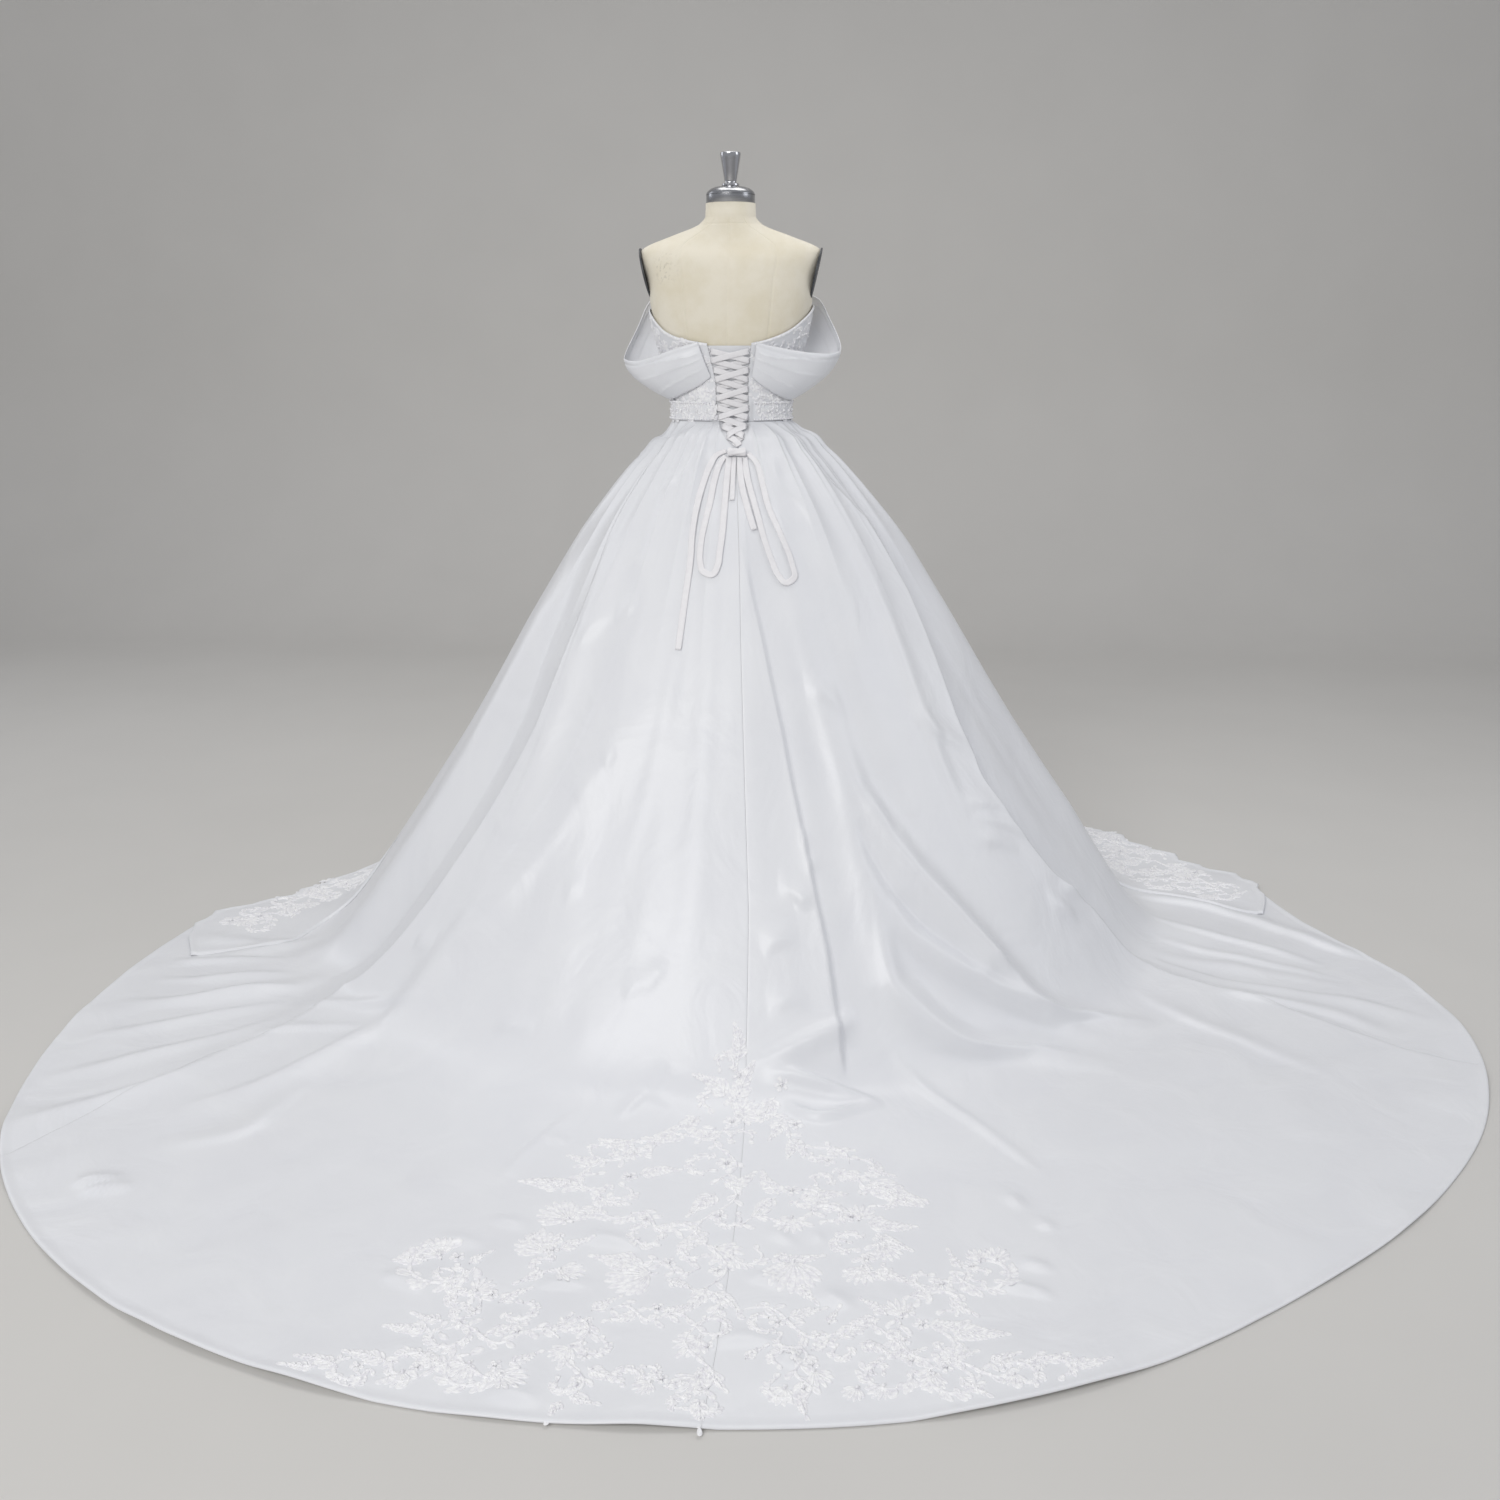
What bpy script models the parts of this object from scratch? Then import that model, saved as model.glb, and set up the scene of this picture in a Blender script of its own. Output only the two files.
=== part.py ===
"""Wedding dress on a dress form: strapless laced bodice, off-shoulder drape, gathered skirt
and cathedral train. Metres, +Z up, floor at z = 0, train towards -Y, origin under the pole.
"""

import math

import bmesh
import bpy
import numpy as np

# Driving dimensions
# Dress form
TORSO_BOTTOM = 0.80
TORSO_SEGMENTS = 28
NECK_RADIUS = 0.049
CAP_RADIUS = 0.0475
CAP_BOTTOM = 1.4713
CAP_TOP = 1.503
KNOB_BOTTOM = 1.5033
KNOB_TOP = 1.564
POLE_RADIUS = 0.016
BASE_RADIUS = 0.20
BASE_HEIGHT = 0.022
ARM_PLATE_THICKNESS = 0.004
ARM_PLATE_HEIGHT = 1.332
ARM_PLATE_REACH = 0.1730
ARM_PLATE_LEAN = 0.206

# Cloth
WALL = 0.002
GAP = 0.0003
FLOOR_CLEARANCE = 0.0004
WAIST_HEIGHT = 1.062
CLOTH_OFFSET = 0.0028
MODESTY_OFFSET = 0.0008
MODESTY_WALL = 0.0012
V_BOTTOM = 1.010
V_CENTRE = 0.0118
V_HALF_WIDTH = 0.028
BELT_MIDDLE = 1.081
BELT_TOP = 1.100
BELT_WALL = 0.0035
BELT_END = 4.0
RIBBON_WIDTH = 0.011
RIBBON_WALL = 0.001
RIBBON_LAYERS = (0.0056, 0.0081, 0.0096, 0.0124)
CROSSINGS = 9
CORD_LIFT = 0.0010
HEM_ROLL = 0.0045
FLAP_LIFT = 0.0054
LACE_WALL = 0.0012

# Skirt cone
FLOOR_BLEND = 0.035
FOOT_RADIUS = 0.93
GATHERS = 28
GATHER_HEIGHT = 0.007

# Torso sections: height, half width, depth at the back, depth at the front
TORSO_SECTIONS = (
    (0.800, 0.158, 0.108, 0.100),
    (0.880, 0.168, 0.120, 0.106),
    (0.980, 0.146, 0.106, 0.098),
    (1.062, 0.115, 0.088, 0.086),
    (1.100, 0.115, 0.088, 0.089),
    (1.160, 0.129, 0.097, 0.105),
    (1.220, 0.147, 0.107, 0.124),
    (1.280, 0.160, 0.108, 0.118),
    (1.330, 0.168, 0.101, 0.098),
    (1.372, 0.178, 0.086, 0.074),
    (1.392, 0.166, 0.072, 0.058),
    (1.412, 0.116, 0.060, 0.049),
    (1.430, 0.068, 0.053, 0.048),
    (1.446, 0.050, 0.050, 0.048),
    (1.471, 0.049, 0.049, 0.049),
)

# How the skirt swells over the petticoats: share of its height, extra share of its radius
SWELL = (
    (0.000, 0.000),
    (0.011, 0.026),
    (0.058, 0.044),
    (0.105, 0.050),
    (0.200, 0.055),
    (0.300, 0.045),
    (0.400, 0.032),
    (0.500, 0.016),
    (0.600, 0.004),
    (0.700, 0.000),
    (1.000, 0.000),
)

# Cone foot: angle in degrees round the pole, radius where the cone would meet the floor
CONE_FEET = (
    (-180, 0.850),
    (-135, 0.850),
    (-90, 0.850),
    (-45, 0.858),
    (0, 0.878),
    (45, 0.830),
    (90, 0.790),
    (135, 0.812),
    (180, 0.850),
)

# Hem of the train and sides: angle, radius
TRAIN_HEM = (
    (-171, 1.160),
    (-168, 1.185),
    (-157, 1.290),
    (-145, 1.414),
    (-135, 1.510),
    (-127, 1.552),
    (-119, 1.577),
    (-103, 1.590),
    (-87, 1.580),
    (-76, 1.583),
    (-68, 1.574),
    (-57, 1.549),
    (-43, 1.541),
    (-30, 1.525),
    (-24, 1.499),
    (-12, 1.390),
    (-4, 1.270),
    (9, 1.190),
)

# Hem of the front: angle, radius
FRONT_HEM = (
    (0, 1.165),
    (7, 1.210),
    (18, 1.120),
    (31, 1.030),
    (50, 0.935),
    (70, 0.870),
    (90, 0.840),
    (110, 0.845),
    (130, 0.860),
    (150, 0.875),
    (170, 0.905),
    (180, 1.000),
    (189, 1.158),
    (198, 1.145),
)

# Seams: radius, angle
SEAM_CENTRE = ((0.09, -83.0), (0.185, -82.8), (0.40, -83.3), (0.66, -83.2), (0.80, -84.0), (1.60, -87.0))
SEAM_LEFT = (
    (0.09, -138.0),
    (0.28, -136.8),
    (0.38, -133.4),
    (0.50, -131.7),
    (0.62, -134.6),
    (0.71, -137.4),
    (0.78, -140.1),
    (0.87, -144.5),
    (1.03, -139.5),
    (1.16, -138.4),
    (1.60, -133.0),
)
SEAM_RIGHT = (
    (0.09, -34.0),
    (0.21, -31.0),
    (0.29, -23.5),
    (0.38, -23.5),
    (0.51, -30.5),
    (0.58, -32.0),
    (0.64, -30.6),
    (0.71, -27.8),
    (0.78, -22.5),
    (0.90, -19.6),
    (0.97, -20.3),
    (1.15, -22.4),
    (1.38, -25.4),
    (1.60, -26.0),
)

# Soft folds: angle rows (radius, angle), width, height rows (radius, height)
RIDGES = (
    (((0.45, -106.0), (0.58, -116.6), (0.66, -121.3), (0.75, -128.3), (0.92, -132.8), (1.20, -131.8)),
     0.034, ((0.30, 0.0), (0.50, 0.014), (0.75, 0.022), (0.90, 0.010), (1.20, 0.004), (1.32, 0.0))),
    (((0.60, -92.5), (0.66, -94.8), (0.74, -99.4), (0.80, -103.5), (0.95, -108.0)),
     0.045, ((0.45, 0.0), (0.66, 0.010), (0.80, 0.012), (0.95, 0.0))),
    (((0.45, -64.0), (0.55, -61.3), (0.64, -56.1), (0.73, -49.5), (0.78, -46.0), (0.95, -38.0)),
     0.022, ((0.35, 0.0), (0.55, 0.010), (0.73, 0.020), (0.80, 0.014), (0.95, 0.0))),
    (((0.60, -64.5), (0.75, -64.4), (0.83, -57.9), (0.89, -48.6), (1.00, -44.0)),
     0.024, ((0.50, 0.0), (0.68, 0.009), (0.80, 0.016), (0.90, 0.010), (1.02, 0.0))),
    (((0.60, -65.0), (0.70, -59.8), (0.78, -50.2), (0.885, -37.3), (1.00, -33.0)),
     0.020, ((0.60, 0.0), (0.72, 0.010), (0.86, 0.012), (1.00, 0.0))),
    (((0.15, -4.0), (0.35, -2.0), (0.60, -2.0), (0.94, -5.0), (1.20, -9.0)),
     0.055, ((0.12, 0.0), (0.35, 0.026), (0.70, 0.030), (0.92, 0.010), (1.25, 0.0))),
    (((0.15, -152.0), (0.60, -155.0), (0.90, -158.0), (1.10, -154.0)),
     0.040, ((0.15, 0.0), (0.40, 0.016), (0.80, 0.018), (0.95, 0.006), (1.15, 0.0))),
    (((0.15, 22.0), (0.80, 20.0)), 0.040, ((0.15, 0.0), (0.40, 0.014), (0.75, 0.018), (0.95, 0.0))),
    (((0.15, 46.0), (0.80, 43.0)), 0.045, ((0.15, 0.0), (0.40, 0.016), (0.75, 0.020), (0.90, 0.0))),
    (((0.15, 72.0), (0.80, 70.0)), 0.040, ((0.15, 0.0), (0.40, 0.012), (0.70, 0.018), (0.85, 0.0))),
    (((0.15, 101.0), (0.80, 104.0)), 0.045, ((0.15, 0.0), (0.40, 0.014), (0.70, 0.018), (0.85, 0.0))),
    (((0.15, 130.0), (0.80, 134.0)), 0.042, ((0.15, 0.0), (0.40, 0.015), (0.75, 0.020), (0.88, 0.0))),
    (((0.15, 157.0), (0.80, 163.0)), 0.040, ((0.15, 0.0), (0.40, 0.012), (0.75, 0.018), (0.92, 0.0))),
    (((0.88, -163.0), (1.20, -160.0)), 0.016, ((0.86, 0.0), (1.00, 0.009), (1.22, 0.0))),
    (((0.88, -150.0), (1.22, -151.5)), 0.018, ((0.86, 0.0), (1.02, 0.010), (1.30, 0.0))),
    (((0.90, -14.0), (1.30, -15.5)), 0.016, ((0.88, 0.0), (1.05, 0.008), (1.34, 0.0))),
)

# Fold edges: seam rows, side of the crest (+1 towards larger angles), falling width,
# crest rows (radius, height), recess rows (radius, depth)
EDGES = (
    (SEAM_LEFT, 1, 0.120, ((0.12, 0.0), (0.25, 0.018), (0.50, 0.034), (0.80, 0.030), (0.95, 0.012),
                           (1.20, 0.008), (1.40, 0.0)),
     ((0.12, 0.0), (0.30, 0.014), (0.60, 0.026), (0.80, 0.018), (0.90, 0.0))),
    (SEAM_RIGHT, -1, 0.120, ((0.12, 0.0), (0.25, 0.018), (0.50, 0.034), (0.80, 0.032), (0.95, 0.014),
                             (1.20, 0.009), (1.45, 0.0)),
     ((0.12, 0.0), (0.30, 0.018), (0.60, 0.034), (0.80, 0.022), (0.90, 0.0))),
    (((0.30, -80.0), (0.39, -76.4), (0.48, -74.1), (0.58, -72.8), (0.71, -71.8), (0.83, -72.3)),
     -1, 0.060, ((0.22, 0.0), (0.40, 0.010), (0.70, 0.018), (0.84, 0.016), (0.90, 0.0)),
     ((0.22, 0.0), (0.50, 0.006), (0.80, 0.006), (0.88, 0.0))),
)

# Back opening: height, centre x, half width
LACING_GAP = (
    (1.000, 0.0240, 0.0020),
    (1.012, 0.0235, 0.0050),
    (1.035, 0.0180, 0.0170),
    (1.062, 0.0120, 0.0270),
    (1.140, 0.0080, 0.0320),
    (1.215, 0.0040, 0.0430),
)

# Bodice top: angle round the torso, height
BODICE_TOP = (
    (-180, 1.276),
    (-165, 1.262),
    (-145, 1.234),
    (-115, 1.214),
    (-65, 1.214),
    (-40, 1.234),
    (-18, 1.262),
    (0, 1.280),
    (40, 1.268),
    (70, 1.262),
    (90, 1.240),
    (110, 1.262),
    (140, 1.268),
    (180, 1.276),
)

# Drape, right band: angle round the torso, then height and stand-off of its top, middle and bottom
DRAPE = (
    (-68, 1.214, 0.0070, 1.181, 0.0100, 1.147, 0.0070),
    (-62, 1.209, 0.0110, 1.172, 0.0190, 1.136, 0.0085),
    (-50, 1.202, 0.0220, 1.160, 0.0330, 1.120, 0.0100),
    (-32, 1.193, 0.0500, 1.147, 0.0520, 1.106, 0.0110),
    (-14, 1.192, 0.0740, 1.145, 0.0630, 1.102, 0.0130),
    (4, 1.210, 0.0740, 1.160, 0.0640, 1.112, 0.0150),
    (20, 1.254, 0.0560, 1.196, 0.0560, 1.140, 0.0170),
    (36, 1.300, 0.0440, 1.240, 0.0440, 1.178, 0.0150),
    (54, 1.300, 0.0200, 1.247, 0.0280, 1.190, 0.0120),
    (72, 1.283, 0.0110, 1.240, 0.0190, 1.194, 0.0100),
    (90, 1.266, 0.0100, 1.230, 0.0170, 1.192, 0.0100),
)
LEFT_DROP = 0.014

# Bow: diameter of each ribbon end, then x and height along its route over the skirt
BOW_ROUTES = {
    "bow_tail_left": (0.009, (
        (0.0023, 1.0089), (-0.0140, 1.0010), (-0.0260, 0.9790), (-0.0370, 0.9480), (-0.0460, 0.9110),
        (-0.0520, 0.8630), (-0.0530, 0.8180), (-0.0590, 0.7520), (-0.0670, 0.6650),
    )),
    "bow_loop_left": (0.009, (
        (0.0014, 0.9992), (-0.0080, 0.9850), (-0.0160, 0.9570), (-0.0230, 0.9120), (-0.0310, 0.8720),
        (-0.0355, 0.8340), (-0.0310, 0.8030), (-0.0170, 0.7880), (-0.0045, 0.7980), (0.0000, 0.8220),
        (0.0040, 0.8640), (0.0055, 0.9120), (0.0070, 0.9570), (0.0088, 0.9962),
    )),
    "bow_end_short": (0.007, ((0.0186, 0.9966), (0.0182, 0.9750), (0.0183, 0.9480), (0.0190, 0.9210))),
    "bow_tail_right": (0.009, (
        (0.0284, 0.9966), (0.0320, 0.9650), (0.0420, 0.9250), (0.0530, 0.8930), (0.0620, 0.8690),
    )),
    "bow_loop_right": (0.009, (
        (0.0386, 0.9964), (0.0440, 0.9650), (0.0570, 0.9250), (0.0680, 0.8930), (0.0760, 0.8690),
        (0.0960, 0.8190), (0.1120, 0.7880), (0.1260, 0.7760), (0.1370, 0.7830), (0.1330, 0.8070),
        (0.1120, 0.8540), (0.0870, 0.9070), (0.0720, 0.9550), (0.0600, 0.9880), (0.0434, 1.0038),
    )),
}
KNOT_X = 0.0225
KNOT_HEIGHT = 1.0035
KNOT_SIZE = (0.036, 0.013, 0.016)

# Train lace: name, start x, start y, end x, end y, sideways bow, half width, leaves
LACE_SPRAYS = (
    ("lace_stem", 0.084, -0.935, 0.080, -1.545, 0.000, 0.052, 8),
    ("lace_arm_left", 0.010, -1.060, -0.225, -1.150, 0.030, 0.034, 4),
    ("lace_arm_right", 0.150, -1.060, 0.375, -1.135, -0.030, 0.034, 4),
    ("lace_spray_left", 0.018, -1.300, -0.360, -1.290, 0.050, 0.040, 6),
    ("lace_spray_right", 0.145, -1.290, 0.490, -1.250, -0.050, 0.040, 6),
    ("lace_hem_left", 0.012, -1.500, -0.440, -1.470, 0.030, 0.036, 7),
    ("lace_hem_right", 0.150, -1.490, 0.560, -1.405, -0.030, 0.036, 7),
)

# Front hem lace: name, start angle, start radius, end angle, end radius, half width, leaves
FLAP_SPRAYS = (
    ("lace_flap_right", 5.5, 1.120, 36.0, 0.965, 0.030, 7),
    ("lace_flap_left", 184.0, 1.065, 193.5, 1.070, 0.030, 4),
)


# Scene and materials
def clear_scene():
    for old in list(bpy.data.objects):
        bpy.data.objects.remove(old, do_unlink=True)


def material(name, colour, roughness, metallic=0.0):
    made = bpy.data.materials.new(name)
    made.use_nodes = True
    shader = made.node_tree.nodes["Principled BSDF"]
    shader.inputs["Base Color"].default_value = (*colour, 1.0)
    shader.inputs["Roughness"].default_value = roughness
    shader.inputs["Metallic"].default_value = metallic
    return made


def add_object(name, data, surface):
    made = bpy.data.objects.new(name, data)
    data.materials.append(surface)
    DRESS.objects.link(made)
    return made


# Tables and curves
def from_rows(rows, at, column=1):
    """Straight interpolation of one column of a table, at values of its first column."""
    keys = [row[0] for row in rows]
    values = [row[column] for row in rows]
    return np.interp(at, keys, values)


def smooth_rows(rows, at, column=1):
    """Smooth interpolation of one column of a table, through all of its rows."""
    keys = np.array([row[0] for row in rows], float)
    values = np.array([row[column] for row in rows], float)
    slopes = np.gradient(values, keys)
    at = np.clip(np.asarray(at, float), keys[0], keys[-1])
    k = np.clip(np.searchsorted(keys, at, side="right") - 1, 0, len(keys) - 2)
    span = keys[k + 1] - keys[k]
    u = (at - keys[k]) / span
    ends = values[k] * (2 * u**3 - 3 * u**2 + 1) + values[k + 1] * (3 * u**2 - 2 * u**3)
    bends = slopes[k] * (u**3 - 2 * u**2 + u) + slopes[k + 1] * (u**3 - u**2)
    return ends + bends * span


def ease(low, high, at):
    u = np.clip((np.asarray(at, float) - low) / (high - low), 0, 1)
    return u * u * (3 - 2 * u)


def smooth_line(points, count):
    """A line of count points, evenly spaced, on a smooth curve through the points."""
    points = np.array(points, float)
    steps = np.linalg.norm(np.diff(points, axis=0), axis=1)
    along = np.concatenate([[0], np.cumsum(steps)])
    fine = np.linspace(0, along[-1], 40 * len(points))
    rows = np.column_stack([along, points])
    curve = np.column_stack([smooth_rows(rows, fine, k) for k in (1, 2, 3)])
    steps = np.linalg.norm(np.diff(curve, axis=0), axis=1)
    along = np.concatenate([[0], np.cumsum(steps)])
    at = np.linspace(0, along[-1], count)
    return np.column_stack([np.interp(at, along, curve[:, k]) for k in range(3)])


# Torso surface
def torso_axes(height):
    return [smooth_rows(TORSO_SECTIONS, height, k) for k in (1, 2, 3)]


def torso_point(angle, height, offset):
    """Points round the torso: angle in degrees, 0 at +X and -90 at the back."""
    half, back, front = torso_axes(height)
    turn = np.radians(angle)
    depth = np.where(np.sin(turn) < 0, back, front)
    x = (half + offset) * np.cos(turn)
    y = (depth + offset) * np.sin(turn)
    return np.stack(np.broadcast_arrays(x, y, height), axis=-1)


def torso_angle(x, height, offset):
    """The angle at the back of the torso where its surface has this x."""
    half = torso_axes(height)[0] + offset
    return -np.degrees(np.arccos(np.clip(x / half, -1, 1)))


# Skirt surface
def waist_radius(turn):
    half, back, front = torso_axes(WAIST_HEIGHT)
    depth = np.where(np.sin(turn) < 0, back, front) + CLOTH_OFFSET
    return 1 / np.sqrt((np.cos(turn) / (half + CLOTH_OFFSET)) ** 2 + (np.sin(turn) / depth) ** 2)


def foot_radius(angle):
    return smooth_rows(CONE_FEET, (np.asarray(angle, float) + 180) % 360 - 180)


FALLS = np.linspace(0, 3, 1501)
SHARES = FALLS + smooth_rows(SWELL, FALLS)


def cone_radius(angle, height):
    waist = waist_radius(np.radians(angle))
    fall = np.clip((WAIST_HEIGHT - np.asarray(height, float)) / WAIST_HEIGHT, 0, 1)
    return waist + (foot_radius(angle) - waist) * np.interp(fall, FALLS, SHARES)


def cone_height(angle, radius):
    """Height of the plain cloth, which rounds from the cone on to the floor."""
    waist = waist_radius(np.radians(angle))
    share = np.maximum((radius - waist) / (foot_radius(angle) - waist), 0)
    line = WAIST_HEIGHT * (1 - np.interp(share, SHARES, FALLS)) / FLOOR_BLEND
    soft = np.log1p(np.exp(np.minimum(line, 30)))
    return FLOOR_BLEND * np.where(line > 30, line, soft)


def fold_height(angle, radius):
    """How far the folds stand out of the plain cloth."""
    wrapped = (np.asarray(angle, float) + 180) % 360 - 180
    total = np.zeros(np.broadcast(wrapped, radius).shape)
    for path, width, heights in RIDGES:
        away = np.radians(wrapped - from_rows(path, radius)) * radius
        total += from_rows(heights, radius) * np.exp(-0.5 * (away / width) ** 2)
    for path, side, width, crests, recesses in EDGES:
        away = np.radians(wrapped - from_rows(path, radius)) * radius * side
        rise = ease(-0.010, 0.022, away) * np.exp(-np.maximum(away, 0) / width)
        dip = np.exp(-0.5 * (np.minimum(away + 0.012, 0) / 0.045) ** 2) * ease(0.012, -0.012, away)
        total += from_rows(crests, radius) * rise - from_rows(recesses, radius) * dip
    near = np.abs(wrapped - from_rows(SEAM_CENTRE, radius))
    calm = np.maximum(ease(11, 24, near), ease(0.21, 0.29, radius))
    wave = np.abs(np.sin(np.radians(wrapped) * GATHERS / 2 + 0.9 * np.sin(np.radians(3 * wrapped))))
    shrink = ease(0.13, 0.17, radius) * ease(0.46, 0.20, radius)
    return (total + GATHER_HEIGHT * (1 - wave) * shrink) * calm


def cloth_normal(angle, radius):
    """Direction in which the folds stand out: sideways at the waist, up on the floor."""
    step = 0.002
    slope = (cone_height(angle, radius + step) - cone_height(angle, radius - step)) / (2 * step)
    size = np.sqrt(1 + slope**2)
    waist = waist_radius(np.radians(angle))
    level = ease(0.000, 0.030, radius - waist)
    out = (1 - level) - slope / size * level
    rise = level / size
    size = np.sqrt(out**2 + rise**2)
    turn = np.radians(angle)
    return np.stack([np.cos(turn) * out / size, np.sin(turn) * out / size, rise / size], axis=-1)


def skirt_point(angle, radius, offset):
    """Points of the skirt, offset out from its under side."""
    angle, radius = np.broadcast_arrays(np.asarray(angle, float), np.asarray(radius, float))
    turn = np.radians(angle)
    plain = np.stack([radius * np.cos(turn), radius * np.sin(turn), cone_height(angle, radius)], axis=-1)
    normal = cloth_normal(angle, radius)
    under = plain + normal * fold_height(angle, radius)[..., None]
    under[..., 2] = np.maximum(under[..., 2], 0) + FLOOR_CLEARANCE
    return under + normal * np.asarray(offset)[..., None]


# Solids
def wall(name, over, under, surface):
    """A cloth wall lofted through closed sections: rows of outer points over rows of inner ones."""
    rows, columns = over.shape[:2]
    shape = bmesh.new()
    outer = [[shape.verts.new(p) for p in row] for row in over]
    inner = [[shape.verts.new(p) for p in row] for row in under]
    for r in range(rows - 1):
        for c in range(columns - 1):
            falling = np.linalg.norm(over[r, c] - over[r + 1, c + 1])
            rising = np.linalg.norm(over[r, c + 1] - over[r + 1, c])
            corners = [(r, c), (r, c + 1), (r + 1, c + 1), (r + 1, c)]
            if rising < falling:
                corners = corners[1:] + corners[:1]
            for picked in ((0, 1, 2), (0, 2, 3)):
                spots = [corners[k] for k in picked]
                shape.faces.new([outer[i][j] for i, j in spots])
                shape.faces.new([inner[i][j] for i, j in reversed(spots)])
    rim = [(0, c) for c in range(columns)] + [(r, columns - 1) for r in range(1, rows)]
    rim += [(rows - 1, c) for c in range(columns - 2, -1, -1)] + [(r, 0) for r in range(rows - 2, 0, -1)]
    for (i, j), (m, n) in zip(rim, rim[1:] + rim[:1]):
        shape.faces.new((outer[m][n], outer[i][j], inner[i][j], inner[m][n]))
    bmesh.ops.recalc_face_normals(shape, faces=shape.faces)
    data = bpy.data.meshes.new(name)
    shape.to_mesh(data)
    shape.free()
    data.shade_smooth()
    data.set_sharp_from_angle(angle=math.radians(50))
    return add_object(name, data, surface)


def loft(name, rings, surface):
    """A solid through closed rings of equal length, with flat ends."""
    shape = bmesh.new()
    made = [[shape.verts.new(p) for p in ring] for ring in rings]
    for a, b in zip(made, made[1:]):
        for k in range(len(a)):
            n = (k + 1) % len(a)
            shape.faces.new((a[k], a[n], b[n], b[k]))
    shape.faces.new(made[0])
    shape.faces.new(made[-1])
    bmesh.ops.recalc_face_normals(shape, faces=shape.faces)
    data = bpy.data.meshes.new(name)
    shape.to_mesh(data)
    shape.free()
    data.shade_smooth()
    data.set_sharp_from_angle(angle=math.radians(40))
    return add_object(name, data, surface)


def turned(name, profile, surface, steps=32):
    """A turned solid: profile of (radius, height) from the top down, closed on the axis."""
    data = bpy.data.meshes.new(name)
    edges = [(k, k + 1) for k in range(len(profile) - 1)]
    data.from_pydata([(r, 0, z) for r, z in profile], edges, [])
    made = add_object(name, data, surface)
    screw = made.modifiers.new("Turn", "SCREW")
    screw.steps = steps
    screw.render_steps = steps
    screw.use_merge_vertices = True
    screw.merge_threshold = 0.00001
    screw.use_smooth_shade = True
    return made


def cord(name, line, diameter, surface):
    data = bpy.data.curves.new(name, "CURVE")
    data.dimensions = "3D"
    data.bevel_depth = diameter / 2
    data.bevel_resolution = 2
    data.use_fill_caps = True
    spline = data.splines.new("POLY")
    spline.points.add(len(line) - 1)
    for point, place in zip(spline.points, line):
        point.co = (*place, 1.0)
    return add_object(name, data, surface)


# Dress form
def build_form():
    heights = [row[0] for row in TORSO_SECTIONS]
    extra = [1.025, 1.13, 1.352]
    angles = np.linspace(0, 360, TORSO_SEGMENTS, endpoint=False)
    rings = [torso_point(angles, np.full_like(angles, z), 0.0) for z in sorted(heights + extra)]
    loft("form_torso", rings, LINEN)
    turned("neck_cap", [
        (0, CAP_TOP), (0.018, CAP_TOP), (0.038, CAP_TOP - 0.005), (CAP_RADIUS - 0.002, CAP_TOP - 0.011),
        (CAP_RADIUS, CAP_TOP - 0.015), (CAP_RADIUS, CAP_BOTTOM), (0, CAP_BOTTOM),
    ], CHROME, 28)
    turned("knob", [
        (0, KNOB_TOP), (0.0185, KNOB_TOP), (0.0200, KNOB_TOP - 0.002), (0.0195, KNOB_TOP - 0.006),
        (0.0120, KNOB_BOTTOM + 0.010), (0.0115, KNOB_BOTTOM + 0.006), (0.0170, KNOB_BOTTOM + 0.004),
        (0.0170, KNOB_BOTTOM), (0, KNOB_BOTTOM),
    ], CHROME, 20)
    turned("stand_pole", [
        (0, TORSO_BOTTOM - GAP), (0.034, TORSO_BOTTOM - GAP), (0.034, TORSO_BOTTOM - 0.030),
        (POLE_RADIUS, TORSO_BOTTOM - 0.036), (POLE_RADIUS, BASE_HEIGHT + GAP), (0, BASE_HEIGHT + GAP),
    ], CHROME, 24)
    turned("stand_base", [
        (0, BASE_HEIGHT), (0.040, BASE_HEIGHT), (0.060, BASE_HEIGHT - 0.008), (0.180, 0.010),
        (BASE_RADIUS, 0.006), (BASE_RADIUS, 0), (0, 0),
    ], CHROME, 32)
    for name, side in (("arm_plate_right", 1), ("arm_plate_left", -1)):
        build_arm_plate(name, side)


def build_arm_plate(name, side):
    """An oval plate that closes the arm hole, on the side of the shoulder."""
    turns = np.linspace(0, 2 * np.pi, 24, endpoint=False)
    rings = []
    for depth, size in ((0, 0.92), (0.0012, 1.0), (ARM_PLATE_THICKNESS, 0.97)):
        heights = ARM_PLATE_HEIGHT + 0.040 * size * np.sin(turns)
        y = -0.002 + 0.040 * size * np.cos(turns)
        x = ARM_PLATE_REACH + ARM_PLATE_LEAN * (heights - ARM_PLATE_HEIGHT) + depth
        rings.append(np.column_stack([side * x, y, heights]))
    loft(name, rings, GREY_PLATE)


# Bodice
def bodice_wall(name, starts, ends, columns, surface, low=WAIST_HEIGHT + FLOOR_CLEARANCE + GAP):
    """A bodice panel between two side edges, each an angle for every height."""
    shares = np.linspace(0, 1, columns)
    grids = []
    for offset in (CLOTH_OFFSET + WALL, CLOTH_OFFSET):
        grid = np.zeros((8, columns, 3))
        for c, share in enumerate(shares):
            middle = starts(1.20) + (ends(1.20) - starts(1.20)) * share
            top = from_rows(BODICE_TOP, (middle + 180) % 360 - 180)
            heights = np.concatenate([[low, BELT_MIDDLE, BELT_TOP], np.linspace(BELT_TOP, top, 6)[1:]])
            angles = starts(heights) + (ends(heights) - starts(heights)) * share
            grid[:, c] = torso_point(angles, heights, offset)
        grids.append(grid)
    wall(name, grids[0], grids[1], surface)


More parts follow.
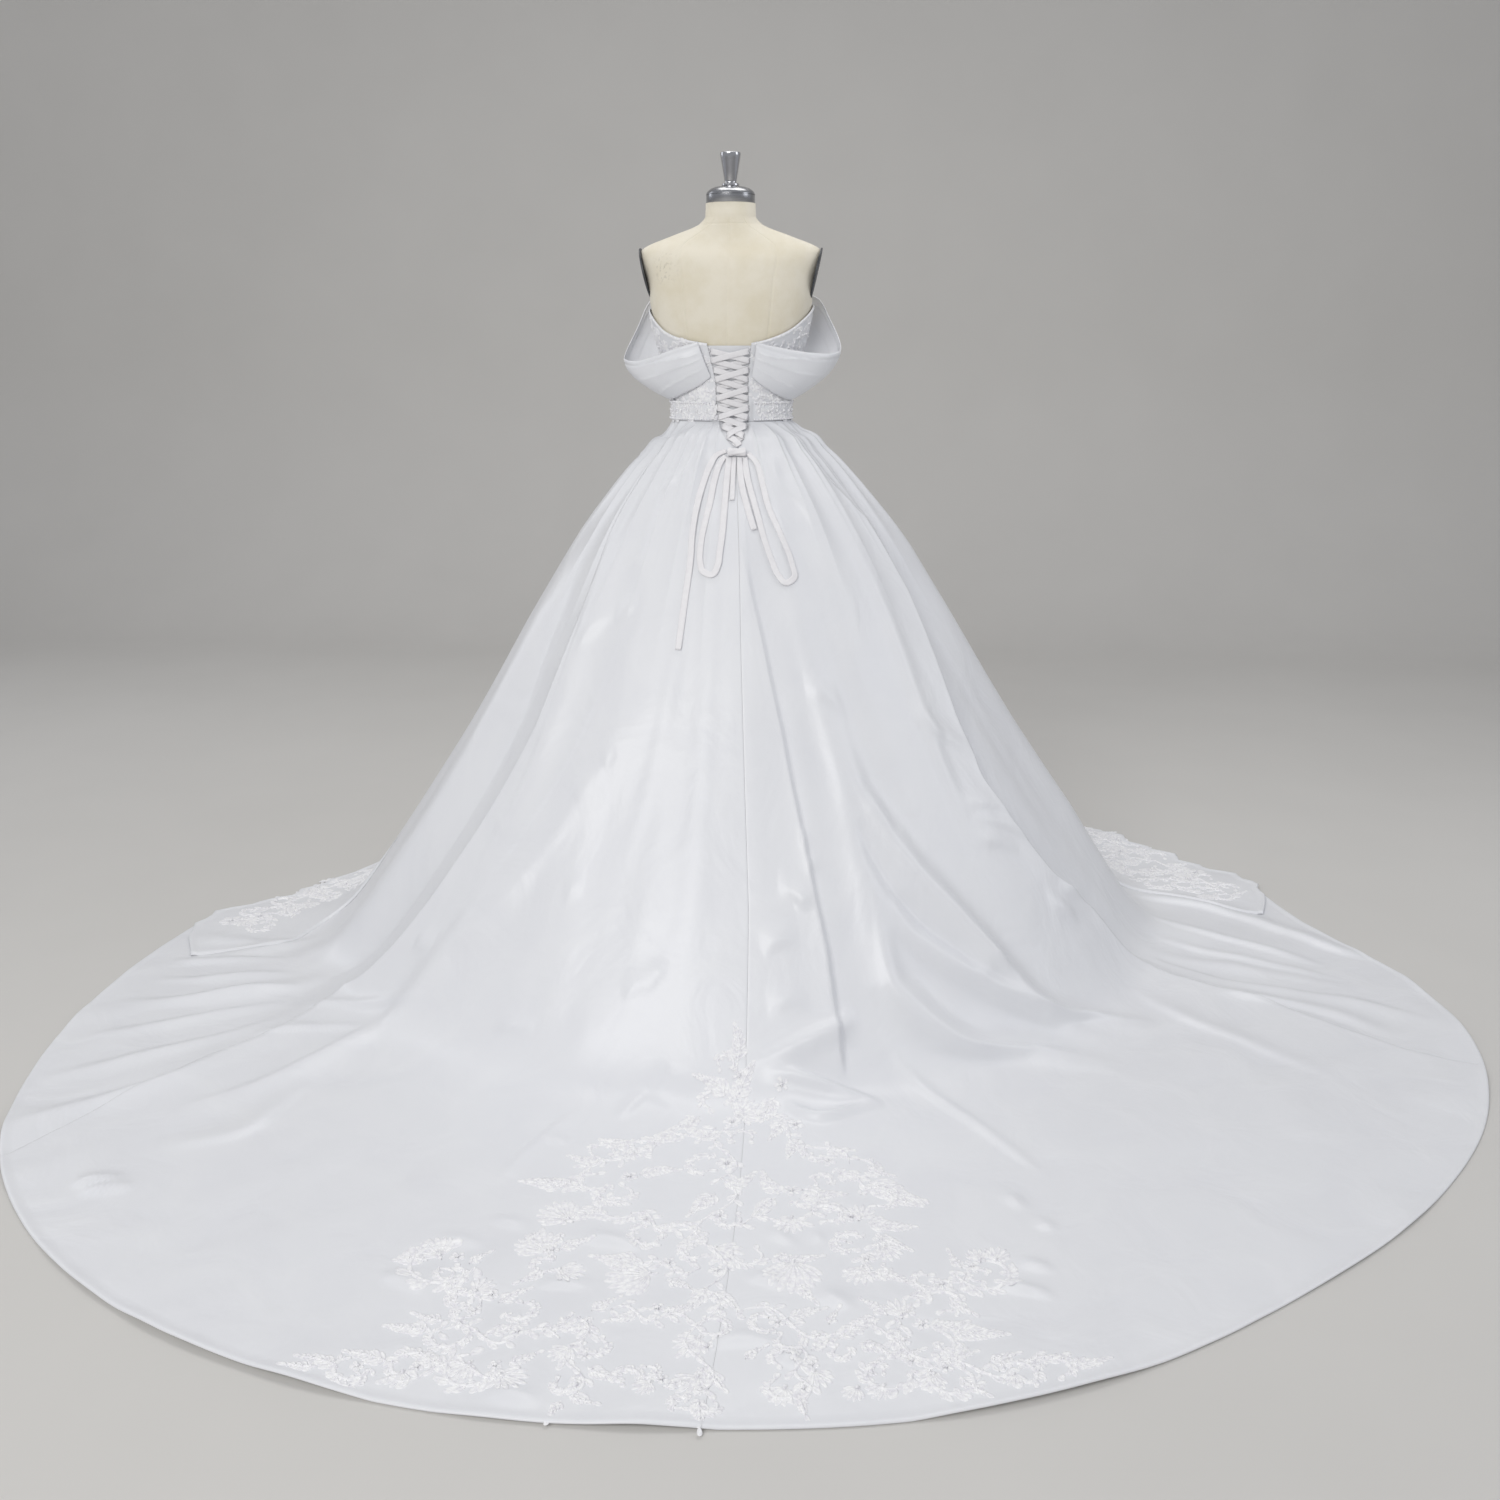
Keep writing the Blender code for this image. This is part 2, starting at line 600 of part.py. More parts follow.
def gap_edge(height, side, offset=CLOTH_OFFSET):
    """Angle of the bodice edge beside the lacing."""
    height = np.asarray(height, float)
    x = smooth_rows(LACING_GAP, height, 1) + side * smooth_rows(LACING_GAP, height, 2)
    return torso_angle(x, height, offset)


def seam_gap(height):
    half = torso_axes(height)[1]
    return np.degrees(GAP / 2 / half)


def build_bodice():
    bodice_wall("bodice_back_left", lambda z: -180 + seam_gap(z), lambda z: gap_edge(z, -1), 14, LACE)
    bodice_wall("bodice_back_right", lambda z: gap_edge(z, 1), lambda z: 0 - seam_gap(z), 14, LACE)
    bodice_wall("bodice_front", lambda z: 0 + seam_gap(z), lambda z: 180 - seam_gap(z), 25, LACE)
    build_modesty_panel()
    build_belt()


def skirt_place(x, height):
    """Angle and radius of the plain skirt at the back, from x and height."""
    angle = np.full(np.broadcast(x, height).shape, -90.0)
    for _ in range(4):
        radius = cone_radius(angle, height)
        angle = np.degrees(np.arctan2(-np.sqrt(np.maximum(radius**2 - x**2, 1e-9)), x))
    return angle, radius


def back_point(x, height, offset):
    """Points over the back: the torso down to the waist, then the slope of the skirt."""
    x, height = np.broadcast_arrays(np.asarray(x, float), np.asarray(height, float))
    upper = np.maximum(height, WAIST_HEIGHT)
    turn = torso_angle(x, upper, 0.0)
    body = torso_point(turn, upper, 0.0)
    angle, radius = skirt_place(x, height)
    normal = cloth_normal(angle, radius)
    turn_in = np.radians(angle)
    plain = np.stack([radius * np.cos(turn_in), radius * np.sin(turn_in), height], axis=-1)
    slope = plain - normal * CLOTH_OFFSET
    level = np.stack([np.cos(np.radians(turn)), np.sin(np.radians(turn)), np.zeros(x.shape)], axis=-1)
    mix = ease(WAIST_HEIGHT + 0.030, WAIST_HEIGHT - 0.040, height)[..., None]
    lean = level * (1 - mix) + normal * mix
    lean /= np.linalg.norm(lean, axis=-1, keepdims=True)
    base = np.where((height < WAIST_HEIGHT)[..., None], slope, body)
    return base + lean * np.asarray(offset)[..., None]


def lacing_point(x, height, offset):
    """The same surface with the hollow at the waist eased, for the ribbon to bridge."""
    spread = np.linspace(-0.020, 0.020, 9)
    return np.mean([back_point(x, height + step, offset) - (0, 0, step) for step in spread], axis=0)


def build_modesty_panel():
    """The panel behind the lacing, a little wider than the opening, down to its point."""
    heights = np.array([1.004, 1.012, 1.022, 1.035, 1.050, 1.0575, 1.0622, 1.070, 1.085, 1.11, 1.14, 1.17, 1.206])
    shares = np.linspace(-1, 1, 7)
    centre = smooth_rows(LACING_GAP, heights, 1)[:, None]
    width = smooth_rows(LACING_GAP, heights, 2)[:, None] + 0.006
    x = centre + shares[None] * width
    z = np.broadcast_to(heights[:, None], x.shape)
    over = back_point(x, z, MODESTY_OFFSET + MODESTY_WALL)
    under = back_point(x, z, MODESTY_OFFSET)
    wall("modesty_panel", over, under, SATIN)


def build_belt():
    """The waist belt, from one side of the lacing round the front to the other."""
    start = float(gap_edge(BELT_MIDDLE, 1)) + BELT_END
    end = float(gap_edge(BELT_MIDDLE, -1)) - BELT_END + 360
    angles = np.linspace(start, end, 40)
    heights = (WAIST_HEIGHT + 0.0012, BELT_MIDDLE, BELT_TOP)
    inner = CLOTH_OFFSET + WALL + 0.0009
    over = []
    for height, swell in zip(heights, (0.7, 1.0, 0.7)):
        over.append(torso_point(angles, np.full_like(angles, height), inner + swell * BELT_WALL))
    over = np.array(over)
    under = np.array([torso_point(angles, np.full_like(angles, z), inner) for z in heights])
    wall("waist_belt", over, under, LACE)


# Lacing
def build_ribbon(name, side, low_layer, high_layer):
    """One ribbon wound down the opening: over in one direction, back underneath."""
    top, bottom = 1.198, 1.019
    legs = CROSSINGS + 1
    pitch = (top - bottom) / legs
    across = np.array([-0.94, -0.5, 0.0, 0.5, 0.94])
    centres, leans = [], []
    for leg in range(legs):
        direction = side if leg % 2 == 0 else -side
        layer = high_layer if leg % 2 == 0 else low_layer
        for share in across:
            height = top - pitch * (leg + (share + 1) / 2)
            middle = float(smooth_rows(LACING_GAP, height, 1))
            reach = float(smooth_rows(LACING_GAP, height, 2)) + 0.0015
            raised = layer + RIBBON_WALL / 2 + 0.0022 * float(ease(1.070, 1.046, height))
            centres.append((middle + direction * share * reach, height, raised))
            leans.append(direction)
        if leg < legs - 1:
            height = top - pitch * (leg + 1)
            middle = float(smooth_rows(LACING_GAP, height, 1))
            reach = float(smooth_rows(LACING_GAP, height, 2)) + 0.0015
            between = (low_layer + high_layer + RIBBON_WALL) / 2 + 0.0022 * float(ease(1.070, 1.046, height))
            centres.append((middle + direction * (reach + 0.002), height, between))
            leans.append(0)
    over, under = [], []
    for k, (x, height, offset) in enumerate(centres):
        reach = float(smooth_rows(LACING_GAP, height, 2)) + 0.0015
        slope = math.atan2(pitch, 2 * reach)
        tilt = leans[k] * math.sin(slope) * RIBBON_WIDTH / 2
        rise = math.cos(slope) * RIBBON_WIDTH / 2
        turn_out = RIBBON_WALL / 2
        edge = []
        for half in (1, -1):
            place = (x + half * tilt, height + half * rise)
            edge.append(place)
        if leans[k] == 0:
            outward = centres[k - 1][0] < x
            shift = turn_out if outward else -turn_out
            over.append([lacing_point(p + shift, z, offset) for p, z in edge])
            under.append([lacing_point(p - shift, z, offset) for p, z in edge])
        else:
            sign = 1 if (k // 6) % 2 == 0 else -1
            over.append([lacing_point(p, z, offset + sign * turn_out) for p, z in edge])
            under.append([lacing_point(p, z, offset - sign * turn_out) for p, z in edge])
    wall(name, np.array(over), np.array(under), RIBBON)


def build_bow():
    angle, radius = skirt_place(KNOT_X, KNOT_HEIGHT)
    normal = cloth_normal(angle, radius)
    width, thick, tall = KNOT_SIZE
    centre = skirt_point(angle, radius, WALL + CORD_LIFT) + normal * thick / 2
    across = np.cross((0, 0, 1), normal)
    across /= np.linalg.norm(across)
    down = np.cross(normal, across)
    turns = np.linspace(0, 2 * np.pi, 14, endpoint=False)
    rings = []
    for share in (-1.0, -0.9, -0.5, 0.0, 0.5, 0.9, 1.0):
        size = (1 - 0.14 * abs(share) ** 6) * (1 - 0.08 * math.cos(math.pi * share))
        ring = []
        for turn in turns:
            up = np.sign(math.cos(turn)) * abs(math.cos(turn)) ** 0.7 * tall / 2 * size
            out = np.sign(math.sin(turn)) * abs(math.sin(turn)) ** 0.7 * thick / 2 * size
            ring.append(centre + across * (share * width / 2) + normal * out + down * up)
        rings.append(ring)
    loft("bow_knot", rings, RIBBON)
    for name, (diameter, route) in BOW_ROUTES.items():
        x, height = np.array(route).T
        angle, radius = skirt_place(x, height)
        points = skirt_point(angle, radius, WALL + CORD_LIFT + diameter / 2)
        length = np.linalg.norm(np.diff(points, axis=0), axis=1).sum()
        cord(name, smooth_line(points, max(6, int(length / (2.4 * diameter)))), diameter, RIBBON)


# Drape
def build_drape(name, side):
    """One off-shoulder band, from the lacing round the arm to the centre front."""
    stations = np.concatenate([np.linspace(-68, -32, 7), np.linspace(-23, 36, 9), np.linspace(45, 90, 6)])
    shares = np.linspace(0, 1, 6)
    skew = 8.0 if side < 0 else 1.0
    grids = []
    for extra in (WALL, 0.0):
        grid = np.zeros((len(shares), len(stations), 3))
        for c, angle in enumerate(stations):
            values = [float(smooth_rows(DRAPE, angle, k)) for k in range(1, 7)]
            top, middle, bottom = values[0:2], values[2:4], values[4:6]
            drop = LEFT_DROP * float(ease(-60, -20, angle) * ease(40, 10, angle)) if side < 0 else 0.0
            for r, u in enumerate(shares):
                weights = ((1 - u) ** 2, 2 * u * (1 - u), u * u)
                control = 2 * np.array(middle) - (np.array(top) + np.array(bottom)) / 2
                height = weights[0] * top[0] + weights[1] * control[0] + weights[2] * bottom[0]
                offset = weights[0] * top[1] + weights[1] * control[1] + weights[2] * bottom[1]
                turn = min(angle, 90 - math.degrees(GAP / 2 / 0.12)) - skew * u * float(ease(-35, -68, angle))
                point = torso_point(turn, height - drop * (1 - u), offset + extra)
                grid[r, c] = point * (side, 1, 1)
        grids.append(grid)
    wall(name, grids[0], grids[1], SATIN)


# Skirt panels
def seam_angle(rows, radius, nudge):
    return from_rows(rows, radius) + np.degrees(nudge / radius)


def skirt_wall(name, start, end, hem, columns, floor_rows, lift=None):
    """A gore of the skirt between two seams, from the waist to its rounded hem."""
    shares = np.linspace(0, 1, columns)
    low_rows = np.array([0.0, 0.012, 0.03, 0.058, 0.095, 0.19, 0.34, 0.52, 0.70, 0.83, 0.93, 1.0])
    over = np.zeros((len(low_rows) + floor_rows + 2, columns, 3))
    under = np.zeros_like(over)
    for c, share in enumerate(shares):
        angle = start(0.15) + (end(0.15) - start(0.15)) * share
        for _ in range(3):
            top = top_radius(angle)
            angle = start(top) + (end(top) - start(top)) * share
        angle_hem = start(1.3) + (end(1.3) - start(1.3)) * share
        for _ in range(3):
            hem_radius = hem(angle_hem)
            angle_hem = start(hem_radius) + (end(hem_radius) - start(hem_radius)) * share
        hem_radius = hem(angle_hem)
        foot = min(FOOT_RADIUS, hem_radius - 0.03)
        cone = top + (foot - top) * low_rows
        beyond = np.linspace(foot, hem_radius - 0.014, floor_rows + 1)[1:]
        radii = np.concatenate([cone, beyond, [hem_radius - 0.006, hem_radius]])
        walls = np.concatenate([np.full(len(radii) - 2, WALL), [HEM_ROLL, HEM_ROLL * 0.6]])
        angles = start(radii) + (end(radii) - start(radii)) * share
        raised = lift(angles, radii) if lift else 0.0
        under[:, c] = skirt_point(angles, radii, raised)
        over[:, c] = skirt_point(angles, radii, walls + raised)
    wall(name, over, under, SATIN)


def top_radius(angle):
    """The waist, lowered to a point at the centre back for the lacing."""
    waist = float(waist_radius(np.radians(angle)))
    x = waist * math.cos(math.radians(angle))
    if math.sin(math.radians(angle)) > 0:
        return waist
    away = abs(x - V_CENTRE)
    height = WAIST_HEIGHT - (WAIST_HEIGHT - V_BOTTOM) * max(0.0, 1 - away / V_HALF_WIDTH)
    return float(cone_radius(angle, height))


def build_skirt():
    half = GAP / 2
    overlap = 0.84

    def train(angle):
        return float(smooth_rows(TRAIN_HEM, (angle + 180) % 360 - 180))

    def front(angle):
        return float(smooth_rows(FRONT_HEM, angle))

    def side(rows, nudge):
        return lambda r: seam_angle(rows, np.asarray(r, float), nudge)

    def fixed(angle, nudge):
        return lambda r: angle + np.degrees(nudge / np.asarray(r, float))

    def flap_right(r):
        """The front's right edge, which lies over the side panel on the floor."""
        r = np.asarray(r, float)
        return 9 - 8.5 * ease(overlap, 1.15, r) + np.degrees(half / r)

    def flap_left(r):
        r = np.asarray(r, float)
        return 189 + 9 * ease(overlap, 0.98, r) - np.degrees(half / r)

    def lift_right(angle, radius):
        return FLAP_LIFT * ease(15.0, 10.0, angle) * ease(0.70, 0.80, radius)

    def lift_left(angle, radius):
        return FLAP_LIFT * ease(182.0, 187.5, angle) * ease(0.70, 0.80, radius)

    skirt_wall("skirt_side_left", fixed(-171, half), side(SEAM_LEFT, -half), train, 11, 5)
    skirt_wall("skirt_back_left", side(SEAM_LEFT, half), side(SEAM_CENTRE, -half), train, 17, 5)
    skirt_wall("skirt_back_right", side(SEAM_CENTRE, half), side(SEAM_RIGHT, -half), train, 18, 5)
    skirt_wall("skirt_side_right", side(SEAM_RIGHT, half), fixed(9, -half), train, 11, 5)
    skirt_wall("skirt_front_side_right", flap_right, fixed(58, -half), front, 14, 2, lift_right)
    skirt_wall("skirt_front", fixed(58, half), fixed(122, -half), front, 15, 1)
    skirt_wall("skirt_front_side_left", fixed(122, half), flap_left, front, 17, 2, lift_left)


# Lace
def leaf_width(share, width, leaves):
    """Half width of a spray along its length, with one swelling for each leaf."""
    taper = 0.35 + 0.65 * math.sin(math.pi * min(1, share * 0.9 + 0.1))
    return width * taper * (0.42 + 0.58 * abs(math.sin(math.pi * leaves * share)) ** 0.8)


def lace_wall(name, places, half_widths, lift):
    """A spray of lace: a strip along places (x, y) that swells for each leaf."""
    line = np.array(places, float)
    along = np.gradient(line, axis=0)
    along /= np.linalg.norm(along, axis=1, keepdims=True)
    sideways = np.column_stack([-along[:, 1], along[:, 0]])
    over, under = [], []
    for share in (-1.0, 0.0, 1.0):
        spot = line + sideways * (np.array(half_widths) * share)[:, None]
        angle = np.degrees(np.arctan2(spot[:, 1], spot[:, 0]))
        radius = np.hypot(spot[:, 0], spot[:, 1])
        base = WALL + GAP + lift + 0.0016 * ease(1.12, 0.98, radius) * (lift == 0)
        under.append(skirt_point(angle, radius, base))
        over.append(skirt_point(angle, radius, base + LACE_WALL * (1.0 if share else 1.6)))
    wall(name, np.array(over), np.array(under), LACE)


def build_lace():
    for name, x0, y0, x1, y1, bow, width, leaves in LACE_SPRAYS:
        shares = np.linspace(0, 1, 3 * leaves + 1)
        start, end = np.array([x0, y0]), np.array([x1, y1])
        out = np.array([-(y1 - y0), x1 - x0])
        out /= np.linalg.norm(out)
        places = [start + (end - start) * s + out * bow * math.sin(math.pi * s) for s in shares]
        lace_wall(name, places, [max(0.004, leaf_width(s, width, leaves)) for s in shares], 0.0)
    for name, a0, r0, a1, r1, width, leaves in FLAP_SPRAYS:
        shares = np.linspace(0, 1, 3 * leaves + 1)
        places = []
        for s in shares:
            turn = math.radians(a0 + (a1 - a0) * s)
            radius = r0 + (r1 - r0) * s
            places.append((radius * math.cos(turn), radius * math.sin(turn)))
        lace_wall(name, places, [max(0.004, leaf_width(s, width, leaves)) for s in shares], FLAP_LIFT)


# Build
clear_scene()
DRESS = bpy.data.collections.new("Wedding dress on a dress form")
bpy.context.scene.collection.children.link(DRESS)
SATIN = material("ivory satin", (0.86, 0.87, 0.90), 0.38)
LACE = material("ivory lace", (0.84, 0.84, 0.85), 0.70)
RIBBON = material("satin ribbon", (0.88, 0.88, 0.89), 0.40)
LINEN = material("cream linen", (0.72, 0.66, 0.53), 0.90)
CHROME = material("chromed steel", (0.55, 0.55, 0.56), 0.18, 1.0)
GREY_PLATE = material("dark grey plastic", (0.05, 0.055, 0.06), 0.45)
build_form()
build_bodice()
build_ribbon("lacing_ribbon_first", 1, RIBBON_LAYERS[0], RIBBON_LAYERS[2])
build_ribbon("lacing_ribbon_second", -1, RIBBON_LAYERS[1], RIBBON_LAYERS[3])
build_bow()
build_drape("drape_right", 1)
build_drape("drape_left", -1)
build_skirt()
build_lace()
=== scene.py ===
"""A satin wedding dress with a laced back and a round train, worn by a dress form.

Metres, +Z up, floor at z = 0, train towards -Y, origin under the pole of the form.
"""

import logging
import math
from dataclasses import dataclass, field
from enum import Enum
from typing import Any, Callable, Sequence

import bpy
import numpy as np
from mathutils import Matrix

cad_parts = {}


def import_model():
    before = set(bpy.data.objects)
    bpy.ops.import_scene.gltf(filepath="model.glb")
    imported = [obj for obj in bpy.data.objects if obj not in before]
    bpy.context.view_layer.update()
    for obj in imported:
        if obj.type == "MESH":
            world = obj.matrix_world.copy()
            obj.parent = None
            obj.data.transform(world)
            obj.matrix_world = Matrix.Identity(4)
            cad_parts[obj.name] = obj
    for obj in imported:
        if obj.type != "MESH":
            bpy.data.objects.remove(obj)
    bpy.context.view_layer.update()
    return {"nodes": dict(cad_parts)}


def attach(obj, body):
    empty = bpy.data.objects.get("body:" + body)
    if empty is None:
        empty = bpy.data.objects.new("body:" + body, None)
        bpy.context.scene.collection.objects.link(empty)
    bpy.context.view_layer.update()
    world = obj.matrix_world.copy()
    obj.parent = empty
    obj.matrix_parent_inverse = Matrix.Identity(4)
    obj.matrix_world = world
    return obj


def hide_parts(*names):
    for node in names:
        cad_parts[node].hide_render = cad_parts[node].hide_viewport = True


Array = np.ndarray
Rows = Sequence[tuple[float, ...]]
log = logging.getLogger("wedding_dress")

WALL = 0.002
FLOOR_CLEARANCE = 0.0004
WAIST_HEIGHT = 1.062
CLOTH_OFFSET = 0.0028
FLAP_LIFT = 0.0054
CORD_LIFT = 0.0010

# Torso sections: height, half width, depth at the back, depth at the front
TORSO_SECTIONS: Rows = (
    (0.800, 0.158, 0.108, 0.100), (0.880, 0.168, 0.120, 0.106), (0.980, 0.146, 0.106, 0.098),
    (1.062, 0.115, 0.088, 0.086), (1.100, 0.115, 0.088, 0.089), (1.160, 0.129, 0.097, 0.105),
    (1.220, 0.147, 0.107, 0.124), (1.280, 0.160, 0.108, 0.118), (1.330, 0.168, 0.101, 0.098),
    (1.372, 0.178, 0.086, 0.074), (1.392, 0.166, 0.072, 0.058), (1.412, 0.116, 0.060, 0.049),
    (1.430, 0.068, 0.053, 0.048), (1.446, 0.050, 0.050, 0.048), (1.471, 0.049, 0.049, 0.049),
)

# Skirt over its petticoats: share of the fall, extra share of the radius
SWELL: Rows = (
    (0.000, 0.000), (0.011, 0.026), (0.058, 0.044), (0.105, 0.050), (0.200, 0.055), (0.300, 0.045),
    (0.400, 0.032), (0.500, 0.016), (0.600, 0.004), (0.700, 0.000), (1.000, 0.000),
)

# Foot of the cone: angle, radius
CONE_FEET: Rows = (
    (-180, 0.850), (-135, 0.850), (-90, 0.850), (-45, 0.858), (0, 0.878), (45, 0.830), (90, 0.790),
    (135, 0.812), (180, 0.850),
)

# Hem of the train: angle, radius
TRAIN_HEM: Rows = (
    (-171, 1.160), (-168, 1.185), (-157, 1.290), (-145, 1.414), (-135, 1.510), (-127, 1.552),
    (-119, 1.577), (-103, 1.590), (-87, 1.580), (-76, 1.583), (-68, 1.574), (-57, 1.549), (-43, 1.541),
    (-30, 1.525), (-24, 1.499), (-12, 1.390), (-4, 1.270), (9, 1.190),
)

# Hem of the front: angle, radius
FRONT_HEM: Rows = (
    (0, 1.165), (7, 1.210), (18, 1.120), (31, 1.030), (50, 0.935), (70, 0.870), (90, 0.840),
    (110, 0.845), (130, 0.860), (150, 0.875), (170, 0.905), (180, 1.000), (189, 1.158), (198, 1.145),
)

# Seams: radius, angle
SEAM_CENTRE: Rows = (
    (0.09, -83.0), (0.185, -82.8), (0.40, -83.3), (0.66, -83.2), (0.80, -84.0), (1.60, -87.0),
)
SEAM_LEFT: Rows = (
    (0.09, -138.0), (0.28, -136.8), (0.38, -133.4), (0.50, -131.7), (0.62, -134.6), (0.71, -137.4),
    (0.78, -140.1), (0.87, -144.5), (1.03, -139.5), (1.16, -138.4), (1.60, -133.0),
)
SEAM_RIGHT: Rows = (
    (0.09, -34.0), (0.21, -31.0), (0.29, -23.5), (0.38, -23.5), (0.51, -30.5), (0.58, -32.0),
    (0.64, -30.6), (0.71, -27.8), (0.78, -22.5), (0.90, -19.6), (0.97, -20.3), (1.15, -22.4),
    (1.38, -25.4), (1.60, -26.0),
)

# Soft folds of the solids: angle rows (radius, angle), width, height rows (radius, height)
RIDGES: Sequence[tuple[Rows, float, Rows]] = (
    (((0.45, -106.0), (0.58, -116.6), (0.66, -121.3), (0.75, -128.3), (0.92, -132.8), (1.20, -131.8)),
     0.034, ((0.30, 0.0), (0.50, 0.014), (0.75, 0.022), (0.90, 0.010), (1.20, 0.004), (1.32, 0.0))),
    (((0.60, -92.5), (0.66, -94.8), (0.74, -99.4), (0.80, -103.5), (0.95, -108.0)),
     0.045, ((0.45, 0.0), (0.66, 0.010), (0.80, 0.012), (0.95, 0.0))),
    (((0.45, -64.0), (0.55, -61.3), (0.64, -56.1), (0.73, -49.5), (0.78, -46.0), (0.95, -38.0)),
     0.022, ((0.35, 0.0), (0.55, 0.010), (0.73, 0.020), (0.80, 0.014), (0.95, 0.0))),
    (((0.60, -64.5), (0.75, -64.4), (0.83, -57.9), (0.89, -48.6), (1.00, -44.0)),
     0.024, ((0.50, 0.0), (0.68, 0.009), (0.80, 0.016), (0.90, 0.010), (1.02, 0.0))),
    (((0.60, -65.0), (0.70, -59.8), (0.78, -50.2), (0.885, -37.3), (1.00, -33.0)),
     0.020, ((0.60, 0.0), (0.72, 0.010), (0.86, 0.012), (1.00, 0.0))),
    (((0.15, -4.0), (0.35, -2.0), (0.60, -2.0), (0.94, -5.0), (1.20, -9.0)),
     0.055, ((0.12, 0.0), (0.35, 0.026), (0.70, 0.030), (0.92, 0.010), (1.25, 0.0))),
    (((0.15, -152.0), (0.60, -155.0), (0.90, -158.0), (1.10, -154.0)),
     0.040, ((0.15, 0.0), (0.40, 0.016), (0.80, 0.018), (0.95, 0.006), (1.15, 0.0))),
    (((0.15, 22.0), (0.80, 20.0)), 0.040, ((0.15, 0.0), (0.40, 0.014), (0.75, 0.018), (0.95, 0.0))),
    (((0.15, 46.0), (0.80, 43.0)), 0.045, ((0.15, 0.0), (0.40, 0.016), (0.75, 0.020), (0.90, 0.0))),
    (((0.15, 72.0), (0.80, 70.0)), 0.040, ((0.15, 0.0), (0.40, 0.012), (0.70, 0.018), (0.85, 0.0))),
    (((0.15, 101.0), (0.80, 104.0)), 0.045, ((0.15, 0.0), (0.40, 0.014), (0.70, 0.018), (0.85, 0.0))),
    (((0.15, 130.0), (0.80, 134.0)), 0.042, ((0.15, 0.0), (0.40, 0.015), (0.75, 0.020), (0.88, 0.0))),
    (((0.15, 157.0), (0.80, 163.0)), 0.040, ((0.15, 0.0), (0.40, 0.012), (0.75, 0.018), (0.92, 0.0))),
    (((0.88, -163.0), (1.20, -160.0)), 0.016, ((0.86, 0.0), (1.00, 0.009), (1.22, 0.0))),
    (((0.88, -150.0), (1.22, -151.5)), 0.018, ((0.86, 0.0), (1.02, 0.010), (1.30, 0.0))),
    (((0.90, -14.0), (1.30, -15.5)), 0.016, ((0.88, 0.0), (1.05, 0.008), (1.34, 0.0))),
)

# Fold edges: seam rows, side of the crest, width of its back, width of its wall, crest rows, recess rows
EDGES: Sequence[tuple[Rows, int, float, float, Rows, Rows]] = (
    (SEAM_LEFT, 1, 0.110, 0.095,
     ((0.12, 0.0), (0.25, 0.012), (0.50, 0.023), (0.80, 0.024), (0.95, 0.012), (1.20, 0.008), (1.40, 0.0)),
     ((0.12, 0.0), (0.30, 0.008), (0.60, 0.014), (0.80, 0.012), (0.90, 0.0))),
    (SEAM_RIGHT, -1, 0.110, 0.050,
     ((0.12, 0.0), (0.25, 0.014), (0.50, 0.024), (0.80, 0.026), (0.95, 0.014), (1.20, 0.009), (1.45, 0.0)),
     ((0.12, 0.0), (0.30, 0.010), (0.60, 0.018), (0.80, 0.014), (0.90, 0.0))),
    (((0.30, -80.0), (0.39, -76.4), (0.48, -74.1), (0.58, -72.8), (0.71, -71.8), (0.83, -72.3)),
     -1, 0.060, 0.012, ((0.22, 0.0), (0.40, 0.008), (0.70, 0.014), (0.82, 0.012), (0.855, 0.0)),
     ((0.22, 0.0), (0.50, 0.003), (0.80, 0.003), (0.85, 0.0))),
)

# Back opening: height, centre x, half width
LACING_GAP: Rows = (
    (1.000, 0.0240, 0.0020), (1.012, 0.0235, 0.0050), (1.035, 0.0180, 0.0170), (1.062, 0.0120, 0.0270),
    (1.140, 0.0080, 0.0320), (1.215, 0.0040, 0.0430),
)

# Top of the bodice: angle, height
BODICE_TOP: Rows = (
    (-180, 1.276), (-165, 1.262), (-145, 1.234), (-115, 1.214), (-65, 1.214), (-40, 1.234),
    (-18, 1.262), (0, 1.280), (40, 1.268), (70, 1.262), (90, 1.240), (110, 1.262), (140, 1.268),
    (180, 1.276),
)

# Right band of the drape: angle, then height and stand-off of its top, middle and bottom
DRAPE: Rows = (
    (-68, 1.214, 0.0070, 1.181, 0.0100, 1.147, 0.0070), (-62, 1.209, 0.0110, 1.172, 0.0190, 1.136, 0.0085),
    (-50, 1.202, 0.0220, 1.160, 0.0330, 1.120, 0.0100), (-32, 1.193, 0.0500, 1.147, 0.0520, 1.106, 0.0110),
    (-14, 1.192, 0.0740, 1.145, 0.0630, 1.102, 0.0130), (4, 1.210, 0.0740, 1.160, 0.0640, 1.112, 0.0150),
    (20, 1.254, 0.0560, 1.196, 0.0560, 1.140, 0.0170), (36, 1.300, 0.0440, 1.240, 0.0440, 1.178, 0.0150),
    (54, 1.300, 0.0200, 1.247, 0.0280, 1.190, 0.0120), (72, 1.283, 0.0110, 1.240, 0.0190, 1.194, 0.0100),
    (90, 1.266, 0.0100, 1.230, 0.0170, 1.192, 0.0100),
)

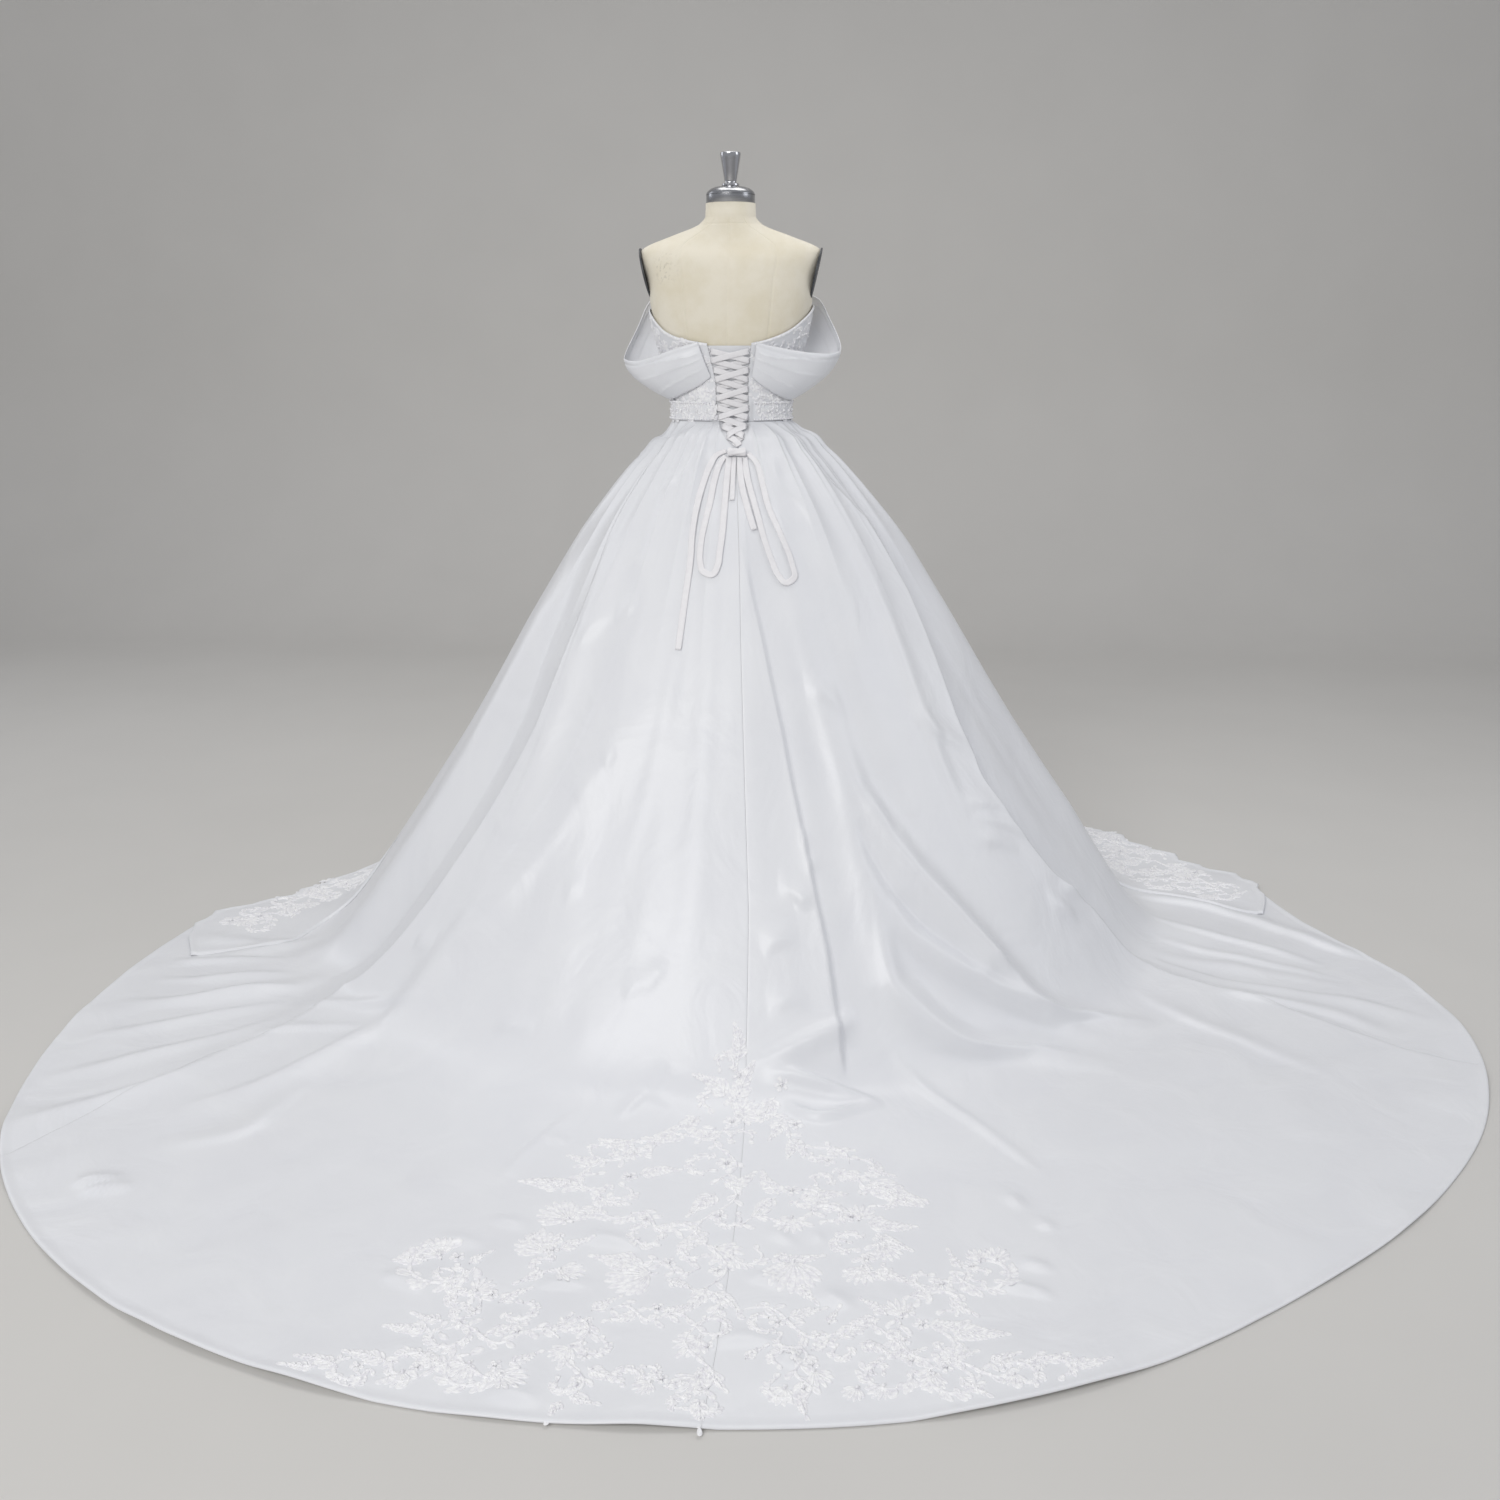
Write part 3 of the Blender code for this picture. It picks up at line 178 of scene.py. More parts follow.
# Bow: width of each ribbon end, then x and height along its route over the skirt
BOW_ROUTES: dict[str, tuple[float, Rows]] = {
    "bow_tail_left": (0.009, (
        (0.0023, 1.0089), (-0.0140, 1.0010), (-0.0260, 0.9790), (-0.0370, 0.9480), (-0.0460, 0.9110),
        (-0.0520, 0.8630), (-0.0530, 0.8180), (-0.0590, 0.7520), (-0.0670, 0.6650),
    )),
    "bow_loop_left": (0.009, (
        (0.0014, 0.9992), (-0.0080, 0.9850), (-0.0160, 0.9570), (-0.0230, 0.9120), (-0.0310, 0.8720),
        (-0.0355, 0.8340), (-0.0310, 0.8030), (-0.0170, 0.7880), (-0.0045, 0.7980), (0.0000, 0.8220),
        (0.0040, 0.8640), (0.0055, 0.9120), (0.0070, 0.9570), (0.0088, 0.9962),
    )),
    "bow_end_short": (0.007, ((0.0186, 0.9966), (0.0182, 0.9750), (0.0183, 0.9480), (0.0190, 0.9210))),
    "bow_tail_right": (0.009, (
        (0.0284, 0.9966), (0.0320, 0.9650), (0.0420, 0.9250), (0.0530, 0.8930), (0.0620, 0.8690),
    )),
    "bow_loop_right": (0.009, (
        (0.0386, 0.9964), (0.0440, 0.9650), (0.0570, 0.9250), (0.0680, 0.8930), (0.0760, 0.8690),
        (0.0960, 0.8190), (0.1120, 0.7880), (0.1260, 0.7760), (0.1370, 0.7830), (0.1330, 0.8070),
        (0.1120, 0.8540), (0.0870, 0.9070), (0.0720, 0.9550), (0.0600, 0.9880), (0.0434, 1.0038),
    )),
}

# Creases of the cloth: width on its left, width on its right, rows (radius, angle, height)
CREASES: Sequence[tuple[float, float, Rows]] = (
    (0.006, 0.030, ((0.15, -107.0, 0.000), (0.18, -108.5, 0.005), (0.21, -112.5, 0.006), (0.25, -127.0, 0.000))),
    (0.008, 0.020, ((0.28, -134.0, 0.000), (0.40, -129.0, 0.004), (0.55, -127.5, 0.005), (0.70, -131.0, 0.000))),
    (0.020, 0.012, ((0.49, -107.9, 0.000), (0.585, -116.6, 0.003), (0.665, -121.3, 0.004),
                    (0.752, -128.3, 0.006), (0.86, -131.5, 0.006), (1.00, -132.0, 0.000))),
    (0.022, 0.020, ((0.60, -93.0, 0.000), (0.663, -94.8, -0.002), (0.74, -99.4, -0.003), (0.80, -103.6, 0.000))),
    (0.006, 0.016, ((0.145, -57.0, 0.000), (0.17, -58.5, 0.006), (0.203, -61.7, 0.006), (0.246, -54.4, 0.004),
                    (0.33, -49.0, 0.000))),
    (0.007, 0.018, ((0.50, -63.0, 0.000), (0.553, -61.3, 0.004), (0.635, -56.1, 0.008), (0.727, -49.5, 0.010),
                    (0.773, -46.5, 0.006), (0.86, -43.0, 0.000))),
    (0.007, 0.018, ((0.62, -64.0, 0.000), (0.655, -63.6, 0.003), (0.755, -64.4, 0.006), (0.826, -57.9, 0.008),
                    (0.883, -48.6, 0.007), (0.97, -43.0, 0.000))),
    (0.006, 0.016, ((0.66, -61.0, 0.000), (0.703, -59.8, 0.004), (0.781, -50.2, 0.008), (0.884, -37.3, 0.008),
                    (0.98, -32.0, 0.000))),
    (0.008, 0.008, ((0.58, -63.0, 0.000), (0.617, -62.0, -0.004), (0.696, -56.6, -0.006), (0.775, -48.1, 0.000))),
    (0.008, 0.022, ((0.90, 6.0, 0.000), (0.942, 5.1, 0.006), (1.121, -0.7, 0.010), (1.196, -4.3, 0.010),
                    (1.297, -8.2, 0.008), (1.345, -9.0, 0.000))),
    (0.020, 0.008, ((0.90, -16.0, 0.000), (0.96, -17.2, 0.006), (1.035, -18.7, 0.008), (1.17, -18.7, 0.010),
                    (1.292, -18.5, 0.008), (1.43, -19.8, 0.000))),
    (0.010, 0.020, ((1.04, -22.3, 0.000), (1.084, -22.1, 0.006), (1.252, -21.8, 0.009), (1.381, -24.1, 0.000))),
    (0.008, 0.020, ((0.90, -26.5, 0.000), (1.00, -29.5, 0.006), (1.15, -31.5, 0.005), (1.32, -33.0, 0.000))),
    (0.008, 0.024, ((0.88, -133.5, 0.000), (0.95, -132.4, 0.008), (1.114, -131.1, 0.007), (1.25, -132.0, 0.000))),
    (0.020, 0.008, ((1.06, -128.4, 0.000), (1.11, -127.4, 0.005), (1.213, -125.4, 0.007), (1.33, -128.2, 0.000))),
    (0.005, 0.014, ((0.92, -149.0, 0.000), (1.00, -150.5, 0.007), (1.15, -152.0, 0.007), (1.27, -153.5, 0.000))),
    (0.005, 0.014, ((0.93, -153.0, 0.000), (1.02, -155.0, 0.006), (1.14, -156.5, 0.006), (1.23, -158.0, 0.000))),
    (0.005, 0.014, ((0.94, -157.5, 0.000), (1.03, -159.5, 0.007), (1.12, -160.5, 0.006), (1.19, -162.0, 0.000))),
    (0.005, 0.014, ((0.93, -162.0, 0.000), (1.01, -164.0, 0.005), (1.10, -165.5, 0.006), (1.16, -167.0, 0.000))),
    (0.006, 0.016, ((0.95, -146.0, 0.000), (1.05, -147.0, 0.007), (1.20, -147.5, 0.007), (1.36, -148.5, 0.000))),
    (0.006, 0.018, ((0.98, -142.5, 0.000), (1.10, -142.0, 0.007), (1.26, -142.5, 0.008), (1.42, -143.0, 0.000))),
    (0.006, 0.018, ((1.12, -138.0, 0.000), (1.22, -137.0, 0.006), (1.38, -137.5, 0.007), (1.49, -138.0, 0.000))),
    (0.005, 0.012, ((0.90, -3.0, 0.000), (1.00, -6.0, 0.006), (1.14, -9.5, 0.007), (1.27, -12.0, 0.000))),
    (0.005, 0.012, ((0.90, -9.0, 0.000), (1.00, -11.0, 0.005), (1.15, -13.0, 0.006), (1.30, -14.5, 0.000))),
    (0.012, 0.012, ((0.30, -98.0, 0.000), (0.45, -100.5, 0.003), (0.65, -103.5, 0.000))),
    (0.012, 0.012, ((0.28, -70.0, 0.000), (0.42, -66.0, 0.003), (0.60, -64.5, 0.004), (0.72, -66.0, 0.000))),
    (0.010, 0.016, ((0.34, -112.0, 0.000), (0.48, -117.0, 0.004), (0.62, -123.0, 0.004), (0.74, -131.0, 0.000))),
    (0.010, 0.014, ((0.24, -40.0, 0.000), (0.36, -38.0, 0.005), (0.52, -41.0, 0.006), (0.66, -42.0, 0.000))),
    (0.012, 0.006, ((0.822, -85.0, 0.000), (0.815, -82.5, 0.006), (0.803, -78.9, 0.013), (0.791, -74.9, 0.017),
                    (0.783, -71.8, 0.012), (0.772, -69.7, 0.000))),
    (0.010, 0.005, ((0.832, -82.4, 0.000), (0.832, -79.1, 0.012), (0.846, -76.3, 0.017), (0.872, -72.8, 0.014),
                    (0.903, -69.4, 0.000))),
    (0.006, 0.010, ((0.868, -80.0, 0.000), (0.900, -78.8, 0.010), (0.920, -77.0, 0.014), (0.911, -73.3, 0.011),
                    (0.904, -69.7, 0.000))),
)

# Short handling wrinkles: x and y of both ends, height
WRINKLES: Sequence[tuple[float, ...]] = (
    (-0.255, -0.325, -0.193, -0.32, 0.003), (-0.191, -0.333, -0.145, -0.327, 0.0024),
    (-0.192, -0.489, -0.169, -0.479, 0.0018), (-0.251, -0.502, -0.21, -0.507, 0.0018),
    (0.164, -0.412, 0.243, -0.409, 0.003), (0.354, -0.34, 0.417, -0.324, 0.003),
    (0.374, -0.346, 0.487, -0.297, 0.0036), (0.446, -0.397, 0.563, -0.31, 0.0039),
    (0.467, -0.401, 0.589, -0.325, 0.0039), (0.476, -0.424, 0.564, -0.365, 0.003),
    (0.64, -0.363, 0.737, -0.26, 0.0054), (0.626, -0.395, 0.684, -0.365, 0.0042),
    (0.275, -0.49, 0.324, -0.506, 0.003), (0.314, -0.572, 0.373, -0.565, 0.0024),
    (0.474, -0.604, 0.526, -0.556, 0.0042), (0.45, -0.584, 0.541, -0.565, 0.0036),
    (0.156, -0.64, 0.192, -0.627, 0.0036), (0.127, -0.626, 0.183, -0.637, 0.0036),
    (0.103, -0.695, 0.166, -0.674, 0.0039), (0.116, -0.753, 0.188, -0.736, 0.003),
    (-0.362, -0.731, -0.286, -0.748, 0.0036), (-0.132, -0.744, -0.087, -0.732, 0.0024),
    (-0.1, -0.742, -0.052, -0.717, 0.0024), (-0.548, -0.536, -0.503, -0.568, 0.0036),
    (0.161, -0.563, 0.183, -0.581, 0.003), (0.176, -0.582, 0.191, -0.601, 0.003),
    (-0.254, -0.612, -0.216, -0.611, 0.0021), (-0.117, -0.921, -0.074, -0.851, 0.003),
    (-0.074, -0.851, -0.041, -0.823, 0.0024), (-0.264, -1.196, -0.197, -1.217, 0.0028),
    (-0.125, -1.231, -0.023, -1.253, 0.0034), (-0.17, -1.338, -0.085, -1.332, 0.0028),
    (-0.378, -1.329, -0.306, -1.363, 0.0028), (-0.321, -1.244, -0.248, -1.262, 0.0025),
    (-0.22, -0.974, -0.186, -1.001, 0.0022), (0.077, -1.433, 0.169, -1.426, 0.0028),
    (-0.182, -1.542, -0.111, -1.55, 0.0028), (0.132, -1.195, 0.186, -1.233, 0.0028),
    (0.197, -1.21, 0.228, -1.208, 0.0022), (0.113, -1.296, 0.175, -1.321, 0.0034),
    (0.211, -1.331, 0.261, -1.356, 0.0028), (0.167, -1.454, 0.2, -1.462, 0.0028),
    (0.486, -1.082, 0.511, -1.125, 0.0022), (0.484, -1.248, 0.542, -1.262, 0.0028),
    (0.453, -1.297, 0.534, -1.318, 0.0034), (0.522, -1.156, 0.555, -1.167, 0.0025),
    (-0.908, -1.149, -0.828, -1.136, 0.0042), (-0.883, -1.173, -0.804, -1.155, 0.0034),
    (-0.091, -0.852, -0.001, -0.911, 0.0022), (-0.779, -0.569, -0.507, -0.633, 0.0034),
    (-0.826, -0.69, -0.598, -0.651, 0.0028), (0.308, -0.728, 0.57, -1.064, 0.0045),
    (-0.185, -0.892, -0.279, -1.12, 0.0039),
)

# Lace of the train: kind of motif, then x and y of its foot and of its tip
LACE_MOTIFS: Sequence[tuple[str, float, float, float, float]] = (
    ("fern", 0.070, -0.813, 0.064, -0.779), ("curl", 0.062, -0.823, 0.033, -0.811),
    ("flower", 0.068, -0.837, 0.080, -0.821), ("fern", 0.060, -0.856, 0.008, -0.835),
    ("fern", 0.074, -0.864, 0.094, -0.818), ("scroll", 0.065, -0.880, 0.008, -0.867),
    ("fan", 0.076, -0.901, 0.113, -0.868), ("flower", 0.062, -0.928, 0.076, -0.901),
    ("fern", 0.055, -0.962, 0.001, -0.932), ("curl", 0.077, -0.975, 0.108, -0.942),
    ("vine", 0.065, -0.864, 0.065, -1.071), ("scroll", 0.051, -1.019, 0.021, -1.064),
    ("flower", 0.062, -1.045, 0.076, -1.017), ("fern", 0.073, -1.097, 0.109, -1.058),
    ("fern", 0.059, -1.110, 0.029, -1.160), ("curl", 0.072, -1.157, 0.106, -1.183),
    ("flower", 0.062, -1.177, 0.075, -1.152), ("vine", 0.065, -1.071, 0.065, -1.327),
    ("fan", 0.071, -1.241, 0.109, -1.265), ("scroll", 0.058, -1.228, 0.032, -1.270),
    ("curl", 0.097, -1.239, 0.145, -1.262), ("flower", 0.070, -1.297, 0.083, -1.279),
    ("fern", 0.068, -1.326, 0.043, -1.372), ("fern", 0.074, -1.334, 0.108, -1.364),
    ("vine", 0.065, -1.327, 0.073, -1.529), ("scroll", 0.069, -1.390, 0.097, -1.422),
    ("fan", 0.067, -1.424, 0.042, -1.455), ("flower", 0.072, -1.446, 0.083, -1.430),
    ("fern", 0.070, -1.478, 0.102, -1.510), ("fan", 0.072, -1.495, 0.048, -1.527),
    ("flower", 0.072, -1.525, 0.083, -1.511), ("fern", 0.076, -1.535, 0.082, -1.576),
    ("curl", 0.078, -1.535, 0.105, -1.546), ("curl", 0.066, -1.536, 0.047, -1.553),
    ("flower", 0.135, -0.842, 0.154, -0.828), ("fern", 0.136, -0.855, 0.119, -0.903),
    ("curl", 0.123, -0.867, 0.106, -0.904), ("vine", 0.043, -0.935, -0.083, -1.000),
    ("fern", 0.015, -0.905, -0.027, -0.940), ("flower", 0.001, -0.927, 0.011, -0.905),
    ("fern", -0.019, -0.950, -0.058, -0.998), ("scroll", -0.041, -0.986, -0.089, -1.022),
    ("fern", -0.077, -0.999, -0.127, -0.980), ("flower", -0.085, -1.028, -0.070, -1.004),
    ("curl", -0.111, -1.024, -0.153, -0.999), ("fern", -0.120, -1.041, -0.169, -1.028),
    ("vine", -0.083, -1.000, -0.176, -1.103), ("fern", -0.060, -1.069, -0.007, -1.055),
    ("flower", -0.082, -1.086, -0.067, -1.064), ("scroll", -0.099, -1.098, -0.151, -1.075),
    ("fern", -0.139, -1.111, -0.190, -1.094), ("fern", -0.169, -1.108, -0.227, -1.099),
    ("curl", -0.114, -1.114, -0.053, -1.120), ("scroll", -0.047, -1.165, -0.111, -1.134),
    ("fern", -0.106, -1.159, -0.150, -1.191), ("fan", -0.145, -1.190, -0.187, -1.154),
    ("flower", -0.157, -1.201, -0.143, -1.181), ("scroll", -0.152, -1.224, -0.195, -1.240),
    ("fan", -0.164, -1.265, -0.201, -1.227), ("flower", -0.160, -1.269, -0.150, -1.251),
    ("fern", -0.145, -1.259, -0.110, -1.239), ("curl", -0.147, -1.281, -0.168, -1.313),
    ("fern", -0.156, -1.304, -0.184, -1.327), ("fan", -0.137, -1.302, -0.099, -1.313),
    ("vine", -0.058, -1.170, 0.046, -1.220), ("scroll", -0.026, -1.192, -0.021, -1.247),
    ("scroll", -0.004, -1.223, 0.044, -1.201), ("flower", -0.043, -1.188, -0.028, -1.173),
    ("fern", 0.016, -1.249, 0.047, -1.229), ("vine", 0.053, -1.286, -0.071, -1.285),
    ("fern", -0.031, -1.274, -0.090, -1.269), ("fan", -0.013, -1.303, -0.073, -1.323),
    ("flower", 0.003, -1.285, 0.015, -1.266), ("fern", 0.012, -1.314, 0.044, -1.328),
    ("scroll", -0.252, -1.306, -0.356, -1.273), ("fan", -0.308, -1.283, -0.334, -1.245),
    ("flower", -0.289, -1.291, -0.277, -1.273), ("fern", -0.322, -1.293, -0.358, -1.295),
    ("curl", -0.300, -1.313, -0.257, -1.319), ("fern", -0.262, -1.298, -0.243, -1.275),
    ("vine", -0.301, -1.309, -0.226, -1.386), ("scroll", -0.246, -1.360, -0.270, -1.381),
    ("fan", -0.239, -1.355, -0.221, -1.329), ("flower", -0.223, -1.366, -0.211, -1.349),
    ("fern", -0.203, -1.373, -0.174, -1.347), ("scroll", -0.190, -1.392, -0.149, -1.373),
    ("curl", -0.239, -1.387, -0.251, -1.411), ("flower", -0.236, -1.399, -0.227, -1.382),
    ("fern", -0.280, -1.428, -0.329, -1.428), ("fern", -0.267, -1.412, -0.301, -1.403),
    ("scroll", -0.229, -1.425, -0.283, -1.447), ("flower", -0.250, -1.426, -0.238, -1.410),
    ("vine", -0.265, -1.435, -0.110, -1.436), ("fern", -0.201, -1.434, -0.166, -1.417),
    ("flower", -0.172, -1.436, -0.160, -1.420), ("fern", -0.137, -1.430, -0.107, -1.413),
    ("scroll", -0.173, -1.497, -0.251, -1.485), ("fan", -0.212, -1.489, -0.226, -1.522),
    ("flower", -0.185, -1.498, -0.174, -1.483), ("fern", -0.249, -1.492, -0.291, -1.470),
    ("scroll", -0.259, -1.503, -0.318, -1.497), ("flower", -0.281, -1.505, -0.270, -1.490),
    ("fan", -0.290, -1.509, -0.298, -1.536), ("fern", -0.315, -1.493, -0.364, -1.482),
    ("scroll", -0.330, -1.508, -0.383, -1.501), ("flower", -0.353, -1.513, -0.343, -1.498),
    ("fern", -0.375, -1.507, -0.420, -1.496), ("fern", -0.396, -1.512, -0.434, -1.511),
    ("curl", -0.366, -1.521, -0.330, -1.528), ("fan", -0.170, -1.508, -0.132, -1.522),
    ("vine", -0.148, -1.496, -0.314, -1.510), ("fern", -0.163, -1.486, -0.135, -1.467),
    ("vine", -0.092, -1.397, -0.076, -1.538), ("scroll", -0.082, -1.396, -0.116, -1.410),
    ("fern", -0.078, -1.384, -0.051, -1.359), ("flower", -0.088, -1.416, -0.076, -1.400),
    ("scroll", -0.079, -1.437, -0.041, -1.453), ("fan", -0.094, -1.453, -0.112, -1.479),
    ("flower", -0.078, -1.473, -0.065, -1.458), ("fern", -0.065, -1.487, -0.028, -1.502),
    ("scroll", -0.079, -1.505, -0.102, -1.527), ("flower", -0.080, -1.525, -0.068, -1.511),
    ("fern", -0.078, -1.538, -0.050, -1.546), ("fern", -0.086, -1.546, -0.094, -1.572),
    ("vine", -0.053, -1.379, 0.051, -1.391), ("fern", -0.016, -1.384, -0.050, -1.398),
    ("flower", -0.000, -1.379, 0.013, -1.362), ("fern", 0.016, -1.386, 0.048, -1.364),
    ("scroll", 0.002, -1.506, -0.034, -1.499), ("fan", 0.015, -1.509, 0.000, -1.530),
    ("flower", 0.022, -1.508, 0.035, -1.494), ("fern", 0.032, -1.515, 0.060, -1.503),
    ("curl", 0.000, -1.496, 0.020, -1.478), ("vine", 0.112, -0.894, 0.258, -1.021),
    ("fern", 0.148, -0.901, 0.134, -0.952), ("flower", 0.162, -0.927, 0.180, -0.904),
    ("fern", 0.179, -0.954, 0.165, -1.000), ("scroll", 0.189, -0.970, 0.242, -0.995),
    ("fern", 0.220, -0.980, 0.255, -0.983), ("flower", 0.215, -1.024, 0.233, -1.001),
    ("scroll", 0.239, -1.033, 0.304, -1.018), ("fern", 0.285, -1.025, 0.318, -1.044),
    ("vine", 0.243, -1.049, 0.331, -1.095), ("flower", 0.255, -1.064, 0.273, -1.042),
    ("fern", 0.288, -1.067, 0.363, -1.108), ("scroll", 0.275, -1.099, 0.325, -1.125),
    ("fern", 0.308, -1.096, 0.354, -1.118), ("curl", 0.228, -1.076, 0.200, -1.057),
    ("fern", 0.154, -1.107, 0.130, -1.057), ("flower", 0.163, -1.106, 0.180, -1.085),
    ("scroll", 0.172, -1.121, 0.213, -1.088), ("fern", 0.184, -1.115, 0.243, -1.101),
    ("fern", 0.149, -1.117, 0.124, -1.153), ("vine", 0.106, -1.183, 0.243, -1.145),
    ("fan", 0.174, -1.164, 0.167, -1.202), ("scroll", 0.202, -1.143, 0.252, -1.164),
    ("flower", 0.252, -1.164, 0.269, -1.144), ("fan", 0.272, -1.158, 0.278, -1.123),
    ("fern", 0.283, -1.167, 0.343, -1.172), ("scroll", 0.277, -1.204, 0.238, -1.234),
    ("fern", 0.300, -1.203, 0.335, -1.223), ("flower", 0.294, -1.212, 0.311, -1.193),
    ("fan", 0.305, -1.221, 0.317, -1.255), ("curl", 0.257, -1.233, 0.240, -1.207),
    ("vine", 0.294, -1.212, 0.273, -1.292), ("fan", 0.274, -1.271, 0.265, -1.309),
    ("fern", 0.287, -1.279, 0.332, -1.297), ("scroll", 0.284, -1.266, 0.314, -1.281),
    ("flower", 0.274, -1.258, 0.288, -1.240), ("fan", 0.180, -1.264, 0.180, -1.331),
    ("fern", 0.175, -1.260, 0.213, -1.249), ("curl", 0.175, -1.260, 0.156, -1.261),
    ("fern", 0.190, -1.310, 0.210, -1.341), ("scroll", 0.401, -1.275, 0.484, -1.253),
    ("fan", 0.436, -1.243, 0.430, -1.217), ("fan", 0.458, -1.241, 0.466, -1.210),
    ("flower", 0.415, -1.266, 0.433, -1.247), ("fern", 0.410, -1.262, 0.398, -1.232),
    ("curl", 0.447, -1.272, 0.416, -1.287), ("vine", 0.414, -1.274, 0.341, -1.329),
    ("scroll", 0.377, -1.302, 0.344, -1.279), ("flower", 0.372, -1.306, 0.389, -1.289),
    ("fern", 0.363, -1.311, 0.339, -1.325), ("scroll", 0.357, -1.328, 0.408, -1.348),
    ("fern", 0.389, -1.325, 0.416, -1.351), ("fan", 0.324, -1.365, 0.318, -1.330),
    ("fern", 0.306, -1.366, 0.278, -1.341), ("flower", 0.324, -1.365, 0.341, -1.349),
    ("fern", 0.296, -1.375, 0.259, -1.389), ("vine", 0.316, -1.370, 0.314, -1.437),
    ("scroll", 0.321, -1.396, 0.402, -1.420), ("fern", 0.385, -1.388, 0.450, -1.391),
    ("flower", 0.341, -1.387, 0.358, -1.371), ("fern", 0.359, -1.382, 0.401, -1.372),
    ("curl", 0.370, -1.411, 0.404, -1.424), ("flower", 0.317, -1.418, 0.333, -1.403),
    ("vine", 0.111, -1.372, 0.315, -1.415), ("scroll", 0.162, -1.403, 0.135, -1.374),
    ("flower", 0.157, -1.396, 0.172, -1.379), ("fern", 0.179, -1.379, 0.218, -1.361),
    ("scroll", 0.193, -1.408, 0.164, -1.436), ("fern", 0.231, -1.387, 0.241, -1.363),
    ("flower", 0.209, -1.418, 0.224, -1.402), ("fern", 0.244, -1.412, 0.277, -1.391),
    ("curl", 0.257, -1.430, 0.232, -1.442), ("fern", 0.269, -1.422, 0.307, -1.437),
    ("scroll", 0.333, -1.464, 0.266, -1.475), ("curl", 0.286, -1.474, 0.301, -1.459),
    ("fan", 0.298, -1.494, 0.283, -1.515), ("fan", 0.266, -1.499, 0.254, -1.520),
    ("flower", 0.326, -1.454, 0.341, -1.439), ("fern", 0.314, -1.444, 0.344, -1.428),
    ("scroll", 0.355, -1.462, 0.418, -1.489), ("fan", 0.359, -1.472, 0.353, -1.503),
    ("flower", 0.367, -1.465, 0.383, -1.450), ("fern", 0.375, -1.451, 0.409, -1.431),
    ("fern", 0.391, -1.474, 0.419, -1.502), ("scroll", 0.440, -1.464, 0.492, -1.477),
    ("flower", 0.438, -1.457, 0.455, -1.442), ("fern", 0.430, -1.447, 0.461, -1.431),
    ("fern", 0.479, -1.447, 0.519, -1.434), ("scroll", 0.489, -1.460, 0.536, -1.454),
    ("fern", 0.527, -1.447, 0.571, -1.434), ("fan", 0.456, -1.469, 0.447, -1.490),
    ("vine", 0.355, -1.466, 0.527, -1.447), ("vine", 0.194, -1.434, 0.204, -1.520),
    ("fern", 0.209, -1.437, 0.239, -1.416), ("scroll", 0.190, -1.463, 0.155, -1.455),
    ("flower", 0.203, -1.469, 0.217, -1.454), ("fan", 0.213, -1.475, 0.230, -1.501),
    ("scroll", 0.196, -1.494, 0.151, -1.510), ("fan", 0.179, -1.505, 0.169, -1.535),
    ("flower", 0.194, -1.510, 0.208, -1.496), ("fern", 0.197, -1.520, 0.205, -1.546),
    ("fern", 0.128, -1.460, 0.147, -1.441),
)

# Lines of the lace nodes: name, then x and y of start and end
LACE_LINES: Sequence[tuple[str, float, float, float, float]] = (
    ("lace_stem", 0.084, -0.935, 0.080, -1.545), ("lace_arm_left", 0.010, -1.060, -0.225, -1.150),
    ("lace_arm_right", 0.150, -1.060, 0.375, -1.135), ("lace_spray_left", 0.018, -1.300, -0.360, -1.290),
    ("lace_spray_right", 0.145, -1.290, 0.490, -1.250), ("lace_hem_left", 0.012, -1.500, -0.440, -1.470),
    ("lace_hem_right", 0.150, -1.490, 0.560, -1.405),
)


def srgb(code: str) -> tuple[float, float, float, float]:
    """Turn an sRGB hex value into a linear colour.

    Args:
        code: Six hex digits after a hash sign.

    Returns:
        Red, green, blue and an alpha of one.
    """
    parts = [int(code[k:k + 2], 16) / 255 for k in (1, 3, 5)]
    linear = [p / 12.92 if p <= 0.04045 else ((p + 0.055) / 1.055) ** 2.4 for p in parts]
    return linear[0], linear[1], linear[2], 1.0


def add_node(tree: bpy.types.NodeTree, kind: str, inputs: dict[Any, Any] | None = None,
             **settings: Any) -> bpy.types.Node:
    """Add one node with its settings and links.

    Args:
        tree: Node tree that receives the node.
        kind: Node type.
        inputs: Values by socket name or number; a (node, output) pair is linked.
        settings: Properties of the node.

    Returns:
        The new node.
    """
    node = tree.nodes.new(kind)
    for name, value in settings.items():
        setattr(node, name, value)
    for key, value in (inputs or {}).items():
        if isinstance(value, tuple) and isinstance(value[0], bpy.types.Node):
            tree.links.new(value[0].outputs[value[1]], node.inputs[key])
        else:
            node.inputs[key].default_value = value
    return node


def from_rows(rows: Rows, at: Any, column: int = 1) -> Array:
    """Interpolate one column of a table in straight steps."""
    return np.interp(at, [row[0] for row in rows], [row[column] for row in rows])


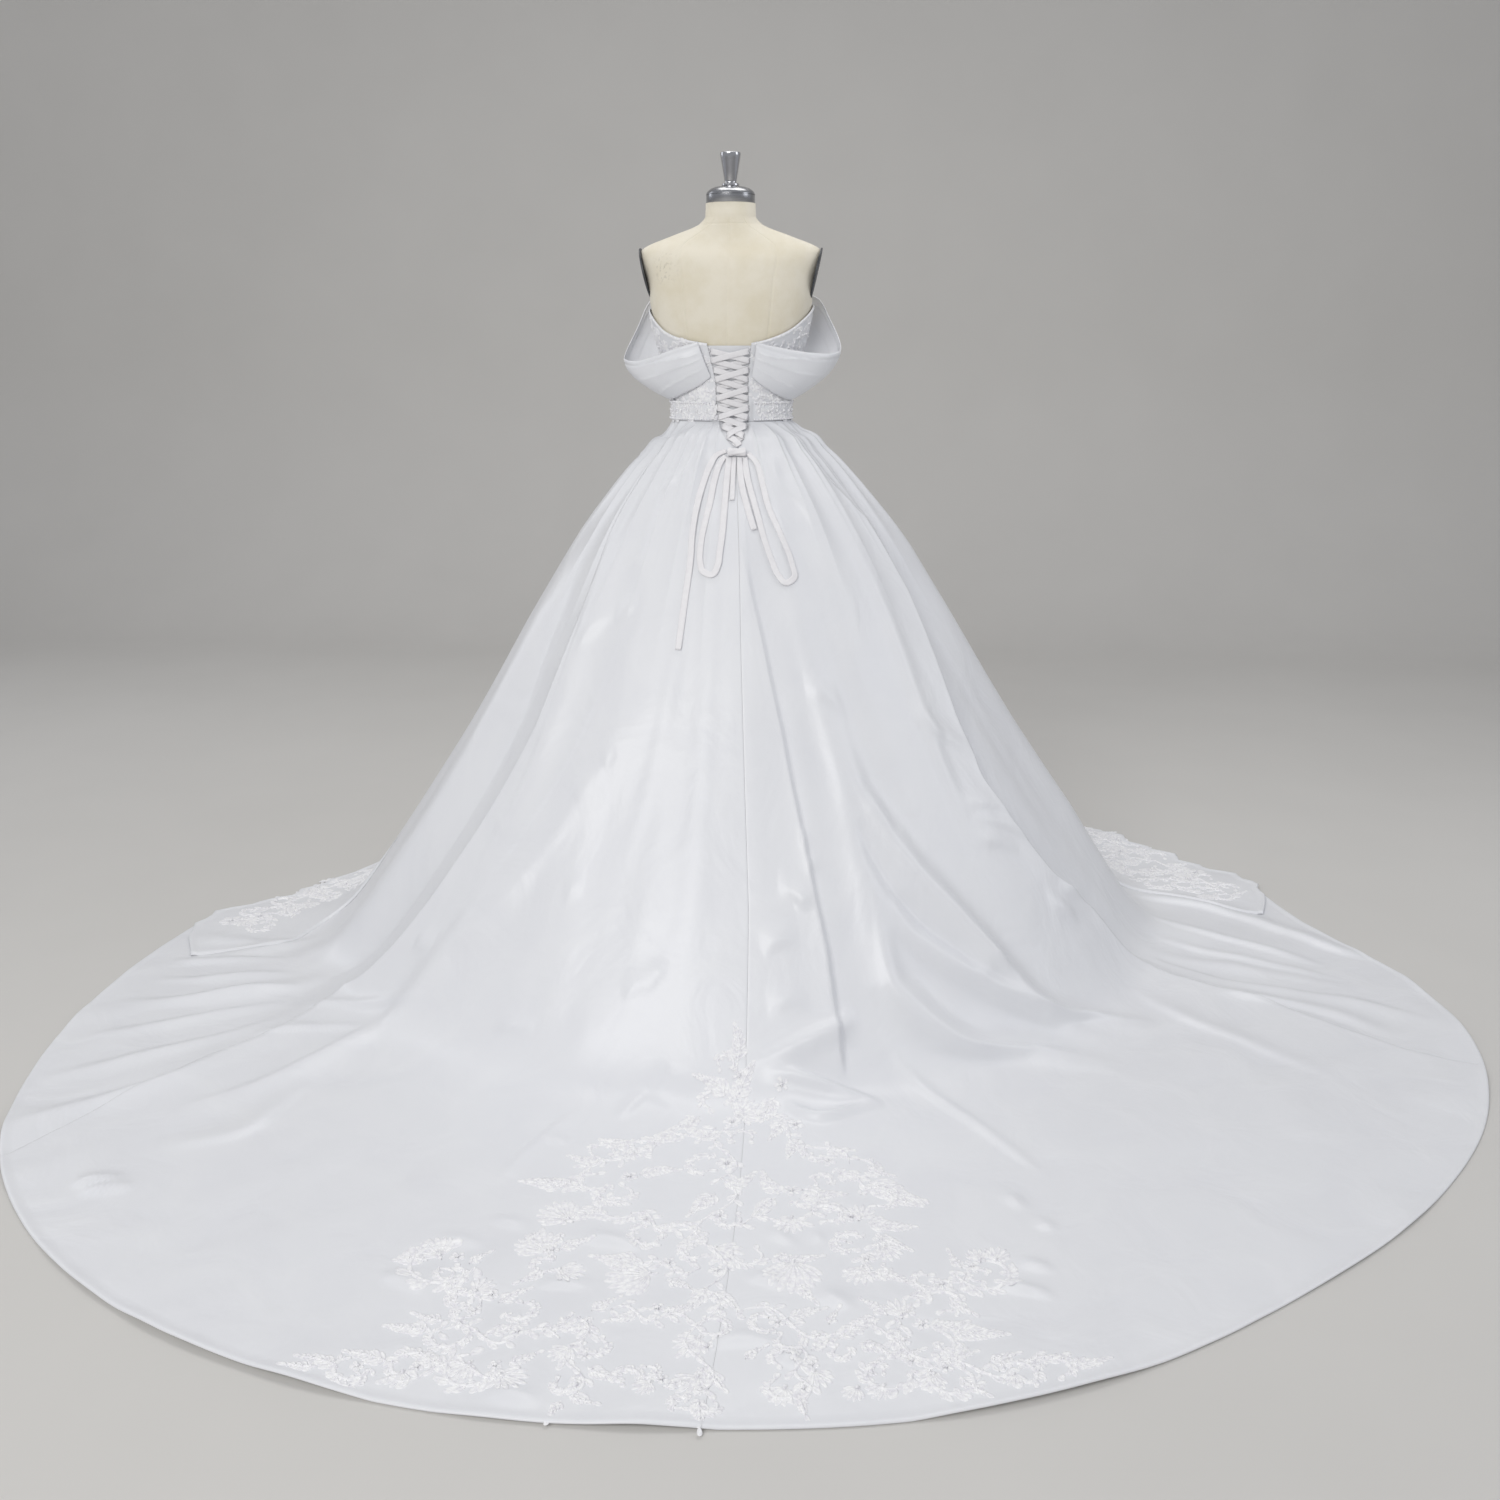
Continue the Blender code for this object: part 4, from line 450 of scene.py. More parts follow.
def smooth_rows(rows: Rows, at: Any, column: int = 1) -> Array:
    """Interpolate one column of a table smoothly, through all of its rows.

    Args:
        rows: Table whose first column rises.
        at: Values of the first column.
        column: Column that is read.

    Returns:
        The column's values, held at the ends of the table.
    """
    keys = np.array([row[0] for row in rows], float)
    values = np.array([row[column] for row in rows], float)
    slopes = np.gradient(values, keys)
    at = np.clip(np.asarray(at, float), keys[0], keys[-1])
    k = np.clip(np.searchsorted(keys, at, side="right") - 1, 0, len(keys) - 2)
    span = keys[k + 1] - keys[k]
    u = (at - keys[k]) / span
    ends = values[k] * (2 * u**3 - 3 * u**2 + 1) + values[k + 1] * (3 * u**2 - 2 * u**3)
    bends = slopes[k] * (u**3 - 2 * u**2 + u) + slopes[k + 1] * (u**3 - u**2)
    return ends + bends * span


def ease(low: float, high: float, at: Any) -> Array:
    """Rise smoothly from 0 at low to 1 at high."""
    u = np.clip((np.asarray(at, float) - low) / (high - low), 0, 1)
    return u * u * (3 - 2 * u)


def smooth_line(points: Any, count: int) -> Array:
    """Space points evenly on a smooth curve through the given ones.

    Args:
        points: Points that the curve passes through.
        count: Number of points that are wanted.

    Returns:
        The points of the curve, one a row.
    """
    points = np.array(points, float)
    steps = np.linalg.norm(np.diff(points, axis=0), axis=1)
    along = np.concatenate([[0], np.cumsum(steps)])
    fine = np.linspace(0, along[-1], 40 * len(points))
    rows = np.column_stack([along, points])
    curve = np.column_stack([smooth_rows(rows, fine, k) for k in range(1, points.shape[1] + 1)])
    steps = np.linalg.norm(np.diff(curve, axis=0), axis=1)
    along = np.concatenate([[0], np.cumsum(steps)])
    at = np.linspace(0, along[-1], count)
    return np.column_stack([np.interp(at, along, curve[:, k]) for k in range(points.shape[1])])


class ClothNoise:
    """Smooth random heights between -1 and 1, the same on each run."""

    def __init__(self, seed: int) -> None:
        """Fill the lattice from a fixed seed."""
        self.table = np.random.default_rng(seed).uniform(-1, 1, (64, 64))

    def at(self, x: Array, y: Array) -> Array:
        """Read the heights at places counted in lattice steps.

        Args:
            x: Places across.
            y: Places along.

        Returns:
            The heights.
        """
        x, y = np.broadcast_arrays(np.asarray(x, float), np.asarray(y, float))
        i, j = np.floor(x).astype(int), np.floor(y).astype(int)
        u, v = x - i, y - j
        u, v = u * u * (3 - 2 * u), v * v * (3 - 2 * v)
        i, j, m, n = i % 64, j % 64, (i + 1) % 64, (j + 1) % 64
        low = self.table[j, i] * (1 - u) + self.table[j, m] * u
        high = self.table[n, i] * (1 - u) + self.table[n, m] * u
        return low * (1 - v) + high * v


def deselect() -> None:
    """Leave object mode's selection empty."""
    for thing in list(bpy.context.selected_objects):
        thing.select_set(False)


def take(name: str) -> bpy.types.Object:
    """Name the object that an operator has just made."""
    made = bpy.context.object
    made.name = name
    made.data.name = name
    return made


def pick(thing: bpy.types.Object) -> None:
    """Make one object the only selected and active one."""
    deselect()
    thing.select_set(True)
    bpy.context.view_layer.objects.active = thing


def cloth_grid(name: str, points: Array, uvs: Array, flip: bool = False) -> bpy.types.Object:
    """Lay a sheet through a table of points.

    Args:
        name: Name of the piece.
        points: Rows by columns of points, in metres.
        uvs: Rows by columns of places on the flat cloth, in metres.
        flip: Turn the face of the sheet round.

    Returns:
        The sheet, at the origin.
    """
    rows, columns = points.shape[:2]
    deselect()
    bpy.ops.mesh.primitive_grid_add(x_subdivisions=columns - 1, y_subdivisions=rows - 1, size=2)
    sheet = take(name)
    mesh = sheet.data
    mesh.vertices.foreach_set("co", points.reshape(-1).astype(np.float32))
    corners = np.zeros(len(mesh.loops), np.int32)
    mesh.loops.foreach_get("vertex_index", corners)
    flat = uvs.reshape(-1, 2)[corners]
    mesh.uv_layers.active.data.foreach_set("uv", flat.reshape(-1).astype(np.float32))
    if flip:
        mesh.flip_normals()
    mesh.shade_smooth()
    mesh.update()
    return sheet


def flat_places(points: Array) -> Array:
    """Measure a sheet along its rows and columns, as places on the flat cloth."""
    across = np.linalg.norm(np.diff(points, axis=1), axis=-1)
    down = np.linalg.norm(np.diff(points, axis=0), axis=-1)
    u = np.concatenate([np.zeros((points.shape[0], 1)), np.cumsum(across, axis=1)], axis=1)
    v = np.concatenate([np.zeros((1, points.shape[1])), np.cumsum(down, axis=0)], axis=0)
    return np.stack([u - u[:, -1:] / 2, v], axis=-1)


def finish_with(thing: bpy.types.Object, kind: str, **settings: Any) -> None:
    """Add one modifier to a piece and apply it."""
    pick(thing)
    modifier = thing.modifiers.new(kind.title(), kind)
    for name, value in settings.items():
        setattr(modifier, name, value)
    bpy.ops.object.modifier_apply(modifier=modifier.name)


def weld(thing: bpy.types.Object, outwards: bool = True) -> None:
    """Merge a piece's doubled points and turn its faces outwards."""
    pick(thing)
    bpy.ops.object.mode_set(mode="EDIT")
    bpy.ops.mesh.select_all(action="SELECT")
    bpy.ops.mesh.remove_doubles(threshold=0.00002)
    if outwards:
        bpy.ops.mesh.normals_make_consistent(inside=False)
    bpy.ops.object.mode_set(mode="OBJECT")


def turned(name: str, profile: Rows, steps: int) -> bpy.types.Object:
    """Turn a solid from a disc, extruded and resized ring by ring.

    Args:
        name: Name of the piece.
        profile: Radius and height of each ring, from the bottom up.
        steps: Number of sides.

    Returns:
        The closed solid.
    """
    deselect()
    radius, height = profile[0]
    bpy.ops.mesh.primitive_circle_add(vertices=steps, radius=radius, fill_type="NGON", location=(0, 0, height))
    made = take(name)
    bpy.ops.object.transform_apply(location=True, rotation=False, scale=False)
    bpy.ops.object.mode_set(mode="EDIT")
    bpy.ops.mesh.select_all(action="SELECT")
    for reach, level in profile[1:]:
        bpy.ops.mesh.extrude_region_move(TRANSFORM_OT_translate={"value": (0, 0, level - height)})
        bpy.ops.transform.resize(value=(reach / radius, reach / radius, 1), center_override=(0, 0, level))
        radius, height = reach, level
    bpy.ops.object.mode_set(mode="OBJECT")
    weld(made)
    made.data.shade_smooth()
    pick(made)
    bpy.ops.object.shade_smooth_by_angle(angle=math.radians(38))
    return made


@dataclass
class TorsoSurface:
    """The dress form's surface, shared by all that lies on it."""

    sections: Rows = TORSO_SECTIONS
    gap: Rows = LACING_GAP

    def axes(self, height: Any) -> list[Array]:
        """Half width and depths of the torso at these heights."""
        return [smooth_rows(self.sections, height, k) for k in (1, 2, 3)]

    def point(self, angle: Any, height: Any, offset: Any) -> Array:
        """Find points round the torso.

        Args:
            angle: Degrees round the form, 0 at +X and -90 at the back.
            height: Height over the floor.
            offset: Distance out of the linen.

        Returns:
            The points.
        """
        half, back, front = self.axes(height)
        turn = np.radians(angle)
        depth = np.where(np.sin(turn) < 0, back, front)
        x = (half + offset) * np.cos(turn)
        y = (depth + offset) * np.sin(turn)
        return np.stack(np.broadcast_arrays(x, y, height), axis=-1)

    def angle(self, x: Any, height: Any, offset: float = CLOTH_OFFSET) -> Array:
        """Angle at the back of the torso where its surface has this x."""
        half = self.axes(height)[0] + offset
        return -np.degrees(np.arccos(np.clip(x / half, -1, 1)))

    def gap_edge(self, height: Any, side: int) -> Array:
        """Angle of the bodice edge beside the lacing."""
        x = smooth_rows(self.gap, height, 1) + side * smooth_rows(self.gap, height, 2)
        return self.angle(x, np.asarray(height, float))


@dataclass
class SkirtSurface:
    """The skirt's surface, with all of its folds, shared by all that lies on it."""

    torso: TorsoSurface = field(default_factory=TorsoSurface)
    floor_blend: float = 0.035
    gathers: int = 28
    gather_height: float = 0.007

    def __post_init__(self) -> None:
        """Prepare the swell of the cone, its unrolled length and the noise."""
        self.falls = np.linspace(0, 3, 1501)
        self.shares = self.falls + smooth_rows(SWELL, self.falls)
        self.soft = ClothNoise(11)
        self.fine = ClothNoise(23)
        self.lines = [(low, high, smooth_line([(r * math.cos(math.radians(a)), r * math.sin(math.radians(a)), h)
                                               for r, a, h in rows], 5 * len(rows)))
                      for low, high, rows in CREASES]
        for x0, y0, x1, y1, height in WRINKLES:
            bow = 0.06 * math.hypot(x1 - x0, y1 - y0)
            height *= 2.3 if math.hypot(x0, y0) > 0.92 else 1.4
            line = [(x0, y0, 0.0), ((2 * x0 + x1) / 3, (2 * y0 + y1) / 3 + bow, height),
                    ((x0 + 2 * x1) / 3, (y0 + 2 * y1) / 3 + bow, 0.8 * height), (x1, y1, 0.0)]
            self.lines.append((0.0055, 0.0105, smooth_line(line, 9)))
        radii = np.linspace(0.60, 0.95, 176)
        slope = np.gradient(self.cone_height(-86.0, radii), radii)
        length = np.concatenate([[0], np.cumsum(np.sqrt(1 + slope[1:]**2) * np.diff(radii))])
        self.unrolled = np.concatenate([0.95 - length[-1] + length, [1.8]])
        self.rolled = np.concatenate([radii, [1.8]])

    def waist_radius(self, turn: Any) -> Array:
        """Radius of the waist at a turn in radians."""
        half, back, front = self.torso.axes(WAIST_HEIGHT)
        depth = np.where(np.sin(turn) < 0, back, front) + CLOTH_OFFSET
        return 1 / np.sqrt((np.cos(turn) / (half + CLOTH_OFFSET)) ** 2 + (np.sin(turn) / depth) ** 2)

    def foot(self, angle: Any) -> Array:
        """Radius where the cone would meet the floor."""
        return smooth_rows(CONE_FEET, (np.asarray(angle, float) + 180) % 360 - 180)

    def cone_radius(self, angle: Any, height: Any) -> Array:
        """Radius of the plain cone at a height."""
        waist = self.waist_radius(np.radians(angle))
        fall = np.clip((WAIST_HEIGHT - np.asarray(height, float)) / WAIST_HEIGHT, 0, 1)
        return waist + (self.foot(angle) - waist) * np.interp(fall, self.falls, self.shares)

    def cone_height(self, angle: Any, radius: Any) -> Array:
        """Height of the plain cloth, which rounds from the cone on to the floor."""
        waist = self.waist_radius(np.radians(angle))
        share = np.maximum((radius - waist) / (self.foot(angle) - waist), 0)
        line = WAIST_HEIGHT * (1 - np.interp(share, self.shares, self.falls)) / self.floor_blend
        soft = np.log1p(np.exp(np.minimum(line, 30)))
        return self.floor_blend * np.where(line > 30, line, soft)

    def fold_height(self, angle: Any, radius: Any) -> Array:
        """How far the large folds stand out of the plain cloth."""
        wrapped = (np.asarray(angle, float) + 180) % 360 - 180
        total = np.zeros(np.broadcast(wrapped, radius).shape)
        for k, (path, width, heights) in enumerate(RIDGES):
            away = np.radians(wrapped - from_rows(path, radius)) * radius
            share = 0.55 if k < 2 else 1.0
            total += share * from_rows(heights, radius) * np.exp(-0.5 * (away / width) ** 2)
        for path, side, width, wall, crests, recesses in EDGES:
            away = np.radians(wrapped - from_rows(path, radius)) * radius * side - 0.010
            crest, recess = from_rows(crests, radius), from_rows(recesses, radius)
            back = crest * np.exp(-np.maximum(away, 0) / width)
            share = np.clip(-away / wall, 0, 1)
            front = crest - (crest + recess) * (1 - (1 - share) ** 1.3)
            beyond = -recess * np.exp(-0.5 * (np.minimum(away + wall, 0) / 0.045) ** 2)
            total += np.where(away > 0, back, np.where(away > -wall, front, beyond))
        near = np.abs(wrapped - from_rows(SEAM_CENTRE, radius))
        calm = np.maximum(ease(11, 24, near), ease(0.21, 0.29, radius))
        wave = np.abs(np.sin(np.radians(wrapped) * self.gathers / 2 + 0.9 * np.sin(np.radians(3 * wrapped))))
        shrink = ease(0.13, 0.17, radius) * ease(0.46, 0.20, radius)
        return (total + self.gather_height * (1 - wave) * shrink) * calm

    def waist_draw(self, angle: Array, radius: Array) -> Array:
        """How far the sides are drawn in under the belt, with the gathers there."""
        wrapped = (np.asarray(angle, float) + 180) % 360 - 180
        left = ease(62, 20, np.abs(np.abs(wrapped) - 180))
        right = ease(62, 20, np.abs(wrapped))
        reach = radius - self.waist_radius(np.radians(wrapped))
        inward = smooth_rows(((0.0, 0.0), (0.012, 0.010), (0.035, 0.026), (0.060, 0.022), (0.100, 0.013),
                              (0.150, 0.008), (0.220, 0.003), (0.300, 0.0)), reach)
        phase = np.radians(wrapped) * 17 + 1.5 * np.sin(np.radians(4 * wrapped + 25)) + 0.6 * self.soft.at(
            wrapped / 14 + 40, 0.5)
        pleat = np.abs(np.sin(phase)) ** 0.55
        depth = 0.0105 * (0.50 + 0.45 * self.fine.at(wrapped / 11 + 50, 0.5)) * (0.6 - pleat)
        along = ease(0.004, 0.020, reach) * ease(0.26, 0.05, reach)
        calm = ease(9, 17, np.abs(wrapped + 83))
        return depth * along * calm - inward * np.maximum(left, 0.55 * right)

    def crease_height(self, angle: Array, radius: Array) -> Array:
        """How far the finer creases stand out of the large folds.

        Args:
            angle: Degrees round the pole.
            radius: Distance from the pole.

        Returns:
            Heights in metres, below zero in a trough.
        """
        wrapped = (np.asarray(angle, float) + 180) % 360 - 180
        turn = np.radians(wrapped)
        x, y = radius * np.cos(turn), radius * np.sin(turn)
        total = np.zeros(x.shape)
        for low, high, line in self.lines:
            total += ridge_profile(x, y, line, low, high)
        cone = ease(0.95, 0.70, radius)
        folds = self.fine.at(wrapped / 7.5 + 40, radius * 2.2) * ease(0.18, 0.34, radius)
        folds += 0.5 * self.soft.at(wrapped / 3.4 + 60, radius * 3.5) * ease(0.30, 0.50, radius)
        total += 0.0030 * folds * cone
        along, across = x * 0.80 + y * 0.60, y * 0.80 - x * 0.60
        ripple = self.fine.at(across / 0.075 + 20, along / 0.30) + 0.55 * self.soft.at(x / 0.055 + 9, y / 0.13)
        total += 0.0024 * ripple * ease(0.86, 1.02, radius)
        return total + self.waist_draw(angle, radius)

    def hem(self, angle: Any) -> Array:
        """Radius of the hem all round, with the front's where it lies on top."""
        wrapped = (np.asarray(angle, float) + 180) % 360 - 180
        front = (wrapped > 9) | (wrapped < -171)
        return np.where(front, smooth_rows(FRONT_HEM, wrapped % 360), smooth_rows(TRAIN_HEM, wrapped))

    def lift(self, angle: Any, radius: Any) -> Array:
        """How far the hem stands off the floor in its uneven waves."""
        wrapped = (np.asarray(angle, float) + 180) % 360 - 180
        wave = self.soft.at(wrapped / 9.0 + 30, 0.5) + 0.5 * self.fine.at(wrapped / 4.0 + 80, 0.5)
        calm = ease(5, 14, np.abs(wrapped - 7)) * ease(8, 20, np.abs(np.abs(wrapped) - 176))
        near = ease(0.16, 0.0, self.hem(angle) - radius)
        return 0.0075 * np.maximum(wave + 0.15, 0) * calm * near

    def normal(self, angle: Any, radius: Any) -> Array:
        """Direction in which the folds stand out: sideways at the waist, up on the floor."""
        step = 0.002
        slope = (self.cone_height(angle, radius + step) - self.cone_height(angle, radius - step)) / (2 * step)
        size = np.sqrt(1 + slope**2)
        level = ease(0.000, 0.030, radius - self.waist_radius(np.radians(angle)))
        out = (1 - level) - slope / size * level
        rise = level / size
        size = np.sqrt(out**2 + rise**2)
        turn = np.radians(angle)
        return np.stack([np.cos(turn) * out / size, np.sin(turn) * out / size, rise / size], axis=-1)

    def point(self, angle: Any, radius: Any, offset: Any, plain: bool = False) -> Array:
        """Find points of the skirt.

        Args:
            angle: Degrees round the pole.
            radius: Distance from the pole in plan.
            offset: Distance out of the cloth's under side.
            plain: Leave the finer creases out.

        Returns:
            The points.
        """
        angle, radius = np.broadcast_arrays(np.asarray(angle, float), np.asarray(radius, float))
        turn = np.radians(angle)
        level = self.cone_height(angle, radius)
        base = np.stack([radius * np.cos(turn), radius * np.sin(turn), level], axis=-1)
        normal = self.normal(angle, radius)
        height = self.fold_height(angle, radius)
        if not plain:
            height = height + self.crease_height(angle, radius) + self.lift(angle, radius)
        under = base + normal * height[..., None]
        under[..., 2] = np.maximum(under[..., 2], 0) + FLOOR_CLEARANCE
        return under + normal * np.asarray(offset)[..., None]

    def place(self, x: Any, height: Any) -> tuple[Array, Array]:
        """Angle and radius of the plain skirt at the back, from x and height."""
        angle = np.full(np.broadcast(x, height).shape, -90.0)
        for _ in range(4):
            radius = self.cone_radius(angle, height)
            angle = np.degrees(np.arctan2(-np.sqrt(np.maximum(radius**2 - x**2, 1e-9)), x))
        return angle, radius

    def back_point(self, x: Any, height: Any, offset: Any) -> Array:
        """Points over the back: the torso down to the waist, then the slope of the skirt."""
        x, height = np.broadcast_arrays(np.asarray(x, float), np.asarray(height, float))
        upper = np.maximum(height, WAIST_HEIGHT)
        turn = self.torso.angle(x, upper, 0.0)
        body = self.torso.point(turn, upper, 0.0)
        angle, radius = self.place(x, height)
        normal = self.normal(angle, radius)
        around = np.radians(angle)
        plain = np.stack([radius * np.cos(around), radius * np.sin(around), height], axis=-1)
        slope = plain - normal * CLOTH_OFFSET
        level = np.stack([np.cos(np.radians(turn)), np.sin(np.radians(turn)), np.zeros(x.shape)], axis=-1)
        mix = ease(WAIST_HEIGHT + 0.030, WAIST_HEIGHT - 0.040, height)[..., None]
        lean = level * (1 - mix) + normal * mix
        lean /= np.linalg.norm(lean, axis=-1, keepdims=True)
        base = np.where((height < WAIST_HEIGHT)[..., None], slope, body)
        return base + lean * np.asarray(offset)[..., None]

    def lacing_point(self, x: Any, height: Any, offset: Any) -> Array:
        """The same surface with the hollow at the waist eased, for the ribbon to bridge."""
        spread = np.linspace(-0.020, 0.020, 9)
        return np.mean([self.back_point(x, height + step, offset) - (0, 0, step) for step in spread], axis=0)

    def unroll(self, x: float, y: float) -> Array:
        """Place of a plan point on the cloth as if unrolled flat on the floor."""
        radius = math.hypot(x, y)
        reach = float(np.interp(radius, self.rolled, self.unrolled))
        return np.array([x, y]) * reach / radius

    def on_cloth(self, places: Array, base: float) -> Array:
        """Put a drawing on the skirt.

        Args:
            places: Unrolled x and y, and height over the cloth.
            base: Height of the cloth over its under side.

        Returns:
            The points on the skirt.
        """
        angle = np.degrees(np.arctan2(places[:, 1], places[:, 0]))
        radius = np.interp(np.hypot(places[:, 0], places[:, 1]), self.unrolled, self.rolled)
        return self.point(angle, radius, base + places[:, 2])


def ridge_profile(x: Array, y: Array, line: Array, low: float, high: float) -> Array:
    """Height of one crease over a table of plan places.

    Args:
        x: Plan x.
        y: Plan y.
        line: Points of the crest: x, y and height.
        low: Width on the right of its run.
        high: Width on the left of its run.

    Returns:
        The heights.
    """
    reach = 4 * max(low, high)
    total = np.zeros(x.shape)
    close = ((x > line[:, 0].min() - reach) & (x < line[:, 0].max() + reach)
             & (y > line[:, 1].min() - reach) & (y < line[:, 1].max() + reach))
    px, py = x[close], y[close]
    if px.size == 0:
        return total
    best = np.full(px.shape, 1e9)
    height = np.zeros(px.shape)
    side = np.zeros(px.shape)
    for (ax, ay, ah), (bx, by, bh) in zip(line[:-1], line[1:]):
        dx, dy = bx - ax, by - ay
        length = dx * dx + dy * dy
        share = np.clip(((px - ax) * dx + (py - ay) * dy) / length, 0, 1)
        away = np.hypot(px - ax - dx * share, py - ay - dy * share)
        nearer = away < best
        best = np.where(nearer, away, best)
        height = np.where(nearer, ah + (bh - ah) * share, height)
        side = np.where(nearer, dx * (py - ay) - dy * (px - ax), side)
    width = np.where(side > 0, high, low)
    total[close] = height * np.exp(-0.5 * (best / width) ** 2)
    return total


@dataclass(frozen=True)
class Finish:
    """What every finish states: its name and plain shader values."""

    name: str
    colour: str
    roughness: float
    metallic: float = 0.0
    sheen: float = 0.0
    specular: float = 0.5

    def start(self) -> tuple[bpy.types.Material, bpy.types.NodeTree, bpy.types.Node]:
        """Make the material with its plain values set.

        Returns:
            The material, its node tree and its shader.
        """
        made = bpy.data.materials.new(self.name)
        made.use_nodes = True
        shader = made.node_tree.nodes["Principled BSDF"]
        shader.inputs["Base Color"].default_value = srgb(self.colour)
        shader.inputs["Roughness"].default_value = self.roughness
        shader.inputs["Metallic"].default_value = self.metallic
        shader.inputs["Sheen Weight"].default_value = self.sheen
        shader.inputs["Specular IOR Level"].default_value = self.specular
        return made, made.node_tree, shader


@dataclass(frozen=True)
class DuchessSatin(Finish):
    """Heavy polyester duchess satin: a close weave with a soft broad shine and fine handling creases."""

    name: str = "ivory duchess satin"
    colour: str = "#EBECEF"
    roughness: float = 0.35
    sheen: float = 0.0
    specular: float = 0.55
    crease_scale: float = 9.0

    def build(self) -> bpy.types.Material:
        """Make the material on the cloth's own UV, in metres."""
        made, tree, shader = self.start()
        place = add_node(tree, "ShaderNodeTexCoord")
        # handling creases about 110 mm long and 30 mm across, and finer ones of 12 mm
        broad = add_node(tree, "ShaderNodeMapping", {"Vector": (place, "Object"), "Scale": (1.0, 1.0, 0.6)})
        soft = add_node(tree, "ShaderNodeTexNoise", {"Vector": (broad, "Vector"), "Scale": self.crease_scale,
                                                     "Detail": 3.0, "Roughness": 0.5, "Distortion": 0.8})
        fine = add_node(tree, "ShaderNodeTexNoise", {"Vector": (place, "Object"), "Scale": 70.0, "Detail": 2.0})
        # weave drawn at 1.6 mm, coarser than the 0.1 mm of the real threads, so that it shows at all
        weave = add_node(tree, "ShaderNodeTexNoise", {"Vector": (place, "Object"), "Scale": 620.0, "Detail": 1.0})
        first = add_node(tree, "ShaderNodeBump", {"Height": (soft, "Fac"), "Strength": 0.30, "Distance": 0.012})
        second = add_node(tree, "ShaderNodeBump", {"Height": (fine, "Fac"), "Normal": (first, "Normal"),
                                                   "Strength": 0.10, "Distance": 0.002})
        third = add_node(tree, "ShaderNodeBump", {"Height": (weave, "Fac"), "Normal": (second, "Normal"),
                                                  "Strength": 0.05, "Distance": 0.0004})
        tree.links.new(third.outputs["Normal"], shader.inputs["Normal"])
        gloss = add_node(tree, "ShaderNodeMapRange", {"Value": (soft, "Fac"), "To Min": self.roughness - 0.06,
                                                      "To Max": self.roughness + 0.08})
        tree.links.new(gloss.outputs["Result"], shader.inputs["Roughness"])
        tint = add_node(tree, "ShaderNodeValToRGB", {"Fac": (soft, "Fac")})
        tint.color_ramp.elements[0].color = srgb("#E8E9ED")
        tint.color_ramp.elements[1].color = srgb("#EFF0F2")
        tree.links.new(tint.outputs["Color"], shader.inputs["Base Color"])
        return made


@dataclass(frozen=True)
class SatinRibbon(Finish):
    """Double-faced satin ribbon: a fine rib across it and a bright narrow shine."""

    name: str = "ivory satin ribbon"
    colour: str = "#F3F2F3"
    roughness: float = 0.38
    sheen: float = 0.1

    def build(self) -> bpy.types.Material:
        """Make the material."""
        made, tree, shader = self.start()
        place = add_node(tree, "ShaderNodeTexCoord")
        soft = add_node(tree, "ShaderNodeTexNoise", {"Vector": (place, "Object"), "Scale": 90.0, "Detail": 2.0})
        rib = add_node(tree, "ShaderNodeTexNoise", {"Vector": (place, "Object"), "Scale": 900.0})
        first = add_node(tree, "ShaderNodeBump", {"Height": (soft, "Fac"), "Strength": 0.25, "Distance": 0.002})
        second = add_node(tree, "ShaderNodeBump", {"Height": (rib, "Fac"), "Normal": (first, "Normal"),
                                                   "Strength": 0.10, "Distance": 0.0004})
        tree.links.new(second.outputs["Normal"], shader.inputs["Normal"])
        tint = add_node(tree, "ShaderNodeValToRGB", {"Fac": (soft, "Fac")})
        tint.color_ramp.elements[0].color = srgb("#ECEAEC")
        tint.color_ramp.elements[1].color = srgb("#F7F6F7")
        tree.links.new(tint.outputs["Color"], shader.inputs["Base Color"])
        return made


@dataclass(frozen=True)
class CordedLace(Finish):
    """Corded rayon lace: matt white thread in close rows, a little darker between them."""

    name: str = "ivory corded lace"
    colour: str = "#F8F7FA"
    roughness: float = 0.60
    sheen: float = 0.3

    def build(self) -> bpy.types.Material:
        """Make the material."""
        made, tree, shader = self.start()
        place = add_node(tree, "ShaderNodeTexCoord")
        # thread rows drawn 1.4 mm apart, about twice the real spacing, so that they show
        thread = add_node(tree, "ShaderNodeTexVoronoi", {"Vector": (place, "Object"), "Scale": 700.0})
        soft = add_node(tree, "ShaderNodeTexNoise", {"Vector": (place, "Object"), "Scale": 160.0, "Detail": 3.0})
        first = add_node(tree, "ShaderNodeBump", {"Height": (thread, "Distance"), "Strength": 0.35,
                                                  "Distance": 0.0006})
        second = add_node(tree, "ShaderNodeBump", {"Height": (soft, "Fac"), "Normal": (first, "Normal"),
                                                   "Strength": 0.35, "Distance": 0.001})
        tree.links.new(second.outputs["Normal"], shader.inputs["Normal"])
        tint = add_node(tree, "ShaderNodeValToRGB", {"Fac": (soft, "Fac")})
        tint.color_ramp.elements[0].position = 0.30
        tint.color_ramp.elements[1].position = 0.62
        tint.color_ramp.elements[0].color = srgb("#ECEBF0")
        tint.color_ramp.elements[1].color = srgb("#FFFFFF")
        tree.links.new(tint.outputs["Color"], shader.inputs["Base Color"])
        return made


